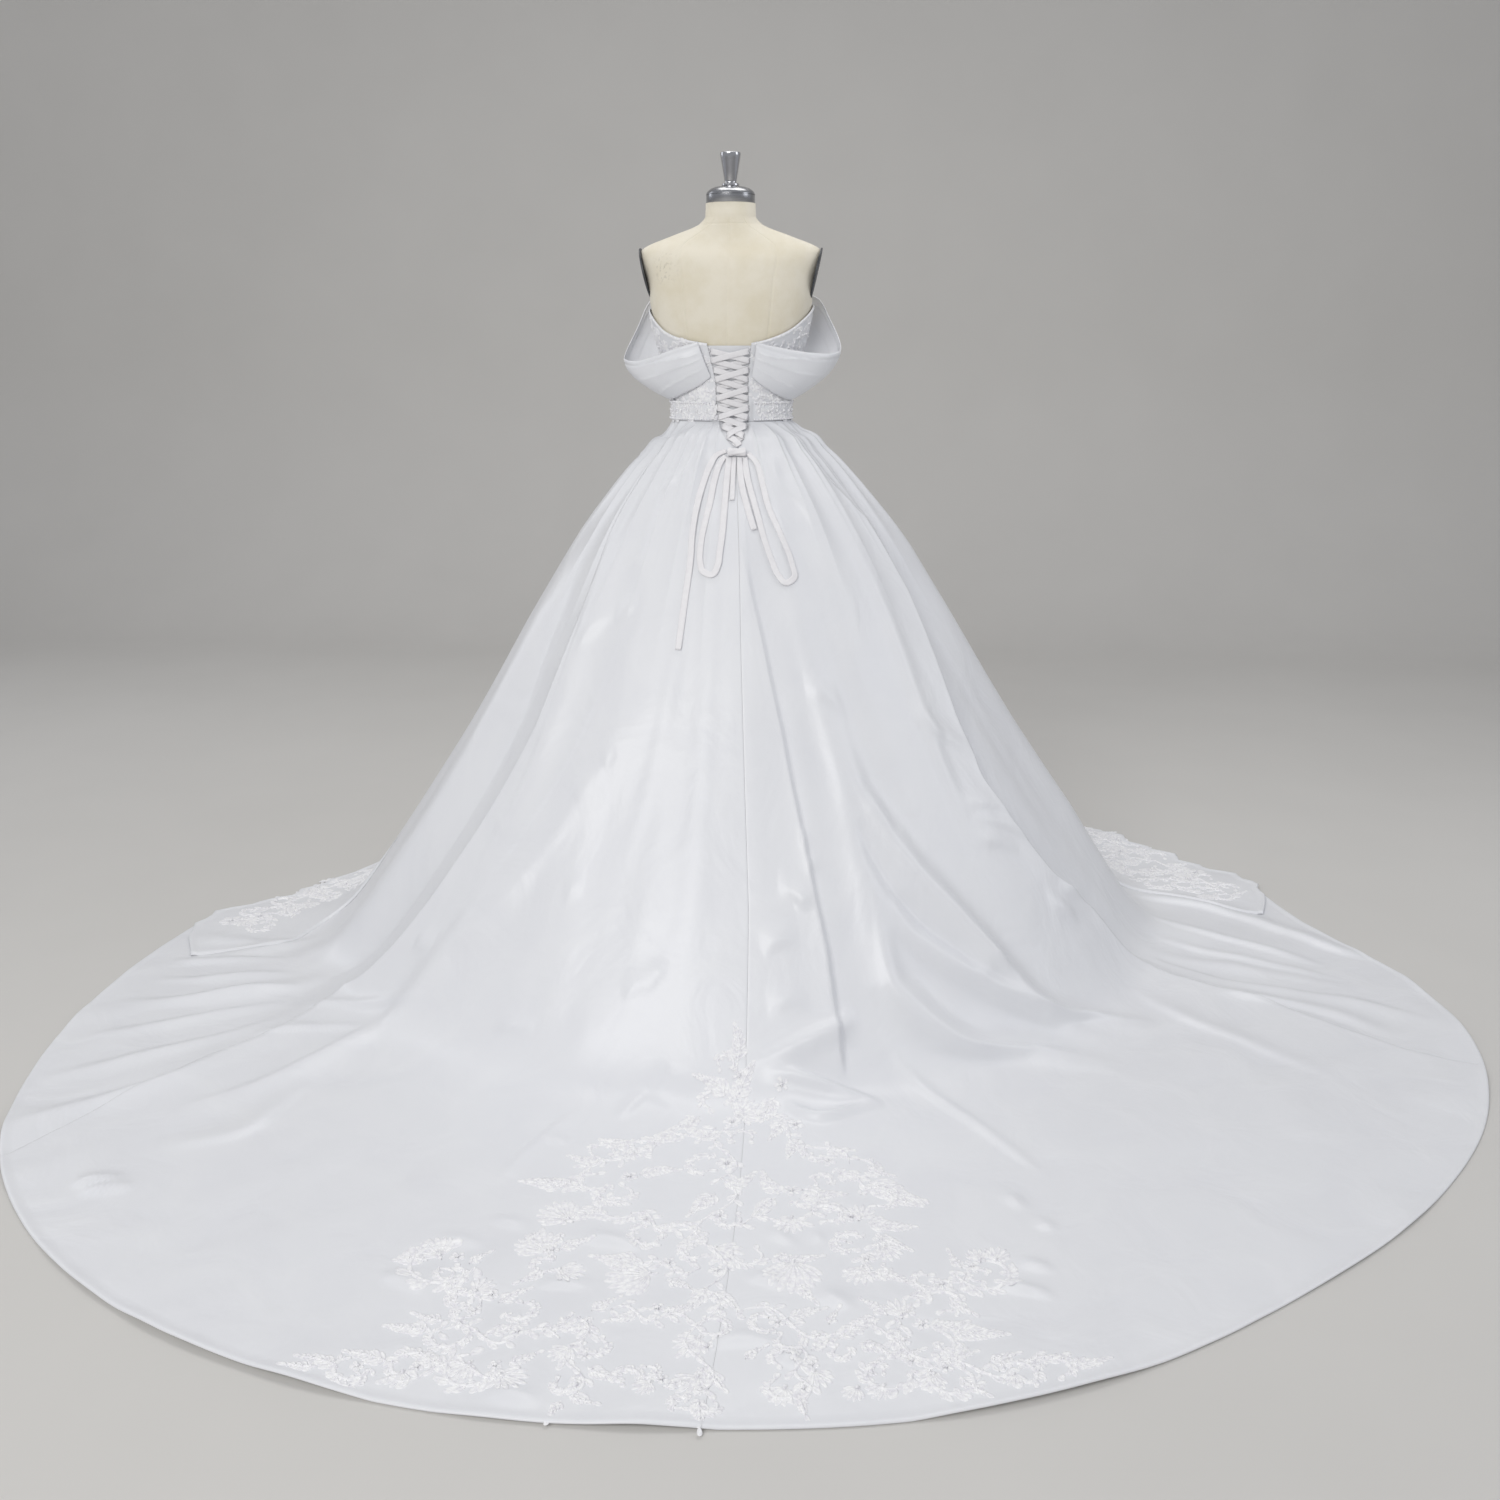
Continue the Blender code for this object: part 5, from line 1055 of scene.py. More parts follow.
@dataclass(frozen=True)
class GlassBead(Finish):
    """Clear crystal and pearl beads with a silvery foil behind them: small bright sparks."""

    name: str = "crystal and pearl beads"
    colour: str = "#D8DAE4"
    roughness: float = 0.10
    metallic: float = 0.35
    specular: float = 0.9

    def build(self) -> bpy.types.Material:
        """Make the material, with pale tints from bead to bead."""
        made, tree, shader = self.start()
        place = add_node(tree, "ShaderNodeTexCoord")
        cell = add_node(tree, "ShaderNodeTexNoise", {"Vector": (place, "Object"), "Scale": 240.0})
        tint = add_node(tree, "ShaderNodeValToRGB", {"Fac": (cell, "Fac")})
        tint.color_ramp.elements[0].position = 0.36
        tint.color_ramp.elements[1].position = 0.66
        tint.color_ramp.elements[0].color = srgb("#8E918F")
        tint.color_ramp.elements[1].color = srgb("#F3EFF4")
        tree.links.new(tint.outputs["Color"], shader.inputs["Base Color"])
        return made


@dataclass(frozen=True)
class CreamLinen(Finish):
    """Cream cotton and linen cover: a plain matt weave with faint scuffs."""

    name: str = "cream linen cover"
    colour: str = "#EBE2CA"
    roughness: float = 0.92
    sheen: float = 0.2

    def build(self) -> bpy.types.Material:
        """Make the material, its weave following the cover's own UV."""
        made, tree, shader = self.start()
        place = add_node(tree, "ShaderNodeTexCoord")
        # threads drawn 1.1 mm apart, about twice the real spacing, so that the weave shows
        warp = add_node(tree, "ShaderNodeTexWave", {"Vector": (place, "UV"), "Scale": 145.0, "Distortion": 1.6,
                                                    "Detail": 1.0}, bands_direction="X")
        weft = add_node(tree, "ShaderNodeTexWave", {"Vector": (place, "UV"), "Scale": 145.0, "Distortion": 1.6,
                                                    "Detail": 1.0}, bands_direction="Y")
        both = add_node(tree, "ShaderNodeMath", {0: (warp, "Fac"), 1: (weft, "Fac")}, operation="MULTIPLY")
        soft = add_node(tree, "ShaderNodeTexNoise", {"Vector": (place, "Object"), "Scale": 14.0, "Detail": 5.0,
                                                     "Roughness": 0.6})
        bump = add_node(tree, "ShaderNodeBump", {"Height": (both, "Value"), "Strength": 0.30, "Distance": 0.0006})
        tree.links.new(bump.outputs["Normal"], shader.inputs["Normal"])
        tint = add_node(tree, "ShaderNodeValToRGB", {"Fac": (soft, "Fac")})
        tint.color_ramp.elements[0].position = 0.30
        tint.color_ramp.elements[0].color = srgb("#ECE3CB")
        tint.color_ramp.elements[1].position = 0.60
        tint.color_ramp.elements[1].color = srgb("#F5EEDC")
        shade = add_node(tree, "ShaderNodeMapRange", {"Value": (both, "Value"), "To Min": 0.93, "To Max": 1.0})
        mixed = add_node(tree, "ShaderNodeMix", {"Factor": 1.0, 6: (tint, "Color"), 7: (shade, "Result")},
                         data_type="RGBA", blend_type="MULTIPLY")
        # faint handling scuffs within 40 mm of one spot beside the left shoulder
        spot = add_node(tree, "ShaderNodeVectorMath", {0: (place, "Object"), 1: (-0.132, -0.085, 1.352)},
                        operation="DISTANCE")
        fade = add_node(tree, "ShaderNodeMapRange", {"Value": (spot, "Value"), "From Min": 0.045, "From Max": 0.010})
        grime = add_node(tree, "ShaderNodeTexNoise", {"Vector": (place, "Object"), "Scale": 150.0, "Detail": 3.0})
        speck = add_node(tree, "ShaderNodeMapRange", {"Value": (grime, "Fac"), "From Min": 0.54, "From Max": 0.66,
                                                      "To Max": 0.5})
        amount = add_node(tree, "ShaderNodeMath", {0: (fade, "Result"), 1: (speck, "Result")}, operation="MULTIPLY")
        mixed = add_node(tree, "ShaderNodeMix", {"Factor": (amount, "Value"), 6: (mixed, 2), 7: srgb("#A79F8C")},
                         data_type="RGBA")
        tree.links.new(mixed.outputs[2], shader.inputs["Base Color"])
        return made


@dataclass(frozen=True)
class PolishedChrome(Finish):
    """Bright chrome plate: a clear mirror with faint wiping marks."""

    name: str = "polished chrome"
    colour: str = "#CFCFD2"
    roughness: float = 0.12
    metallic: float = 1.0

    def build(self) -> bpy.types.Material:
        """Make the material."""
        made, tree, shader = self.start()
        place = add_node(tree, "ShaderNodeTexCoord")
        rings = add_node(tree, "ShaderNodeMapping", {"Vector": (place, "Object"), "Scale": (4.0, 4.0, 60.0)})
        marks = add_node(tree, "ShaderNodeTexNoise", {"Vector": (rings, "Vector"), "Scale": 6.0, "Detail": 4.0})
        gloss = add_node(tree, "ShaderNodeMapRange", {"Value": (marks, "Fac"), "To Min": self.roughness - 0.05,
                                                      "To Max": self.roughness + 0.08})
        tree.links.new(gloss.outputs["Result"], shader.inputs["Roughness"])
        return made


@dataclass(frozen=True)
class ChromeWithPaintedDarkReflection(PolishedChrome):
    """Chrome plate of the neck cap, its colour darkened as a painted reflection of a dark room: a deep grey mirror."""

    name: str = "smoked chrome"
    # painted reflection: a darker colour stands in for the dark room that the cap would mirror
    colour: str = "#B2B3B6"
    roughness: float = 0.24


@dataclass(frozen=True)
class MouldedPlastic(Finish):
    """Dark grey moulded plastic: a fine grain that dulls its shine."""

    name: str = "dark grey moulded plastic"
    colour: str = "#3B3E42"
    roughness: float = 0.42

    def build(self) -> bpy.types.Material:
        """Make the material, with grain of 0.8 mm."""
        made, tree, shader = self.start()
        place = add_node(tree, "ShaderNodeTexCoord")
        grain = add_node(tree, "ShaderNodeTexNoise", {"Vector": (place, "Object"), "Scale": 1200.0, "Detail": 2.0})
        bump = add_node(tree, "ShaderNodeBump", {"Height": (grain, "Fac"), "Strength": 0.25, "Distance": 0.0002})
        tree.links.new(bump.outputs["Normal"], shader.inputs["Normal"])
        gloss = add_node(tree, "ShaderNodeMapRange", {"Value": (grain, "Fac"), "To Min": 0.36, "To Max": 0.50})
        tree.links.new(gloss.outputs["Result"], shader.inputs["Roughness"])
        return made


def settle(piece: bpy.types.Object, materials: Sequence[bpy.types.Material],
           nodes: Sequence[str] = ()) -> bpy.types.Object:
    """Dress a piece and join it to the frame.

    Args:
        piece: The piece.
        materials: Materials, in the order of the piece's material numbers.
        nodes: CAD nodes that it stands for.

    Returns:
        The same piece.
    """
    piece.data.materials.clear()
    for material in materials:
        piece.data.materials.append(material)
    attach(piece, "root")
    if nodes:
        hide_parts(*nodes)
    log.info("%s: %d faces", piece.name, len(piece.data.polygons) if piece.type == "MESH" else 0)
    return piece


@dataclass
class Wardrobe:
    """All materials, made once."""

    satin: bpy.types.Material
    ribbon: bpy.types.Material
    lace: bpy.types.Material
    bead: bpy.types.Material
    linen: bpy.types.Material
    chrome: bpy.types.Material
    # chrome of the neck cap, its colour darkened as a painted dark reflection
    painted_dark_reflection: bpy.types.Material
    plastic: bpy.types.Material


def open_wardrobe() -> Wardrobe:
    """Make every material of the dress and its form."""
    return Wardrobe(DuchessSatin().build(), SatinRibbon().build(), CordedLace().build(), GlassBead().build(),
                    CreamLinen().build(), PolishedChrome().build(), ChromeWithPaintedDarkReflection().build(),
                    MouldedPlastic().build())


@dataclass
class Bow:
    """The bow under the lacing: two loops, three ends and their knot."""

    skirt: SkirtSurface
    wardrobe: Wardrobe
    thickness: float = 0.0018
    knot_x: float = 0.0225
    knot_height: float = 1.0035
    knot_size: tuple[float, float, float] = (0.036, 0.013, 0.016)

    def ribbon(self, name: str, width: float, route: Rows) -> None:
        """Args:
            name: Name of the CAD node that it stands for.
            width: Width of the ribbon.
            route: X and height of the points that it passes.
        """
        x, height = np.array(route).T
        angle, radius = self.skirt.place(x, height)
        points = self.skirt.point(angle, radius, WALL + CORD_LIFT + self.thickness / 2 + 0.0006)
        coarse = np.linalg.norm(np.diff(points, axis=0), axis=1).sum()
        path = smooth_line(points, max(6, int(coarse / (2.4 * width))))
        length = float(np.linalg.norm(np.diff(path, axis=0), axis=1).sum())
        line = smooth_line(path, max(24, int(length / 0.004)))
        along = np.gradient(line, axis=0)
        along /= np.linalg.norm(along, axis=1, keepdims=True)
        turn, reach = np.degrees(np.arctan2(line[:, 1], line[:, 0])), np.hypot(line[:, 0], line[:, 1])
        out = self.skirt.normal(turn, reach)
        out -= along * np.sum(along * out, axis=1, keepdims=True)
        out /= np.linalg.norm(out, axis=1, keepdims=True)
        across = np.cross(along, out)
        share = np.linspace(0, length, len(line))
        twist = 0.14 * np.sin(share / 0.045 + x[0] * 90) * ease(0, 0.03, share)
        sideways = across * np.cos(twist)[:, None] + out * np.sin(twist)[:, None]
        upward = out * np.cos(twist)[:, None] - across * np.sin(twist)[:, None]
        narrow = (0.80 + 0.20 * ease(0, 0.03, share)) * (1 - 0.10 * ease(length - 0.008, length, share))
        broad = width * 1.36
        section = [(-1, 0), (-0.92, 0.8), (-0.5, 1.0), (0, 0.72), (0.5, 1.0), (0.92, 0.8),
                   (1, 0), (0.92, -0.8), (0.5, -1.0), (0, -0.72), (-0.5, -1.0), (-0.92, -0.8), (-1, 0)]
        rows = []
        for side, rise in section:
            rows.append(line + sideways * (side * broad / 2 * narrow)[:, None]
                        + upward * (rise * self.thickness / 2))
        table = np.stack(rows, axis=1)
        table = np.concatenate([line[None, :1] + 0 * table[:1], table, line[None, -1:] + 0 * table[-1:]])
        piece = cloth_grid(name + "_ribbon", table, flat_places(table))
        weld(piece)
        settle(piece, [self.wardrobe.ribbon], [name])
        "object" if "loop" in name else "bare"

    def knot(self) -> None:
        """Make the knot as a pinched band with soft folds."""
        angle, radius = self.skirt.place(self.knot_x, self.knot_height)
        normal = self.skirt.normal(angle, radius)
        width, thick, tall = self.knot_size
        centre = self.skirt.point(angle, radius, WALL + CORD_LIFT, plain=True) + normal * thick / 2
        across = np.cross((0, 0, 1), normal)
        across /= np.linalg.norm(across)
        down = np.cross(normal, across)
        shares, turns = np.linspace(-1, 1, 33), np.linspace(0, 2 * np.pi, 49)
        s, t = shares[:, None], turns[None]
        size = (1 - 0.16 * np.abs(s) ** 6) * (1 - 0.10 * np.cos(np.pi * s)) * (0.93 + 0.07 * np.cos(5 * t + 3 * s))
        size = size * (1 - ease(0.94, 1.0, np.abs(s)) * 0.6)
        up = np.sign(np.cos(t)) * np.abs(np.cos(t)) ** 0.7 * tall / 2 * size
        out = np.sign(np.sin(t)) * np.abs(np.sin(t)) ** 0.7 * thick / 2 * size
        table = centre + across * (s * width / 2 + 0 * t)[..., None] + normal * out[..., None] + down * up[..., None]
        ends = [np.broadcast_to(table[k].mean(axis=0), table[k].shape)[None] for k in (0, -1)]
        table = np.concatenate([ends[0], table, ends[1]])
        piece = cloth_grid("bow_knot_ribbon", table, flat_places(table))
        weld(piece)
        settle(piece, [self.wardrobe.ribbon], ["bow_knot"])

    def build(self) -> None:
        """Make the whole bow."""
        for name, (width, route) in BOW_ROUTES.items():
            self.ribbon(name, width, route)
        self.knot()


@dataclass
class Gore:
    """One cut panel of the skirt."""

    name: str
    start: Callable[[Array], Array]
    end: Callable[[Array], Array]
    hem: Callable[[Array], Array]
    columns: int
    rows: tuple[int, int]
    cut: tuple[float, float]
    area: float
    lift: Callable[[Array, Array], Array] | None = None


def seam_side(rows: Rows, nudge: float) -> Callable[[Array], Array]:
    """Edge of a gore along a seam, set back by a nudge in metres."""
    return lambda r: from_rows(rows, r) + np.degrees(nudge / r)


def straight_side(angle: float, nudge: float) -> Callable[[Array], Array]:
    """Edge of a gore straight down one angle, set back by a nudge in metres."""
    return lambda r: angle + np.degrees(nudge / r)


@dataclass
class Skirt:
    """The gathered skirt and its round train, in seven gores."""

    skirt: SkirtSurface
    wardrobe: Wardrobe
    v_bottom: float = 1.010
    v_centre: float = 0.0118
    v_half_width: float = 0.028

    def top(self, angle: Array) -> Array:
        """The waist, lowered to a point at the centre back for the lacing."""
        turn = np.radians(angle)
        waist = self.skirt.waist_radius(turn)
        away = np.abs(waist * np.cos(turn) - self.v_centre)
        height = WAIST_HEIGHT - (WAIST_HEIGHT - self.v_bottom) * np.maximum(0, 1 - away / self.v_half_width)
        return np.where(np.sin(turn) > 0, waist, self.skirt.cone_radius(angle, height))

    def gores(self) -> list[Gore]:
        """List the gores with their edges."""
        half = 0.00015

        def train(angle: Array) -> Array:
            """Hem of the train."""
            return smooth_rows(TRAIN_HEM, (angle + 180) % 360 - 180)

        def front(angle: Array) -> Array:
            """Hem of the front, wavy where its lace ends at the openings."""
            wave = 0.010 * np.sin(np.radians(angle * 97)) + 0.006 * np.sin(np.radians(angle * 41))
            lace = ease(169, 174, angle) * ease(194, 188, angle) + ease(4, 9, angle) * ease(44, 36, angle)
            return smooth_rows(FRONT_HEM, angle) + wave * lace

        def flap_right(r: Array) -> Array:
            """The front's right edge, which lies over the side on the floor."""
            return 9 - 8.5 * ease(0.84, 1.15, r) + np.degrees(half / r)

        def flap_left(r: Array) -> Array:
            """The front's left edge, which lies over the side on the floor."""
            return 189 + 9 * ease(0.84, 0.98, r) - np.degrees(half / r)

        def lift_right(angle: Array, radius: Array) -> Array:
            """Rise of the front over the right side."""
            return FLAP_LIFT * ease(15.0, 10.0, angle) * ease(0.70, 0.80, radius)

        def lift_left(angle: Array, radius: Array) -> Array:
            """Rise of the front over the left side."""
            return FLAP_LIFT * ease(182.0, 187.5, angle) * ease(0.70, 0.80, radius)

        return [
            Gore("skirt_side_left", straight_side(-171, half), seam_side(SEAM_LEFT, -half), train, 100, (120, 72),
                 (0.95, 1.60), 0.705),
            Gore("skirt_back_left", seam_side(SEAM_LEFT, half), seam_side(SEAM_CENTRE, -half), train, 186,
                 (200, 84),
                 (1.25, 1.95), 1.410),
            Gore("skirt_back_right", seam_side(SEAM_CENTRE, half), seam_side(SEAM_RIGHT, -half), train, 206,
                 (200, 84),
                 (1.45, 1.98), 1.595),
            Gore("skirt_side_right", seam_side(SEAM_RIGHT, half), straight_side(9, -half), train, 100, (120, 72),
                 (0.95, 1.60), 0.730),
            Gore("skirt_front_side_right", flap_right, straight_side(58, -half), front, 76, (84, 46), (0.95, 1.35),
                 0.740, lift_right),
            Gore("skirt_front", straight_side(58, half), straight_side(122, -half), front, 76, (84, 40), (1.00, 1.20),
                 0.710),
            Gore("skirt_front_side_left", straight_side(122, half), flap_left, front, 84, (84, 46), (1.10, 1.35),
                 0.860, lift_left),
        ]

    def panel(self, gore: Gore) -> None:
        """Make one gore as a thin sheet with a rolled hem.

        Args:
            gore: Its edges, hem and cut.
        """
        near = np.array([0, 0.0010, 0.0022, 0.0038, 0.0058, 0.0082, 0.0110, 0.0145, 0.0190])
        width = 0.75
        inner = np.linspace(0.0250, width - 0.0250, gore.columns - 18)
        shares = np.concatenate([near, inner, width - near[::-1]]) / width
        angle = gore.start(np.full(shares.shape, 0.15))
        angle = angle + (gore.end(np.full(shares.shape, 0.15)) - angle) * shares
        for _ in range(3):
            top = self.top(angle)
            angle = gore.start(top) + (gore.end(top) - gore.start(top)) * shares
        low = gore.start(np.full(shares.shape, 1.3))
        last = low + (gore.end(np.full(shares.shape, 1.3)) - low) * shares
        for _ in range(3):
            hem = gore.hem(last)
            last = gore.start(hem) + (gore.end(hem) - gore.start(hem)) * shares
        hem = gore.hem(last)
        foot = np.minimum(0.93, hem - 0.03)
        down = np.linspace(0, 1, gore.rows[0])
        down = 0.55 * down + 0.45 * down**1.8
        cone = top[None] + (foot - top)[None] * down[:, None]
        beyond = np.linspace(0, 1, gore.rows[1])[1:, None]
        spread = foot[None] + (hem - 0.014 - foot)[None] * beyond
        roll = ((0.008, 0.0038), (0.004, 0.0045), (0.0015, 0.0042), (0.0004, 0.0032), (0.0, 0.0020),
                (0.0008, 0.0008), (0.004, 0.0003), (0.010, 0.0002))
        edge = np.stack([hem - back for back, _ in roll])
        radii = np.concatenate([cone, spread, edge])
        rise = np.concatenate([np.full(cone.shape, WALL), np.full(spread.shape, WALL),
                               np.stack([np.full(hem.shape, up) for _, up in roll])])
        angles = gore.start(radii) + (gore.end(radii) - gore.start(radii)) * shares
        arc = np.radians(np.abs(gore.end(radii) - gore.start(radii))) * radii
        side = np.minimum(shares, 1 - shares) * arc
        rise = rise * (1 - 0.20 * np.exp(-(side / 0.0015) ** 2) * (radii < hem - 0.012))
        if gore.lift:
            up = gore.lift(angles, radii)
            rise = rise + up - np.maximum(up - 0.0006, 0) * np.exp(-(side / 0.0035) ** 2)
        points = self.skirt.point(angles, radii, rise)
        piece = cloth_grid(gore.name + "_satin", points, flat_places(points), flip=True)
        settle(piece, [self.wardrobe.satin], [gore.name])

    def build(self) -> None:
        """Make every gore."""
        for gore in self.gores():
            self.panel(gore)


@dataclass
class DressForm:
    """The limbless dress form under the dress, on its stand."""

    torso: TorsoSurface
    wardrobe: Wardrobe
    hole_height: float = 1.342
    hole: tuple[float, float] = (0.049, 0.046)
    plate_wall: float = 0.0036

    def hole_reach(self, height: Any) -> Array:
        """Distance of the arm plate's outer face from the middle plane."""
        return 0.1592 + 0.225 * (np.asarray(height, float) - 1.292)

    def plate(self, name: str, side: int) -> None:
        """Make one arm plate, set flush in its hole.

        Args:
            name: Name of the CAD node that it stands for.
            side: 1 on the right, -1 on the left.
        """
        deselect()
        bpy.ops.mesh.primitive_circle_add(vertices=56, radius=1, fill_type="NGON")
        piece = take(name + "_disc")
        bpy.ops.object.mode_set(mode="EDIT")
        bpy.ops.mesh.select_all(action="SELECT")
        bpy.ops.mesh.extrude_region_move(TRANSFORM_OT_translate={"value": (0, 0, 0.75)})
        bpy.ops.mesh.inset(thickness=0.03, depth=0.17)
        bpy.ops.mesh.inset(thickness=0.05, depth=0.08)
        bpy.ops.mesh.inset(thickness=0.60, depth=0.0)
        bpy.ops.mesh.poke()
        bpy.ops.object.mode_set(mode="OBJECT")
        places = np.array([tuple(v.co) for v in piece.data.vertices])
        height = self.hole_height + places[:, 0] * (self.hole[0] - 0.0015)
        y = -0.002 + places[:, 1] * (self.hole[1] - 0.0015)
        x = self.hole_reach(height) - self.plate_wall + places[:, 2] * self.plate_wall
        piece.data.vertices.foreach_set("co", np.column_stack([side * x, y, height]).reshape(-1))
        weld(piece)
        piece.data.shade_smooth()
        pick(piece)
        bpy.ops.object.shade_smooth_by_angle(angle=math.radians(30))
        settle(piece, [self.wardrobe.plastic], [name])

    def cover(self) -> None:
        """Make the linen cover as one closed shell with its seams drawn in."""
        extra = np.concatenate([[1.025, 1.13, 1.352], np.linspace(0.82, 1.36, 40), np.linspace(1.365, 1.4455, 34)])
        heights = np.unique(np.concatenate([extra, [row[0] for row in self.torso.sections],
                                            [1.4300, 1.4318, 1.4336]]).round(5))
        seams = np.array([-90.0, -122.0, -58.0, 0.0, 180.0, 90.0, 60.0, 120.0])
        near = np.concatenate([seams + step for step in (-1.6, -0.8, 0.0, 0.8, 1.6)])
        angles = np.unique(np.concatenate([np.linspace(-180, 180, 97), near]).clip(-180, 180).round(4))
        away = np.min(np.abs((angles[None] - seams[:, None] + 180) % 360 - 180), axis=0)
        sunk = -0.0011 * np.exp(-(away / 0.8) ** 2)[None] * ease(1.446, 1.436, heights)[:, None]
        ring = -0.0009 * np.exp(-((heights - 1.4318) / 0.0012) ** 2)[:, None]
        offset = -0.0004 + sunk + ring
        offset = offset + (0.0045 * np.exp(-((heights - 1.380) / 0.013) ** 2)[:, None]
                           * np.abs(np.cos(np.radians(angles[None]))) ** 5)
        table = self.torso.point(angles[None], heights[:, None], offset)
        inside = ((table[..., 1] + 0.002) / self.hole[1]) ** 2 + ((heights[:, None] - self.hole_height) / self.hole[0]) ** 2
        limit = self.hole_reach(heights[:, None]) - 0.0032
        cut = np.sign(table[..., 0]) * np.minimum(np.abs(table[..., 0]), limit)
        table[..., 0] = np.where(inside < 1, cut, table[..., 0])
        low = table[:1] * (0, 0, 1)
        high = table[-1:] * (0, 0, 1)
        table = np.concatenate([low, table, high])
        piece = cloth_grid("form_cover", table, flat_places(table))
        weld(piece)
        settle(piece, [self.wardrobe.linen], ["form_torso"])

    def cap(self) -> None:
        """Make the neck cap with its groove and rolled top."""
        radius, low, high = 0.0475, 1.4713, 1.503
        piece = turned("neck_cap_fine", [
            (0.030, low), (radius - 0.0006, low), (radius, low + 0.0008), (radius, low + 0.0150),
            (radius - 0.0007, low + 0.0156), (radius - 0.0007, low + 0.0164), (radius, low + 0.0170),
            (radius, high - 0.016), (radius - 0.0009, high - 0.0125), (radius - 0.0032, high - 0.0095),
            (0.038, high - 0.005), (0.030, high - 0.0022), (0.0200, high - 0.0006), (0.004, high),
        ], 72)
        # chrome with a painted dark reflection darkening its colour
        settle(piece, [self.wardrobe.painted_dark_reflection], ["neck_cap"])

    def knob(self) -> None:
        """Make the flared knob on its ring."""
        low, high = 1.5033, 1.564
        piece = turned("knob_fine", [
            (0.012, low), (0.0164, low), (0.0170, low + 0.0006), (0.0170, low + 0.0034), (0.0164, low + 0.0040),
            (0.0122, low + 0.0048), (0.0114, low + 0.0062), (0.0115, low + 0.0080), (0.0121, low + 0.0105),
            (0.0146, low + 0.025), (0.0172, low + 0.040), (0.0190, low + 0.0505), (0.0197, low + 0.0545),
            (0.0200, low + 0.0580), (0.0198, low + 0.0596), (0.0190, high - 0.0004), (0.0170, high),
            (0.0160, high - 0.0006), (0.004, high - 0.0007),
        ], 64)
        settle(piece, [self.wardrobe.chrome], ["knob"])

    def build(self, nodes: dict[str, Any]) -> None:
        """Make the form and dress the parts that stay as they are.

        Args:
            nodes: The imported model's objects by name.
        """
        self.cover()
        self.cap()
        self.knob()
        self.plate("arm_plate_right", 1)
        self.plate("arm_plate_left", -1)
        for name, material in (("stand_pole", self.wardrobe.chrome), ("stand_base", self.wardrobe.chrome)):
            thing = nodes[name]
            for slot in thing.material_slots:
                slot.material = material


class Motif(Enum):
    """Kinds of lace motif."""

    FERN = "fern"
    CURL = "curl"
    SCROLL = "scroll"
    FLOWER = "flower"
    FAN = "fan"
    VINE = "vine"


def template(kind: str) -> tuple[Array, list[tuple[int, ...]]]:
    """Model one lace leaf or bead as by hand, to be copied many times.

    Args:
        kind: "leaf" or "bead".

    Returns:
        Its points and faces.
    """
    deselect()
    if kind == "bead":
        bpy.ops.mesh.primitive_ico_sphere_add(subdivisions=1, radius=1)
        made = take("bead template")
    else:
        bpy.ops.mesh.primitive_circle_add(vertices=11, radius=0.5, fill_type="NGON")
        made = take("leaf template")
        bpy.ops.object.mode_set(mode="EDIT")
        bpy.ops.mesh.select_all(action="SELECT")
        bpy.ops.mesh.extrude_region_move(TRANSFORM_OT_translate={"value": (0, 0, 1)})
        bpy.ops.transform.resize(value=(0.90, 0.84, 1), center_override=(0, 0, 1))
        bpy.ops.mesh.inset(thickness=0.15, depth=-0.55)
        bpy.ops.mesh.poke()
        bpy.ops.object.mode_set(mode="OBJECT")
        finish_shape = made.data
        for vertex in finish_shape.vertices:
            x, y, z = vertex.co
            vertex.co = (x + 0.5, y * (0.84 + 0.66 * x) - 0.10 * (x * x - 0.25), z)
    points = np.array([tuple(v.co) for v in made.data.vertices])
    faces = [tuple(f.vertices) for f in made.data.polygons if not (kind == "leaf" and f.normal.z < -0.9)]
    bpy.data.objects.remove(made, do_unlink=True)
    return points, faces


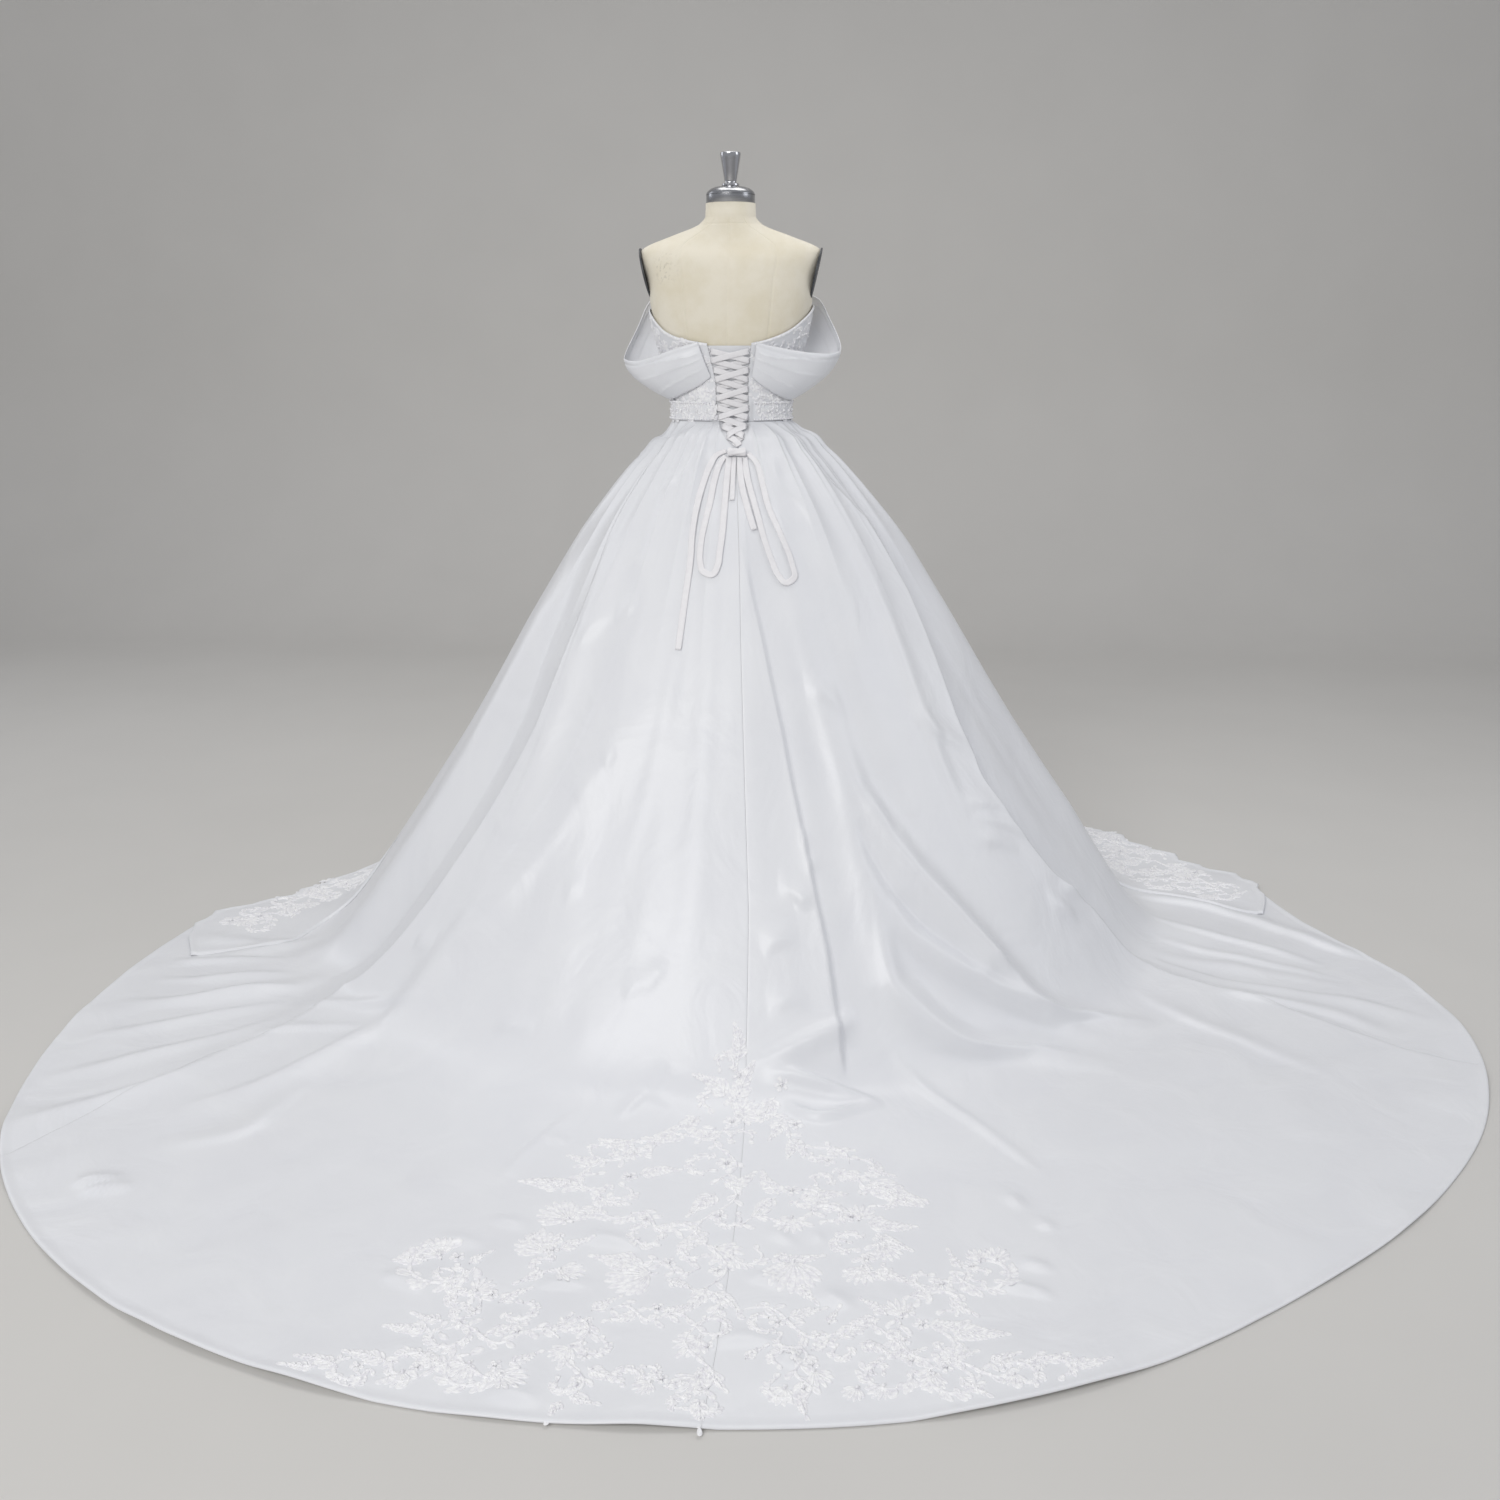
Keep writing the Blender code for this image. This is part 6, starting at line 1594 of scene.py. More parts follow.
class LaceDrawing:
    """A drawing of leaves, cords and beads on flat cloth, later laid on a surface."""

    leaf: tuple[Array, list[tuple[int, ...]]] | None = None
    bead: tuple[Array, list[tuple[int, ...]]] | None = None

    def __init__(self, height: float = 0.0016, seed: int = 5) -> None:
        """Start an empty drawing.

        Args:
            height: How far the lace stands proud.
            seed: Seed of its small differences.
        """
        if LaceDrawing.leaf is None:
            LaceDrawing.leaf, LaceDrawing.bead = template("leaf"), template("bead")
        self.height = height
        self.random = np.random.default_rng(seed)
        self.points: list[Array] = []
        self.faces: list[tuple[int, ...]] = []
        self.finish: list[int] = []
        self.count = 0

    def add(self, points: Array, faces: list[tuple[int, ...]], finish: int) -> None:
        """Add a mesh to the drawing.

        Args:
            points: Flat x and y, and height over the cloth.
            faces: Its faces.
            finish: Material number.
        """
        self.points.append(points)
        self.faces.extend(tuple(k + self.count for k in face) for face in faces)
        self.finish.extend([finish] * len(faces))
        self.count += len(points)

    def add_leaf(self, place: Array, direction: float, length: float, width: float, bend: float = 0.0) -> None:
        """Add one leaf.

        Args:
            place: Flat place of its foot.
            direction: Direction that it points in, in radians.
            length: Its length.
            width: Its width.
            bend: Sideways bend of its tip as a share of its length.
        """
        shape, faces = LaceDrawing.leaf
        x = shape[:, 0] * length
        y = shape[:, 1] * width * 1.25 + bend * length * shape[:, 0] ** 2
        c, s = math.cos(direction), math.sin(direction)
        rise = shape[:, 2] * self.height * (1.0 - 0.25 * shape[:, 0]) - 0.0002
        self.add(np.column_stack([place[0] + x * c - y * s, place[1] + x * s + y * c, rise]), faces, 0)

    def add_cord(self, line: Array, width: float, rise: float = 1.0) -> None:
        """Add a raised cord along a line.

        Args:
            line: Flat places along it.
            width: Its width.
            rise: Its height as a share of the lace's.
        """
        line = np.asarray(line, float)
        along = np.gradient(line, axis=0)
        along /= np.maximum(np.linalg.norm(along, axis=1, keepdims=True), 1e-9)
        side = np.column_stack([-along[:, 1], along[:, 0]])
        share = np.linspace(0, 1, len(line))
        swell = np.minimum(1, np.minimum(share, 1 - share) * 8 + 0.25)
        rows = []
        for across, up in ((-0.5, -0.1), (-0.36, 0.72), (0.0, 1.0), (0.36, 0.72), (0.5, -0.1)):
            place = line + side * (across * width * 1.35 * swell)[:, None]
            rows.append(np.column_stack([place, np.full(len(line), up * rise * self.height)]))
        count = len(line)
        faces = [(r * count + k, r * count + k + 1, (r + 1) * count + k + 1, (r + 1) * count + k)
                 for r in range(4) for k in range(count - 1)]
        self.add(np.concatenate(rows), faces, 0)

    def add_bead(self, place: Array, radius: float) -> None:
        """Add one bead, sewn on the cloth."""
        shape, faces = LaceDrawing.bead
        points = shape * radius
        self.add(np.column_stack([points[:, 0] + place[0], points[:, 1] + place[1],
                                  points[:, 2] + self.height * 0.7 + radius * 0.5]), faces, 1)

    def curve(self, start: Array, end: Array, bow: float, count: int) -> Array:
        """A bowed line from start to end."""
        share = np.linspace(0, 1, count)[:, None]
        side = np.array([start[1] - end[1], end[0] - start[0]])
        return start + (end - start) * share + side * bow * 4 * share * (1 - share)

    def spiral(self, start: Array, end: Array, turn: float, count: int) -> Array:
        """A C-scroll that leaves start, swings out and curls in at end."""
        share = np.linspace(0, 1, count)
        middle = (start + end) / 2
        span = end - start
        reach = np.hypot(*span) / 2
        first = math.atan2(-span[1], -span[0])
        angle = first + turn * share * math.radians(250)
        size = reach * (1.0 - 0.55 * share**1.5)
        return middle + np.column_stack([np.cos(angle) * size, np.sin(angle) * size])

    def motif(self, kind: Motif, start: Sequence[float], end: Sequence[float]) -> None:
        """Draw one motif between two places.

        Args:
            kind: Its kind.
            start: Flat place of its foot.
            end: Flat place of its tip.
        """
        start, end = np.asarray(start, float), np.asarray(end, float)
        span = end - start
        size = float(np.hypot(*span))
        heading = math.atan2(span[1], span[0])
        pick_side = 1.0 if self.random.random() < 0.5 else -1.0
        jitter = self.random.uniform
        if kind is Motif.FERN:
            line = self.curve(start, end, pick_side * jitter(0.02, 0.10), 12)
            self.add_cord(line, 0.0036)
            pairs = int(np.clip(size / 0.0066, 5, 13))
            for k in range(pairs):
                share = (k + 0.6) / (pairs + 0.3)
                at = line[0] * 0 + [np.interp(share * 11, range(12), line[:, j]) for j in (0, 1)]
                length = 0.42 * size * (1 - 0.62 * share) * jitter(0.85, 1.1) * min(1, 0.028 / (0.42 * size) + 0.4)
                for side in (1, -1):
                    self.add_leaf(at, heading + side * (1.05 - 0.45 * share), length, 0.40 * length, -side * 0.22)
            self.add_leaf(line[-1], heading, 0.014, 0.006)
            for share in (0.2, 0.5, 0.8):
                self.add_bead(line[int(share * 11)], 0.0017)
        elif kind is Motif.FLOWER:
            middle = (start + end) / 2
            petals = 6 if size > 0.03 else 5
            for k in range(petals):
                turn = heading + 2 * math.pi * k / petals + jitter(-0.08, 0.08)
                self.add_leaf(middle + 0.12 * size * np.array([math.cos(turn), math.sin(turn)]), turn,
                              0.40 * size, 0.30 * size)
            self.add_bead(middle, max(0.0024, 0.055 * size))
            for k in range(5):
                turn = 2 * math.pi * k / 5
                self.add_bead(middle + 0.11 * size * np.array([math.cos(turn), math.sin(turn)]), 0.0014)
        elif kind is Motif.FAN:
            leaves = 9 if size > 0.045 else 7
            for k in range(leaves):
                share = k / (leaves - 1) * 2 - 1
                turn = heading + share * 1.15
                self.add_leaf(start, turn, size * (1 - 0.28 * share * share), 0.18 * size, -0.12 * share)
            self.add_bead(start, 0.0026)
            self.add_cord(self.curve(start - span * 0.18, start + span * 0.12, 0.0, 5), 0.0050)
        elif kind in (Motif.SCROLL, Motif.CURL):
            large = kind is Motif.SCROLL
            turn = pick_side
            line = self.spiral(start, end, turn, 22 if large else 15)
            self.add_cord(line, 0.0048 if large else 0.0038)
            away = line - line.mean(axis=0)
            count = 12 if large else 8
            for k in range(count):
                at = int((k + 0.5) / count * (len(line) - 5))
                step = line[at + 1] - line[at]
                side = np.array([step[1], -step[0]])
                if np.dot(side, away[at]) < 0:
                    side = -side
                out = math.atan2(side[1], side[0]) + turn * 0.55
                length = (0.24 if large else 0.26) * size * jitter(0.85, 1.15)
                self.add_leaf(line[at], out, max(0.010, length), max(0.0055, 0.46 * length), turn * 0.20)
                if k % 3 == 1:
                    self.add_leaf(line[at], out + math.pi * 0.9, max(0.008, 0.7 * length), max(0.005, 0.4 * length))
            self.add_leaf(line[-1], heading + math.pi * 0.7 * turn, 0.20 * size + 0.004, 0.11 * size + 0.003)
            for at in range(2, len(line) - 2, 4):
                self.add_bead(line[at], 0.0015)
        else:
            share = np.linspace(0, 1, 20)
            side = np.array([-span[1], span[0]])
            line = start + span * share[:, None] + side * (0.10 * np.sin(share * 2 * math.pi * 1.5))[:, None]
            self.add_cord(line, 0.0034)
            leaves = int(np.clip(size / 0.009, 5, 14))
            for k in range(leaves):
                at = int((k + 0.5) / leaves * 19)
                out = 1 if k % 2 else -1
                self.add_leaf(line[at], heading + out * 0.95, 0.020 * jitter(0.8, 1.15), 0.0090, -out * 0.2)
                self.add_bead(line[at], 0.0014)

    def lay(self, name: str, surface: Callable[[Array], Array]) -> bpy.types.Object:
        """Lay the drawing on a surface as one piece.

        Args:
            name: Name of the piece.
            surface: Function from flat places with heights to points.

        Returns:
            The piece, at the origin.
        """
        points = surface(np.concatenate(self.points))
        mesh = bpy.data.meshes.new(name)
        mesh.from_pydata(points.tolist(), [], self.faces)
        mesh.polygons.foreach_set("material_index", np.array(self.finish, np.int32))
        mesh.shade_smooth()
        mesh.update()
        piece = bpy.data.objects.new(name, mesh)
        bpy.context.scene.collection.objects.link(piece)
        return piece


@dataclass
class TrainLace:
    """Lace appliqué on the train and on the front hem."""

    skirt: SkirtSurface
    wardrobe: Wardrobe

    def nearest(self, place: Array) -> str:
        """Name the lace node whose line runs closest to a plan place."""
        best, name = 1e9, ""
        for node, x0, y0, x1, y1 in LACE_LINES:
            start, span = np.array([x0, y0]), np.array([x1 - x0, y1 - y0])
            share = np.clip(np.dot(place - start, span) / np.dot(span, span), 0, 1)
            away = float(np.hypot(*(place - start - span * share)))
            if away < best:
                best, name = away, node
        return name

    def train(self) -> None:
        """Draw the train's lace and lay it on the cloth."""
        drawings = {row[0]: LaceDrawing(seed=7 + k) for k, row in enumerate(LACE_LINES)}
        for kind, x0, y0, x1, y1 in LACE_MOTIFS:
            middle = np.array([x0 + x1, y0 + y1]) / 2
            drawing = drawings[self.nearest(middle)]
            drawing.motif(Motif(kind), self.skirt.unroll(x0, y0), self.skirt.unroll(x1, y1))
        for name, drawing in drawings.items():
            piece = drawing.lay(name + "_applique", lambda places: self.skirt.on_cloth(places, WALL + 0.0002))
            settle(piece, [self.wardrobe.lace, self.wardrobe.bead], [name])

    def inside_openings(self, place: Array) -> bool:
        """Whether a plan place lies on the front, clear of the edges of its openings."""
        reach = float(np.hypot(*place))
        turn = math.degrees(math.atan2(place[1], place[0])) % 360
        return 10.2 - 8.5 * float(ease(0.84, 1.15, reach)) < turn < 187.8 + 9 * float(ease(0.84, 0.98, reach))

    def flap(self, name: str, first: tuple[float, float], last: tuple[float, float], seed: int,
             bands: Sequence[tuple[float, float]]) -> None:
        """Draw lace along the front hem beside one opening.

        Args:
            name: Name of the CAD node that it stands for.
            first: Angle and radius of its start.
            last: Angle and radius of its end.
            seed: Seed of its differences.
            bands: Lean and sideways shift of each row of motifs.
        """
        drawing = LaceDrawing(seed=seed)
        random = np.random.default_rng(seed)
        turns = np.linspace(0, 1, 60)
        angle = np.radians(first[0] + (last[0] - first[0]) * turns)
        radius = first[1] + (last[1] - first[1]) * turns
        line = np.column_stack([radius * np.cos(angle), radius * np.sin(angle)])
        length = float(np.linalg.norm(np.diff(line, axis=0), axis=1).sum())
        steps = max(4, int(length / 0.036))
        kinds = (Motif.SCROLL, Motif.FERN, Motif.FAN, Motif.FLOWER, Motif.CURL, Motif.VINE)
        for k in range(steps):
            at = line[int(59 * (k + 0.5) / steps)]
            ahead = line[min(59, int(59 * (k + 0.5) / steps) + 2)] - at + 1e-9
            ahead /= np.hypot(*ahead)
            side = np.array([-ahead[1], ahead[0]])
            for row, (out, move) in enumerate(bands):
                kind = kinds[(k * 5 + row) % len(kinds)]
                lean = ahead * random.uniform(-0.6, 0.9) + side * out
                lean = lean / np.hypot(*lean) * random.uniform(0.040, 0.056)
                foot = at + side * move
                if self.inside_openings(foot) and self.inside_openings(foot + lean):
                    drawing.motif(kind, foot, foot + lean)
        drawing.add_cord(line[2:-2], 0.004)

        def surface(places: Array) -> Array:
            """Lay flat places on the front, which rises over the side."""
            turn = np.degrees(np.arctan2(places[:, 1], places[:, 0])) % 360
            rise = FLAP_LIFT * np.where(turn < 90, ease(15.0, 10.0, turn), ease(182.0, 187.5, turn))
            return self.skirt.on_cloth(places + rise[:, None] * (0, 0, 1), WALL + 0.0002)

        piece = drawing.lay(name + "_applique", surface)
        settle(piece, [self.wardrobe.lace, self.wardrobe.bead], [name])

    def build(self) -> None:
        """Make all lace of the skirt."""
        self.train()
        self.flap("lace_flap_right", (4.0, 1.128), (36.0, 0.965), 31,
                  ((0.9, 0.0), (-0.9, 0.0), (0.6, 0.045), (0.7, 0.095)))
        self.flap("lace_flap_left", (171.0, 0.860), (190.5, 1.080), 37,
                  ((0.8, 0.0), (-0.5, 0.0), (0.6, 0.040)))


@dataclass
class Bodice:
    """The boned lace bodice, laced at the back, with its belt and modesty panel."""

    torso: TorsoSurface
    skirt: SkirtSurface
    wardrobe: Wardrobe
    belt_middle: float = 1.081
    belt_top: float = 1.100
    belt_wall: float = 0.0035
    lace_scale: float = 0.130

    def shell(self, name: str, start: Callable[[Array], Array], end: Callable[[Array], Array], columns: int,
              seed: int) -> None:
        """Make one bodice panel: a satin shell and its lace.

        Args:
            name: Name of the CAD node that it stands for.
            start: Angle of its first edge at a height.
            end: Angle of its last edge at a height.
            columns: Number of points across.
            seed: Seed of the lace.
        """
        shares = np.linspace(0, 1, columns)
        middle = start(np.full(columns, 1.20)) + (end(np.full(columns, 1.20)) - start(np.full(columns, 1.20))) * shares
        top = smooth_rows(BODICE_TOP, (middle + 180) % 360 - 180)
        low = WAIST_HEIGHT + FLOOR_CLEARANCE + 0.0003
        down = np.linspace(0, 1, 60)[:, None]
        heights = low + (top[None] - low) * down
        angles = start(heights) + (end(heights) - start(heights)) * shares
        rise = CLOTH_OFFSET + WALL + 0 * heights
        rise = rise + 0.0010 * np.exp(-((top[None] - heights - 0.004) / 0.004) ** 2)
        table = self.torso.point(angles, heights, rise)
        inner = self.torso.point(angles[-1:], heights[-1:], CLOTH_OFFSET + 0.0002)
        table = np.concatenate([table, inner])
        piece = cloth_grid(name + "_satin", table, flat_places(table))
        settle(piece, [self.wardrobe.satin], [name])
        self.sprigs(name + "_lace", start, end, seed)

    def sprigs(self, name: str, start: Callable[[Array], Array], end: Callable[[Array], Array], seed: int) -> None:
        """Cover a panel with lace motifs.

        Args:
            name: Name of the lace piece.
            start: Angle of the panel's first edge at a height.
            end: Angle of its last edge at a height.
            seed: Seed of the layout.
        """
        drawing = LaceDrawing(height=0.0012, seed=seed)
        random = np.random.default_rng(seed)
        kinds = list(Motif)
        row = 0
        for height in np.arange(1.112, 1.272, 0.0225 if "back" in name else 0.0290):
            first, last = float(start(np.array(height))), float(end(np.array(height)))
            reach = math.radians(last - first) * self.lace_scale
            count = max(3, int(reach / (0.026 if "back" in name else 0.034)))
            for k in range(count):
                u = math.radians(first) * self.lace_scale + reach * (k + 0.5 + 0.3 * (row % 2)) / (count + 0.3)
                if not math.radians(first) * self.lace_scale + 0.010 < u < math.radians(last) * self.lace_scale - 0.010:
                    continue
                angle = math.degrees(u / self.lace_scale)
                top = float(smooth_rows(BODICE_TOP, (angle + 180) % 360 - 180))
                if height > top - 0.012:
                    continue
                turn = random.uniform(0, 2 * math.pi)
                size = random.uniform(0.022, 0.030)
                step = np.array([math.cos(turn), math.sin(turn)]) * size / 2
                at = np.array([u, height]) + random.uniform(-0.003, 0.003, 2)
                drawing.motif(kinds[int(random.integers(len(kinds)))], at - step, at + step)
            row += 1
        edge = np.linspace(0.006, 0.994, 160)
        middle = float(start(np.array(1.20))) + (float(end(np.array(1.20))) - float(start(np.array(1.20)))) * edge
        top = smooth_rows(BODICE_TOP, (middle + 180) % 360 - 180)
        first, last = start(top), end(top)
        angle = first + (last - first) * edge
        drawing.add_cord(np.column_stack([np.radians(angle) * self.lace_scale, top - 0.0035]), 0.0045)

        def surface(places: Array) -> Array:
            """Lay flat places round the torso."""
            angle = np.degrees(places[:, 0] / self.lace_scale)
            low, high = start(places[:, 1]) + 0.35, end(places[:, 1]) - 0.35
            return self.torso.point(np.clip(angle, low, high), places[:, 1],
                                    CLOTH_OFFSET + WALL + 0.0002 + places[:, 2])

        piece = drawing.lay(name, surface)
        settle(piece, [self.wardrobe.lace, self.wardrobe.bead])

    def modesty(self) -> None:
        """Make the plain panel behind the lacing."""
        heights = np.linspace(1.004, 1.206, 60)
        shares = np.linspace(-1, 1, 24)
        centre = smooth_rows(LACING_GAP, heights, 1)[:, None]
        width = smooth_rows(LACING_GAP, heights, 2)[:, None] + 0.006
        x = centre + shares[None] * width
        z = np.broadcast_to(heights[:, None], x.shape)
        table = self.skirt.back_point(x, z, 0.0020)
        piece = cloth_grid("modesty_panel_satin", table, flat_places(table))
        settle(piece, [self.wardrobe.satin], ["modesty_panel"])

    def belt(self) -> None:
        """Make the waist belt: a satin band under rows of beads and sprigs."""
        start = float(self.torso.gap_edge(self.belt_middle, 1)) + 4.0
        end = float(self.torso.gap_edge(self.belt_middle, -1)) - 4.0 + 360
        angles = np.linspace(start, end, 220)
        inner = CLOTH_OFFSET + WALL + 0.0009
        low, high = WAIST_HEIGHT + 0.0012, self.belt_top
        levels = np.linspace(0, 1, 12)
        rows = [(low + (high - low) * s, inner + 0.0016 + 0.0006 * math.sin(math.pi * s)) for s in levels]
        rows = [(low, inner)] + rows + [(high, inner)]
        table = np.array([self.torso.point(angles, np.full_like(angles, z), out) for z, out in rows])
        band = cloth_grid("waist_belt_satin", table, flat_places(table))
        settle(band, [self.wardrobe.satin], ["waist_belt"])
        drawing = LaceDrawing(height=0.0012, seed=71)
        reach = math.radians(end - start) * self.lace_scale
        first = math.radians(start) * self.lace_scale
        count = int(reach / 0.024)
        for k in range(count):
            u = first + reach * (k + 0.5) / count
            middle = (low + high) / 2
            drawing.motif(Motif.FLOWER, (u - 0.0085, middle), (u + 0.0085, middle))
            drawing.motif(Motif.CURL, (u + 0.004, middle + 0.004), (u + 0.014, high - 0.004))
            drawing.motif(Motif.CURL, (u + 0.014, low + 0.004), (u + 0.004, middle - 0.004))
        for k in range(int(reach / 0.0062)):
            u = first + 0.003 + k * 0.0062
            if u > first + reach - 0.003:
                break
            for height in (low + 0.0026, high - 0.0026):
                drawing.add_bead(np.array([u, height]), 0.0023)

        def surface(places: Array) -> Array:
            """Lay flat places on the band."""
            return self.torso.point(np.degrees(places[:, 0] / self.lace_scale), places[:, 1],
                                    inner + 0.0018 + places[:, 2])

        piece = drawing.lay("waist_belt_beads", surface)
        settle(piece, [self.wardrobe.lace, self.wardrobe.bead])

    def build(self) -> None:
        """Make the whole bodice."""
        def half(z: Array) -> Array:
            """Half of the gap at a side seam, in degrees."""
            return np.degrees(0.00015 / self.torso.axes(z)[1])

        self.shell("bodice_back_left", lambda z: -180 + half(z), lambda z: self.torso.gap_edge(z, -1), 70,
                   41)
        self.shell("bodice_back_right", lambda z: self.torso.gap_edge(z, 1), lambda z: -half(z), 70,
                   42)
        self.shell("bodice_front", lambda z: half(z), lambda z: 180 - half(z), 120, 43)
        self.modesty()
        self.belt()


@dataclass
class Lacing:
    """The ribbon laced down the back through small loops."""

    skirt: SkirtSurface
    wardrobe: Wardrobe
    width: float = 0.011
    wall: float = 0.0006
    layers: tuple[float, float, float, float] = (0.0036, 0.0052, 0.0066, 0.0080)
    crossings: int = 9
    top: float = 1.196
    bottom: float = 1.017

    def ribbon(self, name: str, side: int, low_layer: float, high_layer: float) -> None:
        """Make one ribbon wound down the opening.

        Args:
            name: Name of the CAD node that it stands for.
            side: Direction of its first leg.
            low_layer: Distance out of the linen where it runs below.
            high_layer: Distance where it runs above.
        """
        legs = self.crossings + 1
        pitch = (self.top - self.bottom) / legs
        rows = []
        for leg in range(legs):
            direction = side if leg % 2 == 0 else -side
            layer = high_layer if leg % 2 == 0 else low_layer
            for share in np.linspace(-0.94, 0.94, 13):
                height = self.top - pitch * (leg + (share + 1) / 2)
                rows.append((direction * share, height, layer, direction, 0.0))
            if leg < legs - 1:
                height = self.top - pitch * (leg + 1)
                rows.append((direction, height, (low_layer + high_layer) / 2, 0, direction * 0.0018))
        table = []
        across = np.linspace(1, -1, 7)
        for share, height, layer, lean, extra in rows:
            middle = float(smooth_rows(LACING_GAP, height, 1))
            reach = float(smooth_rows(LACING_GAP, height, 2)) - 0.0030
            slope = math.atan2(pitch, 2 * reach)
            raised = layer + self.wall / 2 + 0.0022 * float(ease(1.070, 1.046, height))
            x = middle + share * reach + extra + across * lean * math.sin(slope) * self.width / 2
            z = height + across * math.cos(slope) * self.width / 2
            cup = 0.0003 * (1 - across**2)
            table.append(self.skirt.lacing_point(x, z, raised + cup))
        table = np.array(table)
        piece = cloth_grid(name + "_fine", table, flat_places(table))
        finish_with(piece, "SOLIDIFY", thickness=self.wall, offset=0.0)
        settle(piece, [self.wardrobe.ribbon], [name])

    def loops(self) -> None:
        """Make the small loops along both edges, one modelled and the rest copied."""
        deselect()
        bpy.ops.mesh.primitive_torus_add(major_radius=0.0042, minor_radius=0.0009, major_segments=20,
                                         minor_segments=8)
        first = take("lacing loop")
        bpy.ops.object.mode_set(mode="EDIT")
        bpy.ops.mesh.select_all(action="SELECT")
        bpy.ops.mesh.bisect(plane_co=(-0.0006, 0, 0), plane_no=(1, 0, 0), clear_inner=True, use_fill=True)
        bpy.ops.object.mode_set(mode="OBJECT")
        shape = np.array([tuple(v.co) for v in first.data.vertices])
        faces = [tuple(f.vertices) for f in first.data.polygons]
        bpy.data.objects.remove(first, do_unlink=True)
        pitch = (self.top - self.bottom) / (self.crossings + 1)
        points, joined, count = [], [], 0
        for leg in range(self.crossings + 2):
            height = self.top + 0.002 - pitch * leg
            if height < 1.066:
                continue
            for side in (1, -1):
                middle = float(smooth_rows(LACING_GAP, height, 1))
                reach = float(smooth_rows(LACING_GAP, height, 2))
                x = middle + side * (reach - shape[:, 0] * 0.9)
                place = self.skirt.back_point(x, height + shape[:, 1] * 1.0, CLOTH_OFFSET + 0.0014 + shape[:, 2])
                points.append(place)
                order = faces if side < 0 else [tuple(reversed(face)) for face in faces]
                joined.extend(tuple(k + count for k in face) for face in order)
                count += len(shape)
        mesh = bpy.data.meshes.new("lacing_loops")
        mesh.from_pydata(np.concatenate(points).tolist(), [], joined)
        mesh.shade_smooth()
        piece = bpy.data.objects.new("lacing_loops", mesh)
        bpy.context.scene.collection.objects.link(piece)
        settle(piece, [self.wardrobe.ribbon])

    def build(self) -> None:
        """Make both ribbons and the loops."""
        self.ribbon("lacing_ribbon_first", 1, self.layers[0], self.layers[2])
        self.ribbon("lacing_ribbon_second", -1, self.layers[1], self.layers[3])
        self.loops()


@dataclass
class Drape:
    """The off-shoulder bands, pleated towards the lacing."""

    torso: TorsoSurface
    wardrobe: Wardrobe
    left_drop: float = 0.014
    wall: float = 0.0016

    def band(self, name: str, side: int) -> None:
        """Make one band from the lacing round the arm to the centre front.

        Args:
            name: Name of the CAD node that it stands for.
            side: 1 on the right, -1 on the left.
        """
        stations = np.concatenate([np.linspace(-68, -34, 50), np.linspace(-33, 40, 78)[1:],
                                   np.linspace(41, 89.95, 30)])
        shares = np.linspace(0, 1, 38)
        a, u = stations[None, :], shares[:, None]
        values = [smooth_rows(DRAPE, stations, k)[None] for k in range(1, 7)]
        control = [2 * values[2] - (values[0] + values[4]) / 2, 2 * values[3] - (values[1] + values[5]) / 2]
        weights = ((1 - u) ** 2, 2 * u * (1 - u), u * u)
        height = weights[0] * values[0] + weights[1] * control[0] + weights[2] * values[4]
        offset = weights[0] * values[1] + weights[1] * control[1] + weights[2] * values[5]
        drop = self.left_drop * ease(-60, -20, a) * ease(40, 10, a) if side < 0 else 0.0
        skew = 8.0 if side < 0 else 1.0
        turn = np.minimum(a, 90 - math.degrees(0.00015 / 0.12)) - skew * u * ease(-35, -68, a)
        noise = ClothNoise(61 + side)
        fold = -0.0026 * np.exp(-((u - 0.115 - 0.02 * noise.at(a / 40 + 9, 0.5)) / 0.018) ** 2)
        relief = 0.0009 * noise.at(a / 16 + 20, u * 3.0)
        fans = ((0.27, -0.20, 0.0052), (0.45, -0.02, 0.0060), (0.68, 0.16, 0.0040))
        for k, (place, spread, depth) in enumerate(fans):
            reach = ease(-64, -20 + 6 * k, a)
            crest = place + spread * reach + 0.015 * noise.at(a / 18 + 7 * k, 3.5)
            width = 0.020 + 0.045 * reach
            fade = ease(-68, -62, a) * (1 - 0.85 * ease(-52 + 5 * k, -8, a))
            relief = relief + depth * fade * np.exp(-np.maximum(u - crest, 0) / width) * ease(-0.006, 0.010, u - crest)
        edge = ease(0, 0.06, u) * ease(1.0, 0.94, u)
        tip = 0.0042 * np.exp(-np.abs(a + 9 - 4 * u) / 7.0) * ease(1.15, 0.1, u)
        roll = -0.0012 * ease(0.03, 0.0, u) - 0.0012 * ease(0.97, 1.0, u)
        rise = offset + WALL + (relief + fold) * edge + roll + tip - 0.0010
        points = self.torso.point(turn, height - drop * (1 - u), rise) * (side, 1, 1)
        piece = cloth_grid(name + "_satin", points, flat_places(points), flip=side > 0)
        finish_with(piece, "SOLIDIFY", thickness=self.wall, offset=-1.0)
        settle(piece, [self.wardrobe.satin], [name])

    def build(self) -> None:
        """Make both bands."""
        self.band("drape_right", 1)
        self.band("drape_left", -1)


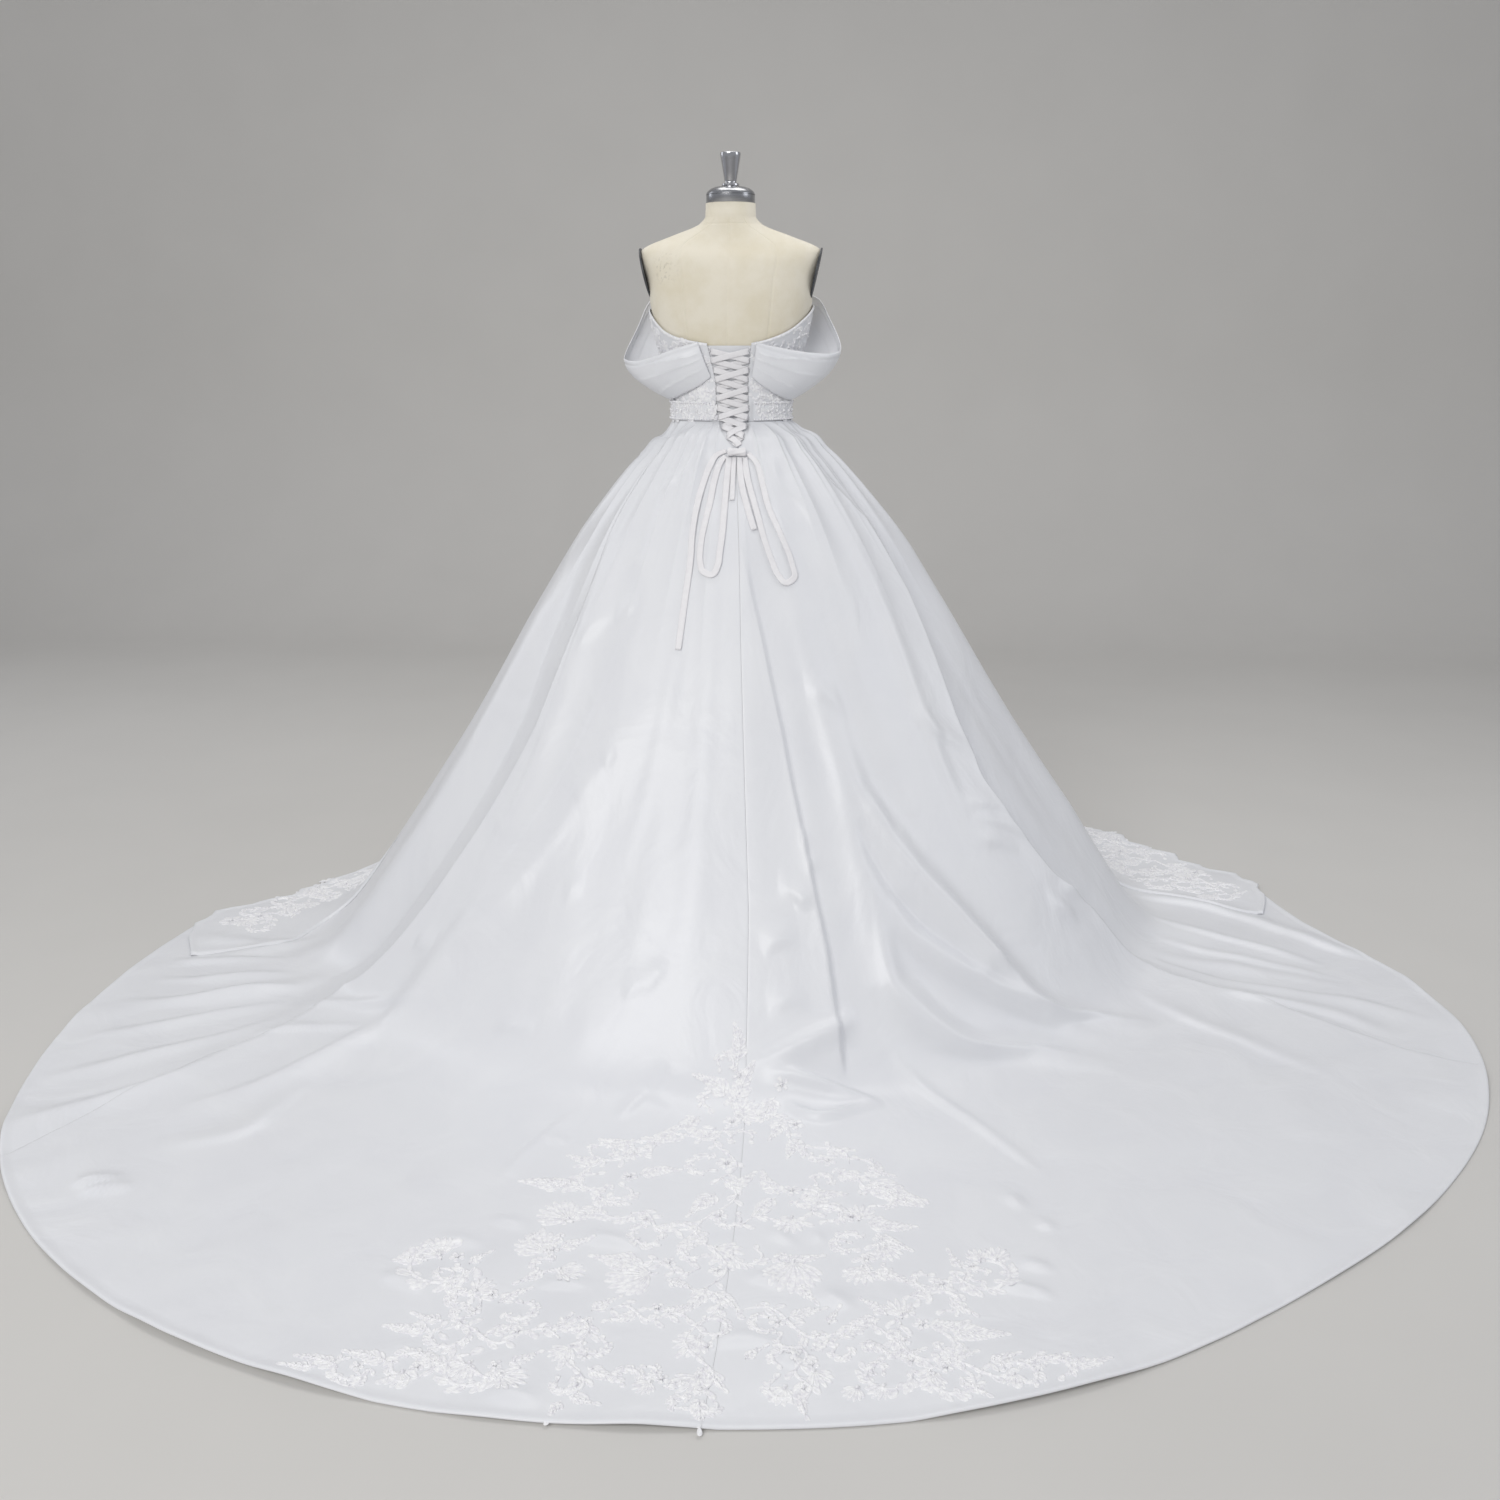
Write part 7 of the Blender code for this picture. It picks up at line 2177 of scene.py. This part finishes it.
@dataclass
class Studio:
    """Plain floor and backdrop, soft lights and the camera."""

    camera_place: tuple[float, float, float] = (0.2290, -2.9097, 1.22)
    camera_pitch: float = 73.602
    camera_turn: float = 3.76
    lens: float = 33.6

    def camera(self) -> None:
        """Set the camera at the photograph's viewing angle."""
        data = bpy.data.cameras.new("camera")
        data.lens = self.lens
        data.sensor_width = 36.0
        data.clip_end = 60
        camera = bpy.data.objects.new("camera", data)
        camera.location = self.camera_place
        camera.rotation_euler = (math.radians(self.camera_pitch), 0, math.radians(self.camera_turn))
        bpy.context.scene.collection.objects.link(camera)
        bpy.context.scene.camera = camera

    def ground(self) -> None:
        """Lay a pale floor that sweeps up into the backdrop."""
        profile = [(-7.0, 0.0), (2.6, 0.0)]
        profile += [(2.6 + 1.2 * math.sin(t), 1.2 - 1.2 * math.cos(t)) for t in np.linspace(0.1, math.pi / 2, 14)]
        profile += [(3.8, 6.0)]
        table = np.array([[(x, y, z) for x in np.linspace(-8, 8, 9)] for y, z in profile])
        sweep = cloth_grid("studio_sweep", table, flat_places(table))
        made = bpy.data.materials.new("pale matt paper")
        made.use_nodes = True
        shader = made.node_tree.nodes["Principled BSDF"]
        shader.inputs["Roughness"].default_value = 0.8
        place = add_node(made.node_tree, "ShaderNodeTexCoord")
        soft = add_node(made.node_tree, "ShaderNodeTexNoise", {"Vector": (place, "Object"), "Scale": 3.0})
        tint = add_node(made.node_tree, "ShaderNodeValToRGB", {"Fac": (soft, "Fac")})
        tint.color_ramp.elements[0].color = srgb("#D2D0CC")
        tint.color_ramp.elements[1].color = srgb("#D7D5D1")
        made.node_tree.links.new(tint.outputs["Color"], shader.inputs["Base Color"])
        sweep.data.materials.clear()
        sweep.data.materials.append(made)

    def light(self, name: str, place: tuple[float, float, float], target: tuple[float, float, float],
              size: tuple[float, float], power: float, colour: str) -> None:
        """Hang one soft light.

        Args:
            name: Its name.
            place: Where it hangs.
            target: Where it points.
            size: Its width and height.
            power: Its power in watts.
            colour: Its colour.
        """
        data = bpy.data.lights.new(name, "AREA")
        data.shape = "RECTANGLE"
        data.size, data.size_y = size
        data.energy = power
        data.color = srgb(colour)[:3]
        lamp = bpy.data.objects.new(name, data)
        lamp.location = place
        away = np.array(target) - np.array(place)
        flat = math.hypot(away[0], away[1])
        lamp.rotation_euler = (math.atan2(flat, -away[2]), 0, math.atan2(-away[0], away[1]))
        bpy.context.scene.collection.objects.link(lamp)

    def lights(self) -> None:
        """Light the dress from above and from both sides."""
        bpy.context.scene.view_settings.view_transform = "Standard"
        world = bpy.data.worlds.new("soft room")
        bpy.context.scene.world = world
        world.use_nodes = True
        back = world.node_tree.nodes["Background"]
        back.inputs["Color"].default_value = srgb("#F2F4FA")
        back.inputs["Strength"].default_value = 0.39
        self.light("key", (-1.5, -4.7, 3.5), (0.0, -0.35, 0.85), (3.2, 2.4), 125, "#FFFEFC")
        self.light("ceiling", (0.2, 0.5, 3.6), (0.1, -0.2, 0.4), (2.4, 1.6), 29, "#FFFDFA")
        self.light("side_left", (-3.2, 0.9, 2.3), (0.0, -0.2, 0.7), (1.0, 2.0), 9, "#F6F9FF")
        self.light("side_right", (3.2, -0.6, 2.3), (0.1, -0.3, 0.7), (1.4, 2.0), 15, "#F6F9FF")

    def build(self) -> None:
        """Build the whole studio apart from the camera."""
        self.ground()
        self.lights()


def main() -> None:
    """Build the dress on its form, from the frame to the studio."""
    logging.basicConfig(level=logging.INFO, format="%(message)s")
    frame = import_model()
    studio = Studio()
    studio.camera()
    wardrobe = open_wardrobe()
    torso = TorsoSurface()
    skirt = SkirtSurface(torso)
    Bow(skirt, wardrobe).build()
    Skirt(skirt, wardrobe).build()
    Bodice(torso, skirt, wardrobe).build()
    Lacing(skirt, wardrobe).build()
    Drape(torso, wardrobe).build()
    DressForm(torso, wardrobe).build(frame["nodes"])
    TrainLace(skirt, wardrobe).build()
    studio.build()
    deselect()


if __name__ == "__main__":
    main()
